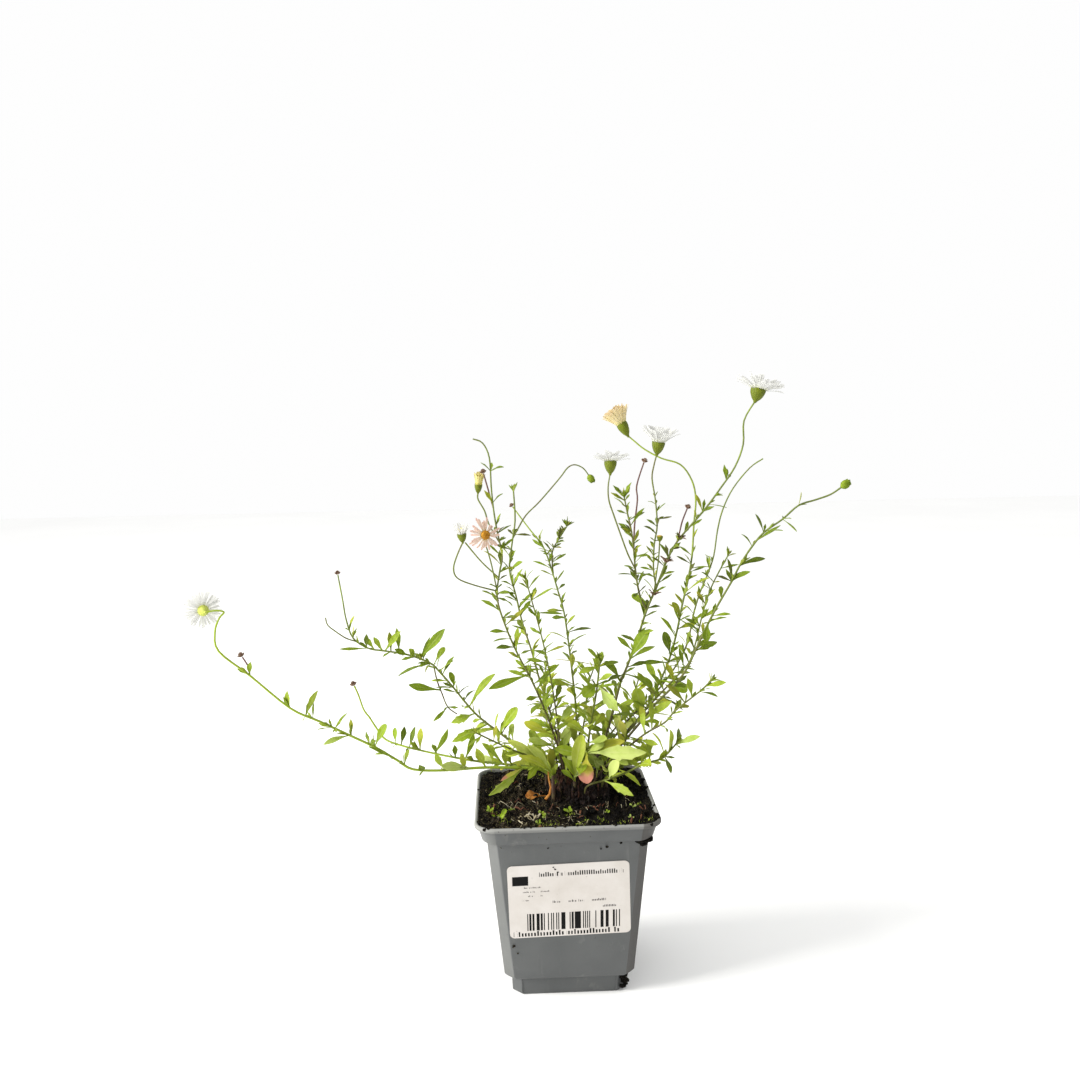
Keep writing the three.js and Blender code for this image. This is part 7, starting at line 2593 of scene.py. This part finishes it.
@dataclass
class Foliage:
    """The leafy stems: tubes, leaves by the growth rule, leaflets in their axils and tufts at their tips."""

    finishes: Finishes
    patterns: Patterns
    flowers: FlowerMaker
    bare_tips: tuple[str, ...] = ("stem_right_back", "stem_tall_thin", "stem_rising_left")
    withered: dict[str, Point] = field(default_factory=lambda: {"stem_right_tall": (0.6, 0.66, 0.52)})
    blushed: tuple[Point, ...] = ((10.9, -12.0, 101.8), (-31.8, -9.0, 103.0))
    # Broad leaves with their tips below this height have the basal finish.
    broad_below: float = 140.0
    # Buds smaller than this have opened to a flat yellow top.
    young_radius: float = 1.6
    # A stem lies rather than stands where its direction's height is less than this.
    LYING = 0.45

    @staticmethod
    def weather(leaf: Leaf, k: float, salt: float) -> Leaf:
        """Gives a leaf its own tone, ageing, curl and twist: pale and worn near the peat, and dark high up."""
        low = held(1 - (leaf.root[2] - 105) / 45) * (abs(leaf.root[0]) < 50)
        high = held((leaf.root[2] - 160) / 40)
        leaf.tone = 0.17 + 0.62 * scatter(k, salt) + 0.25 * low - 0.12 * high
        worn = scatter(k, salt + 1.3)
        leaf.ageing = (worn - 0.8) * 1.4 + 0.1 * low if worn > 0.8 else 0.06 * low
        leaf.curl = (scatter(k, salt + 2.1) - 0.4) * 0.2
        leaf.twist = sway(k, salt + 3.7) * 0.7
        leaf.wave = 0.04 * scatter(k, salt + 4.2)
        leaf.fold = 0.2 + 0.6 * scatter(k, salt + 5.9)
        leaf.roll = sway(k, salt + 6.6)
        return leaf

    @staticmethod
    def fuller(leaf: Leaf, k: float, salt: float) -> Leaf:
        """Gives a leaf its full breadth and spread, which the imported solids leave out."""
        along = leaf.tip - leaf.root
        if leaf.outline in (NARROW, LONG) and leaf.sample is not None:
            stem_way = leaf.sample.direction
            if leaf.arch < 0.08:
                rise = stem_way * (along @ stem_way)
                way = unit((along - rise) * 1.2 + rise * (0.1 + 0.75 * scatter(k, salt)))
                if abs(stem_way[2]) < Foliage.LYING:
                    way = unit(vec((way[0], way[1], abs(way[2]) + 0.35)))
                    leaf.width *= 1.35
                leaf.tip = leaf.root + way * float(np.linalg.norm(along)) * (1.05 + 0.8 * scatter(k, salt + 1))
            leaf.width *= (1.2 + 0.5 * scatter(k, salt + 5)) * (0.8 if leaf.root[2] > 180 else 1.0)
            leaf.up = stem_way * 0.7 + vec((0, -0.35 - 0.6 * scatter(k, salt + 2), 0.4))
            if abs(stem_way[2]) < Foliage.LYING:
                leaf.up = vec((0.3, -1.0, 0.3))
            leaf.arch = 0.035
        elif leaf.outline is not NARROW:
            leaf.up = vec((0.3 * scatter(k, salt + 2) - 0.15, -1.0, 0.8))
        return leaf

    @staticmethod
    def axil(leaf: Leaf, seed: float) -> list[Leaf]:
        """Returns the small leaflets in a leaf's axil."""
        sample = leaf.sample
        if sample is None:
            return []
        outward = unit(leaf.tip - leaf.root)
        made = []
        for j in range(1 + int(scatter(seed, 3.1) * 2.3)):
            k = seed * 5 + j
            way = turned(outward, sample.direction, sway(k, 5.3) * 5.0)
            way = unit(way * 0.9 + sample.direction * (0.9 * scatter(k, 6.7) - 0.1) + vec((0, 0, 0.15)))
            length = 3.0 + 5.0 * scatter(k, 2.2) ** 1.5
            up = sample.direction * 0.7 + vec((0, -0.3 - 0.6 * scatter(k, 9.1), 0.4))
            made.append(Leaf(sample.place.copy(), sample.place + way * length, length * 0.27, NARROW, up, 0.03))
        return made

    @staticmethod
    def tip_tuft(end: Sample, seed: float) -> list[Leaf]:
        """Returns the small upright leaves at a stem's tip."""
        u, v = cross_axes(end.direction)
        made = []
        for j in range(7):
            out = between_axes(u, v, j * GOLDEN_TURN + seed)
            way = unit(between_axes(end.direction, out, 0.15 + 0.14 * j) + vec((0, 0, 0.15)))
            length = 3.6 + 0.7 * j * scatter(j, seed)
            root, tip = end.place - end.direction * 0.4, end.place + way * length
            made.append(Leaf(root, tip, length * 0.21, NARROW, end.direction, 0.05))
        return made

    def tubes(self, stem: GrownStem) -> Piece:
        """Draws a stem's lines as one piece."""
        made = []
        for n, line in enumerate(stem.lines):
            stout = 1.15 if stem.plan.trailing and n == 0 else 1.0
            thick, thin = line.plan.radius[0] * 0.82 * stout, line.plan.radius[1] * 0.82 * stout
            reach = line.end.distance
            radii = [
                lerp(thick, thin, sample.distance / reach) * (1 + 0.12 * sway(i, n))
                for i, sample in enumerate(line.samples)
            ]
            places = np.array([sample.place for sample in line.samples])
            tube = Bench.tube("stalk", places, np.array(radii), 2 if n == 0 else 1)
            gap = np.linalg.norm(Bench.points(tube)[:, None] / MM - places[None], axis=2)
            along = np.array([line.samples[i].distance for i in gap.argmin(axis=1)]) / max(reach, 1)
            height = np.clip((Bench.points(tube)[:, 2] / MM - 92) / 130, 0, 1)
            age = along * (0.28 if n == 0 else 0.12) + height * 0.45 + (0.8 * stem.plan.trailing if n == 0 else 0.04)
            dried = 1.4 if isinstance(line.plan.end, HeadEnd) and n else 0.0
            Bench.mark(tube, scatter(n, len(stem.plan.name)), age, along * 0, dried)
            made.append(Bench.paint(tube, self.finishes["stalk"]))
        return Bench.join(made, "stalks")

    def leaves(self, stem: GrownStem, seed: float) -> Piece:
        """Copies all of a stem's leaves and leaflets."""
        main = [self.weather(self.fuller(leaf, k, seed), k, seed) for k, leaf in enumerate(stem.leaves)]
        small: list[Leaf] = []
        for k, leaf in enumerate(main):
            small += self.axil(leaf, seed * 13 + k)
        if stem.plan.name not in self.bare_tips:
            for n, line in enumerate(stem.lines):
                if line.plan.end is None:
                    small += self.tip_tuft(line.end, seed + n)
        for k, leaf in enumerate(small):
            self.weather(leaf, k, seed + 40)
        for leaf in main:
            if any(float(np.linalg.norm(leaf.tip - vec(at))) < 4.5 for at in self.blushed):
                leaf.ageing = 0.95
        for leaf in main:
            leaf.tone = max(leaf.tone, 0.2) if leaf.width > 3.4 else leaf.tone
        broad = [leaf for leaf in main if leaf.outline is not NARROW and leaf.tip[2] < self.broad_below]
        slim = [leaf for leaf in main if leaf.outline is NARROW or leaf.tip[2] >= self.broad_below]
        sheets = [self.patterns.sheet("blades", leaves, 0.22) for leaves in (slim, broad) if leaves]
        if broad:
            Bench.paint(sheets[-1], self.finishes["basal"], self.finishes["basal_back"])
        if small:
            sheets.append(self.patterns.sheet("leaflets", small, 0.18, small=True))
        return Bench.join(sheets, "blades")

    def wither(self, stem: GrownStem) -> list[Piece]:
        """Builds the brown withered clusters on a stem."""
        made = []
        for share in self.withered.get(stem.plan.name, ()):
            samples = stem.lines[0].samples
            at = sample_at(samples, samples[-1].distance * share)
            shreds = self.tip_tuft(at, share * 9) + self.tip_tuft(at, share * 23)
            for k, leaf in enumerate(shreds):
                leaf.tip, leaf.width = leaf.root + (leaf.tip - leaf.root) * 0.75, leaf.width * 0.7
                leaf.curl, leaf.twist = 0.7 * scatter(k, share), 2.0 * scatter(k, 4) - 1
                leaf.wave, leaf.fold = 0.25, 2.0
            made.append(self.patterns.fan("withered", shreds, 0.18, "husk"))
        return made

    def build(self, stem: GrownStem, seed: float) -> Piece:
        """Builds and dresses one stem with what it bears."""
        pieces = [self.tubes(stem)]
        if stem.leaves:
            pieces.append(self.leaves(stem, seed))
        pieces += self.wither(stem)
        for line in stem.lines:
            place, direction, end = line.end.place, line.end.direction, line.plan.end
            if isinstance(end, BloomEnd):
                bloom, finish = BLOOMS[end.kind], "pale_cup" if stem.plan.trailing else "cup"
                pieces.append(self.flowers.cup(place, unit(vec(end.facing)), bloom.cup, bloom.tall, finish))
            elif isinstance(end, BudEnd) and end.radius < self.young_radius:
                pieces += self.flowers.young_head(place, direction, end.radius)
            elif isinstance(end, BudEnd):
                pieces.append(self.flowers.bud(place, direction, end.radius))
        joined = Bench.smooth(Bench.join(pieces, f"leafy_{stem.plan.name}"), 55.0)
        return settle(joined, "leaf", stem.plan.name)

    def crown_flowers(self, stem: GrownStem) -> None:
        """Builds the blooms and spent heads of a stem."""
        for line in stem.lines:
            place, direction, end = line.end.place, line.end.direction, line.plan.end
            if isinstance(end, BloomEnd):
                facing = unit(vec(end.facing))
                self.flowers.rays(end.kind, place, facing)
                if BLOOMS[end.kind].disc:
                    self.flowers.disc(end.kind, place, facing)
            elif isinstance(end, HeadEnd):
                self.flowers.spent(end.node, place, direction, end.size)


@dataclass
class BasalLeaves:
    """The tufts of broad leaves round the crown, and the dead leaf on the peat.

    Tufts behind the crown bear more and longer leaves than those in front of it.
    """

    finishes: Finishes
    patterns: Patterns
    orange_stub: tuple[Point, ...] = (
        (-9.6, -6.5, 91.5), (-7.4, -5.0, 93.5), (-6.7, -4.2, 97.0), (-7.6, -3.0, 101.0), (-7.8, -2.0, 104.7),
    )

    def tuft(self, grown: GrownTuft, seed: float) -> Piece:
        """Builds one tuft."""
        foot, neck = grown.plan.foot, grown.plan.neck
        points = np.array([(*foot, z) for z in np.linspace(84, neck, 6)])
        stalk = Bench.tube("neck", points, np.linspace(1.3, 0.8, 6), 2)
        plain = np.zeros(len(Bench.points(stalk)))
        Bench.mark(stalk, 0.2, plain + 0.08, plain, 0.0)
        Bench.paint(stalk, self.finishes["stalk"])
        blades = []
        for k, leaf in enumerate(grown.leaves):
            leaf.tone, leaf.ageing = 0.2 + 0.55 * scatter(k, seed), 0.22 * scatter(k, seed + 1)
            leaf.twist, leaf.wave, leaf.fold = 0.6 * sway(k, seed + 2), 0.05, 0.8
            leaf.up = vec((0, -0.8, 1))
            blades.append(leaf)
        front = foot[1] < 1
        shortest, spread, count = (6, 5, 4) if front else (8, 10, 10)
        for k in range(count):
            way = unit(level_way(k * GOLDEN_TURN + seed) + vec((0, 0, 0.35 + 1.3 * scatter(k, seed))))
            root = vec((*foot, neck - 1.5))
            long = shortest + spread * scatter(k, seed + 3)
            outline = (SPOON, LONG, TOOTHED, SPOON)[k % 4]
            leaf = Leaf(root, root + way * long, long * 0.36, outline, vec((0, -0.8, 1)), 0.12)
            leaf.tone, leaf.ageing = 0.2 + 0.7 * scatter(k, seed + 4), 0.2 * scatter(k, seed + 5)
            leaf.twist, leaf.roll, leaf.wave = 0.6 * sway(k, seed + 6), sway(k, seed + 7), 0.05
            blades.append(leaf)
        sheet = self.patterns.sheet("blades", blades, 0.25)
        Bench.paint(sheet, self.finishes["basal"], self.finishes["basal_back"])
        joined = Bench.join([stalk, sheet], f"tuft_{grown.plan.name.removeprefix('basal_')}")
        return settle(Bench.smooth(joined, 55.0), "leaf", grown.plan.name)

    def dead(self, leaf: Leaf) -> Piece:
        """Builds the curled orange leaf that lies on the peat."""
        leaf.curl, leaf.twist, leaf.wave, leaf.fold = -0.15, 0.7, 0.22, 1.6
        sheet = self.patterns.sheet("fallen_dead_leaf", [leaf], 0.35)
        stub = Bench.tube("stub", np.array(self.orange_stub), np.linspace(0.75, 0.3, len(self.orange_stub)), 1)
        for piece in (sheet, stub):
            Bench.paint(piece, self.finishes["dead"], self.finishes["dead"])
        fallen = Bench.join([sheet, stub], "fallen_dead_leaf")
        return settle(Bench.smooth(fallen, 55.0), "dead_leaf", "fallen_leaf")


def write_sizes() -> None:
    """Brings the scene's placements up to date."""
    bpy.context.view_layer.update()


def main() -> None:
    """Builds the studio and the potted plant."""
    logging.basicConfig(level=logging.INFO, format="%(name)s %(message)s")
    finishes = Finishes.mixed()
    studio = Studio(finishes)
    studio.set_camera()
    studio.set_light()
    studio.lay_floor()
    pot = Pot(finishes)
    pot.build()
    Label(finishes, pot).build()
    growth = Growth()
    stems, tufts, dead = growth.grow()
    growth.thicken(stems)
    LOG.info("%d leaves", sum(len(stem.leaves) for stem in stems))
    bed = PeatBed(finishes, growth.soil)
    bed.build()
    patterns = Patterns(finishes)
    patterns.cut_all()
    Litter(finishes, bed).build(patterns)
    Crown(finishes, patterns, growth.soil).build()
    flowers = FlowerMaker(finishes, patterns)
    foliage = Foliage(finishes, patterns, flowers)
    for k, stem in enumerate(stems):
        foliage.build(stem, k + 0.5)
        foliage.crown_flowers(stem)
    basal = BasalLeaves(finishes, patterns)
    for k, tuft in enumerate(tufts):
        basal.tuft(tuft, k + 0.3)
    basal.dead(dead)
    patterns.clear()
    write_sizes()


if __name__ == "__main__":
    main()
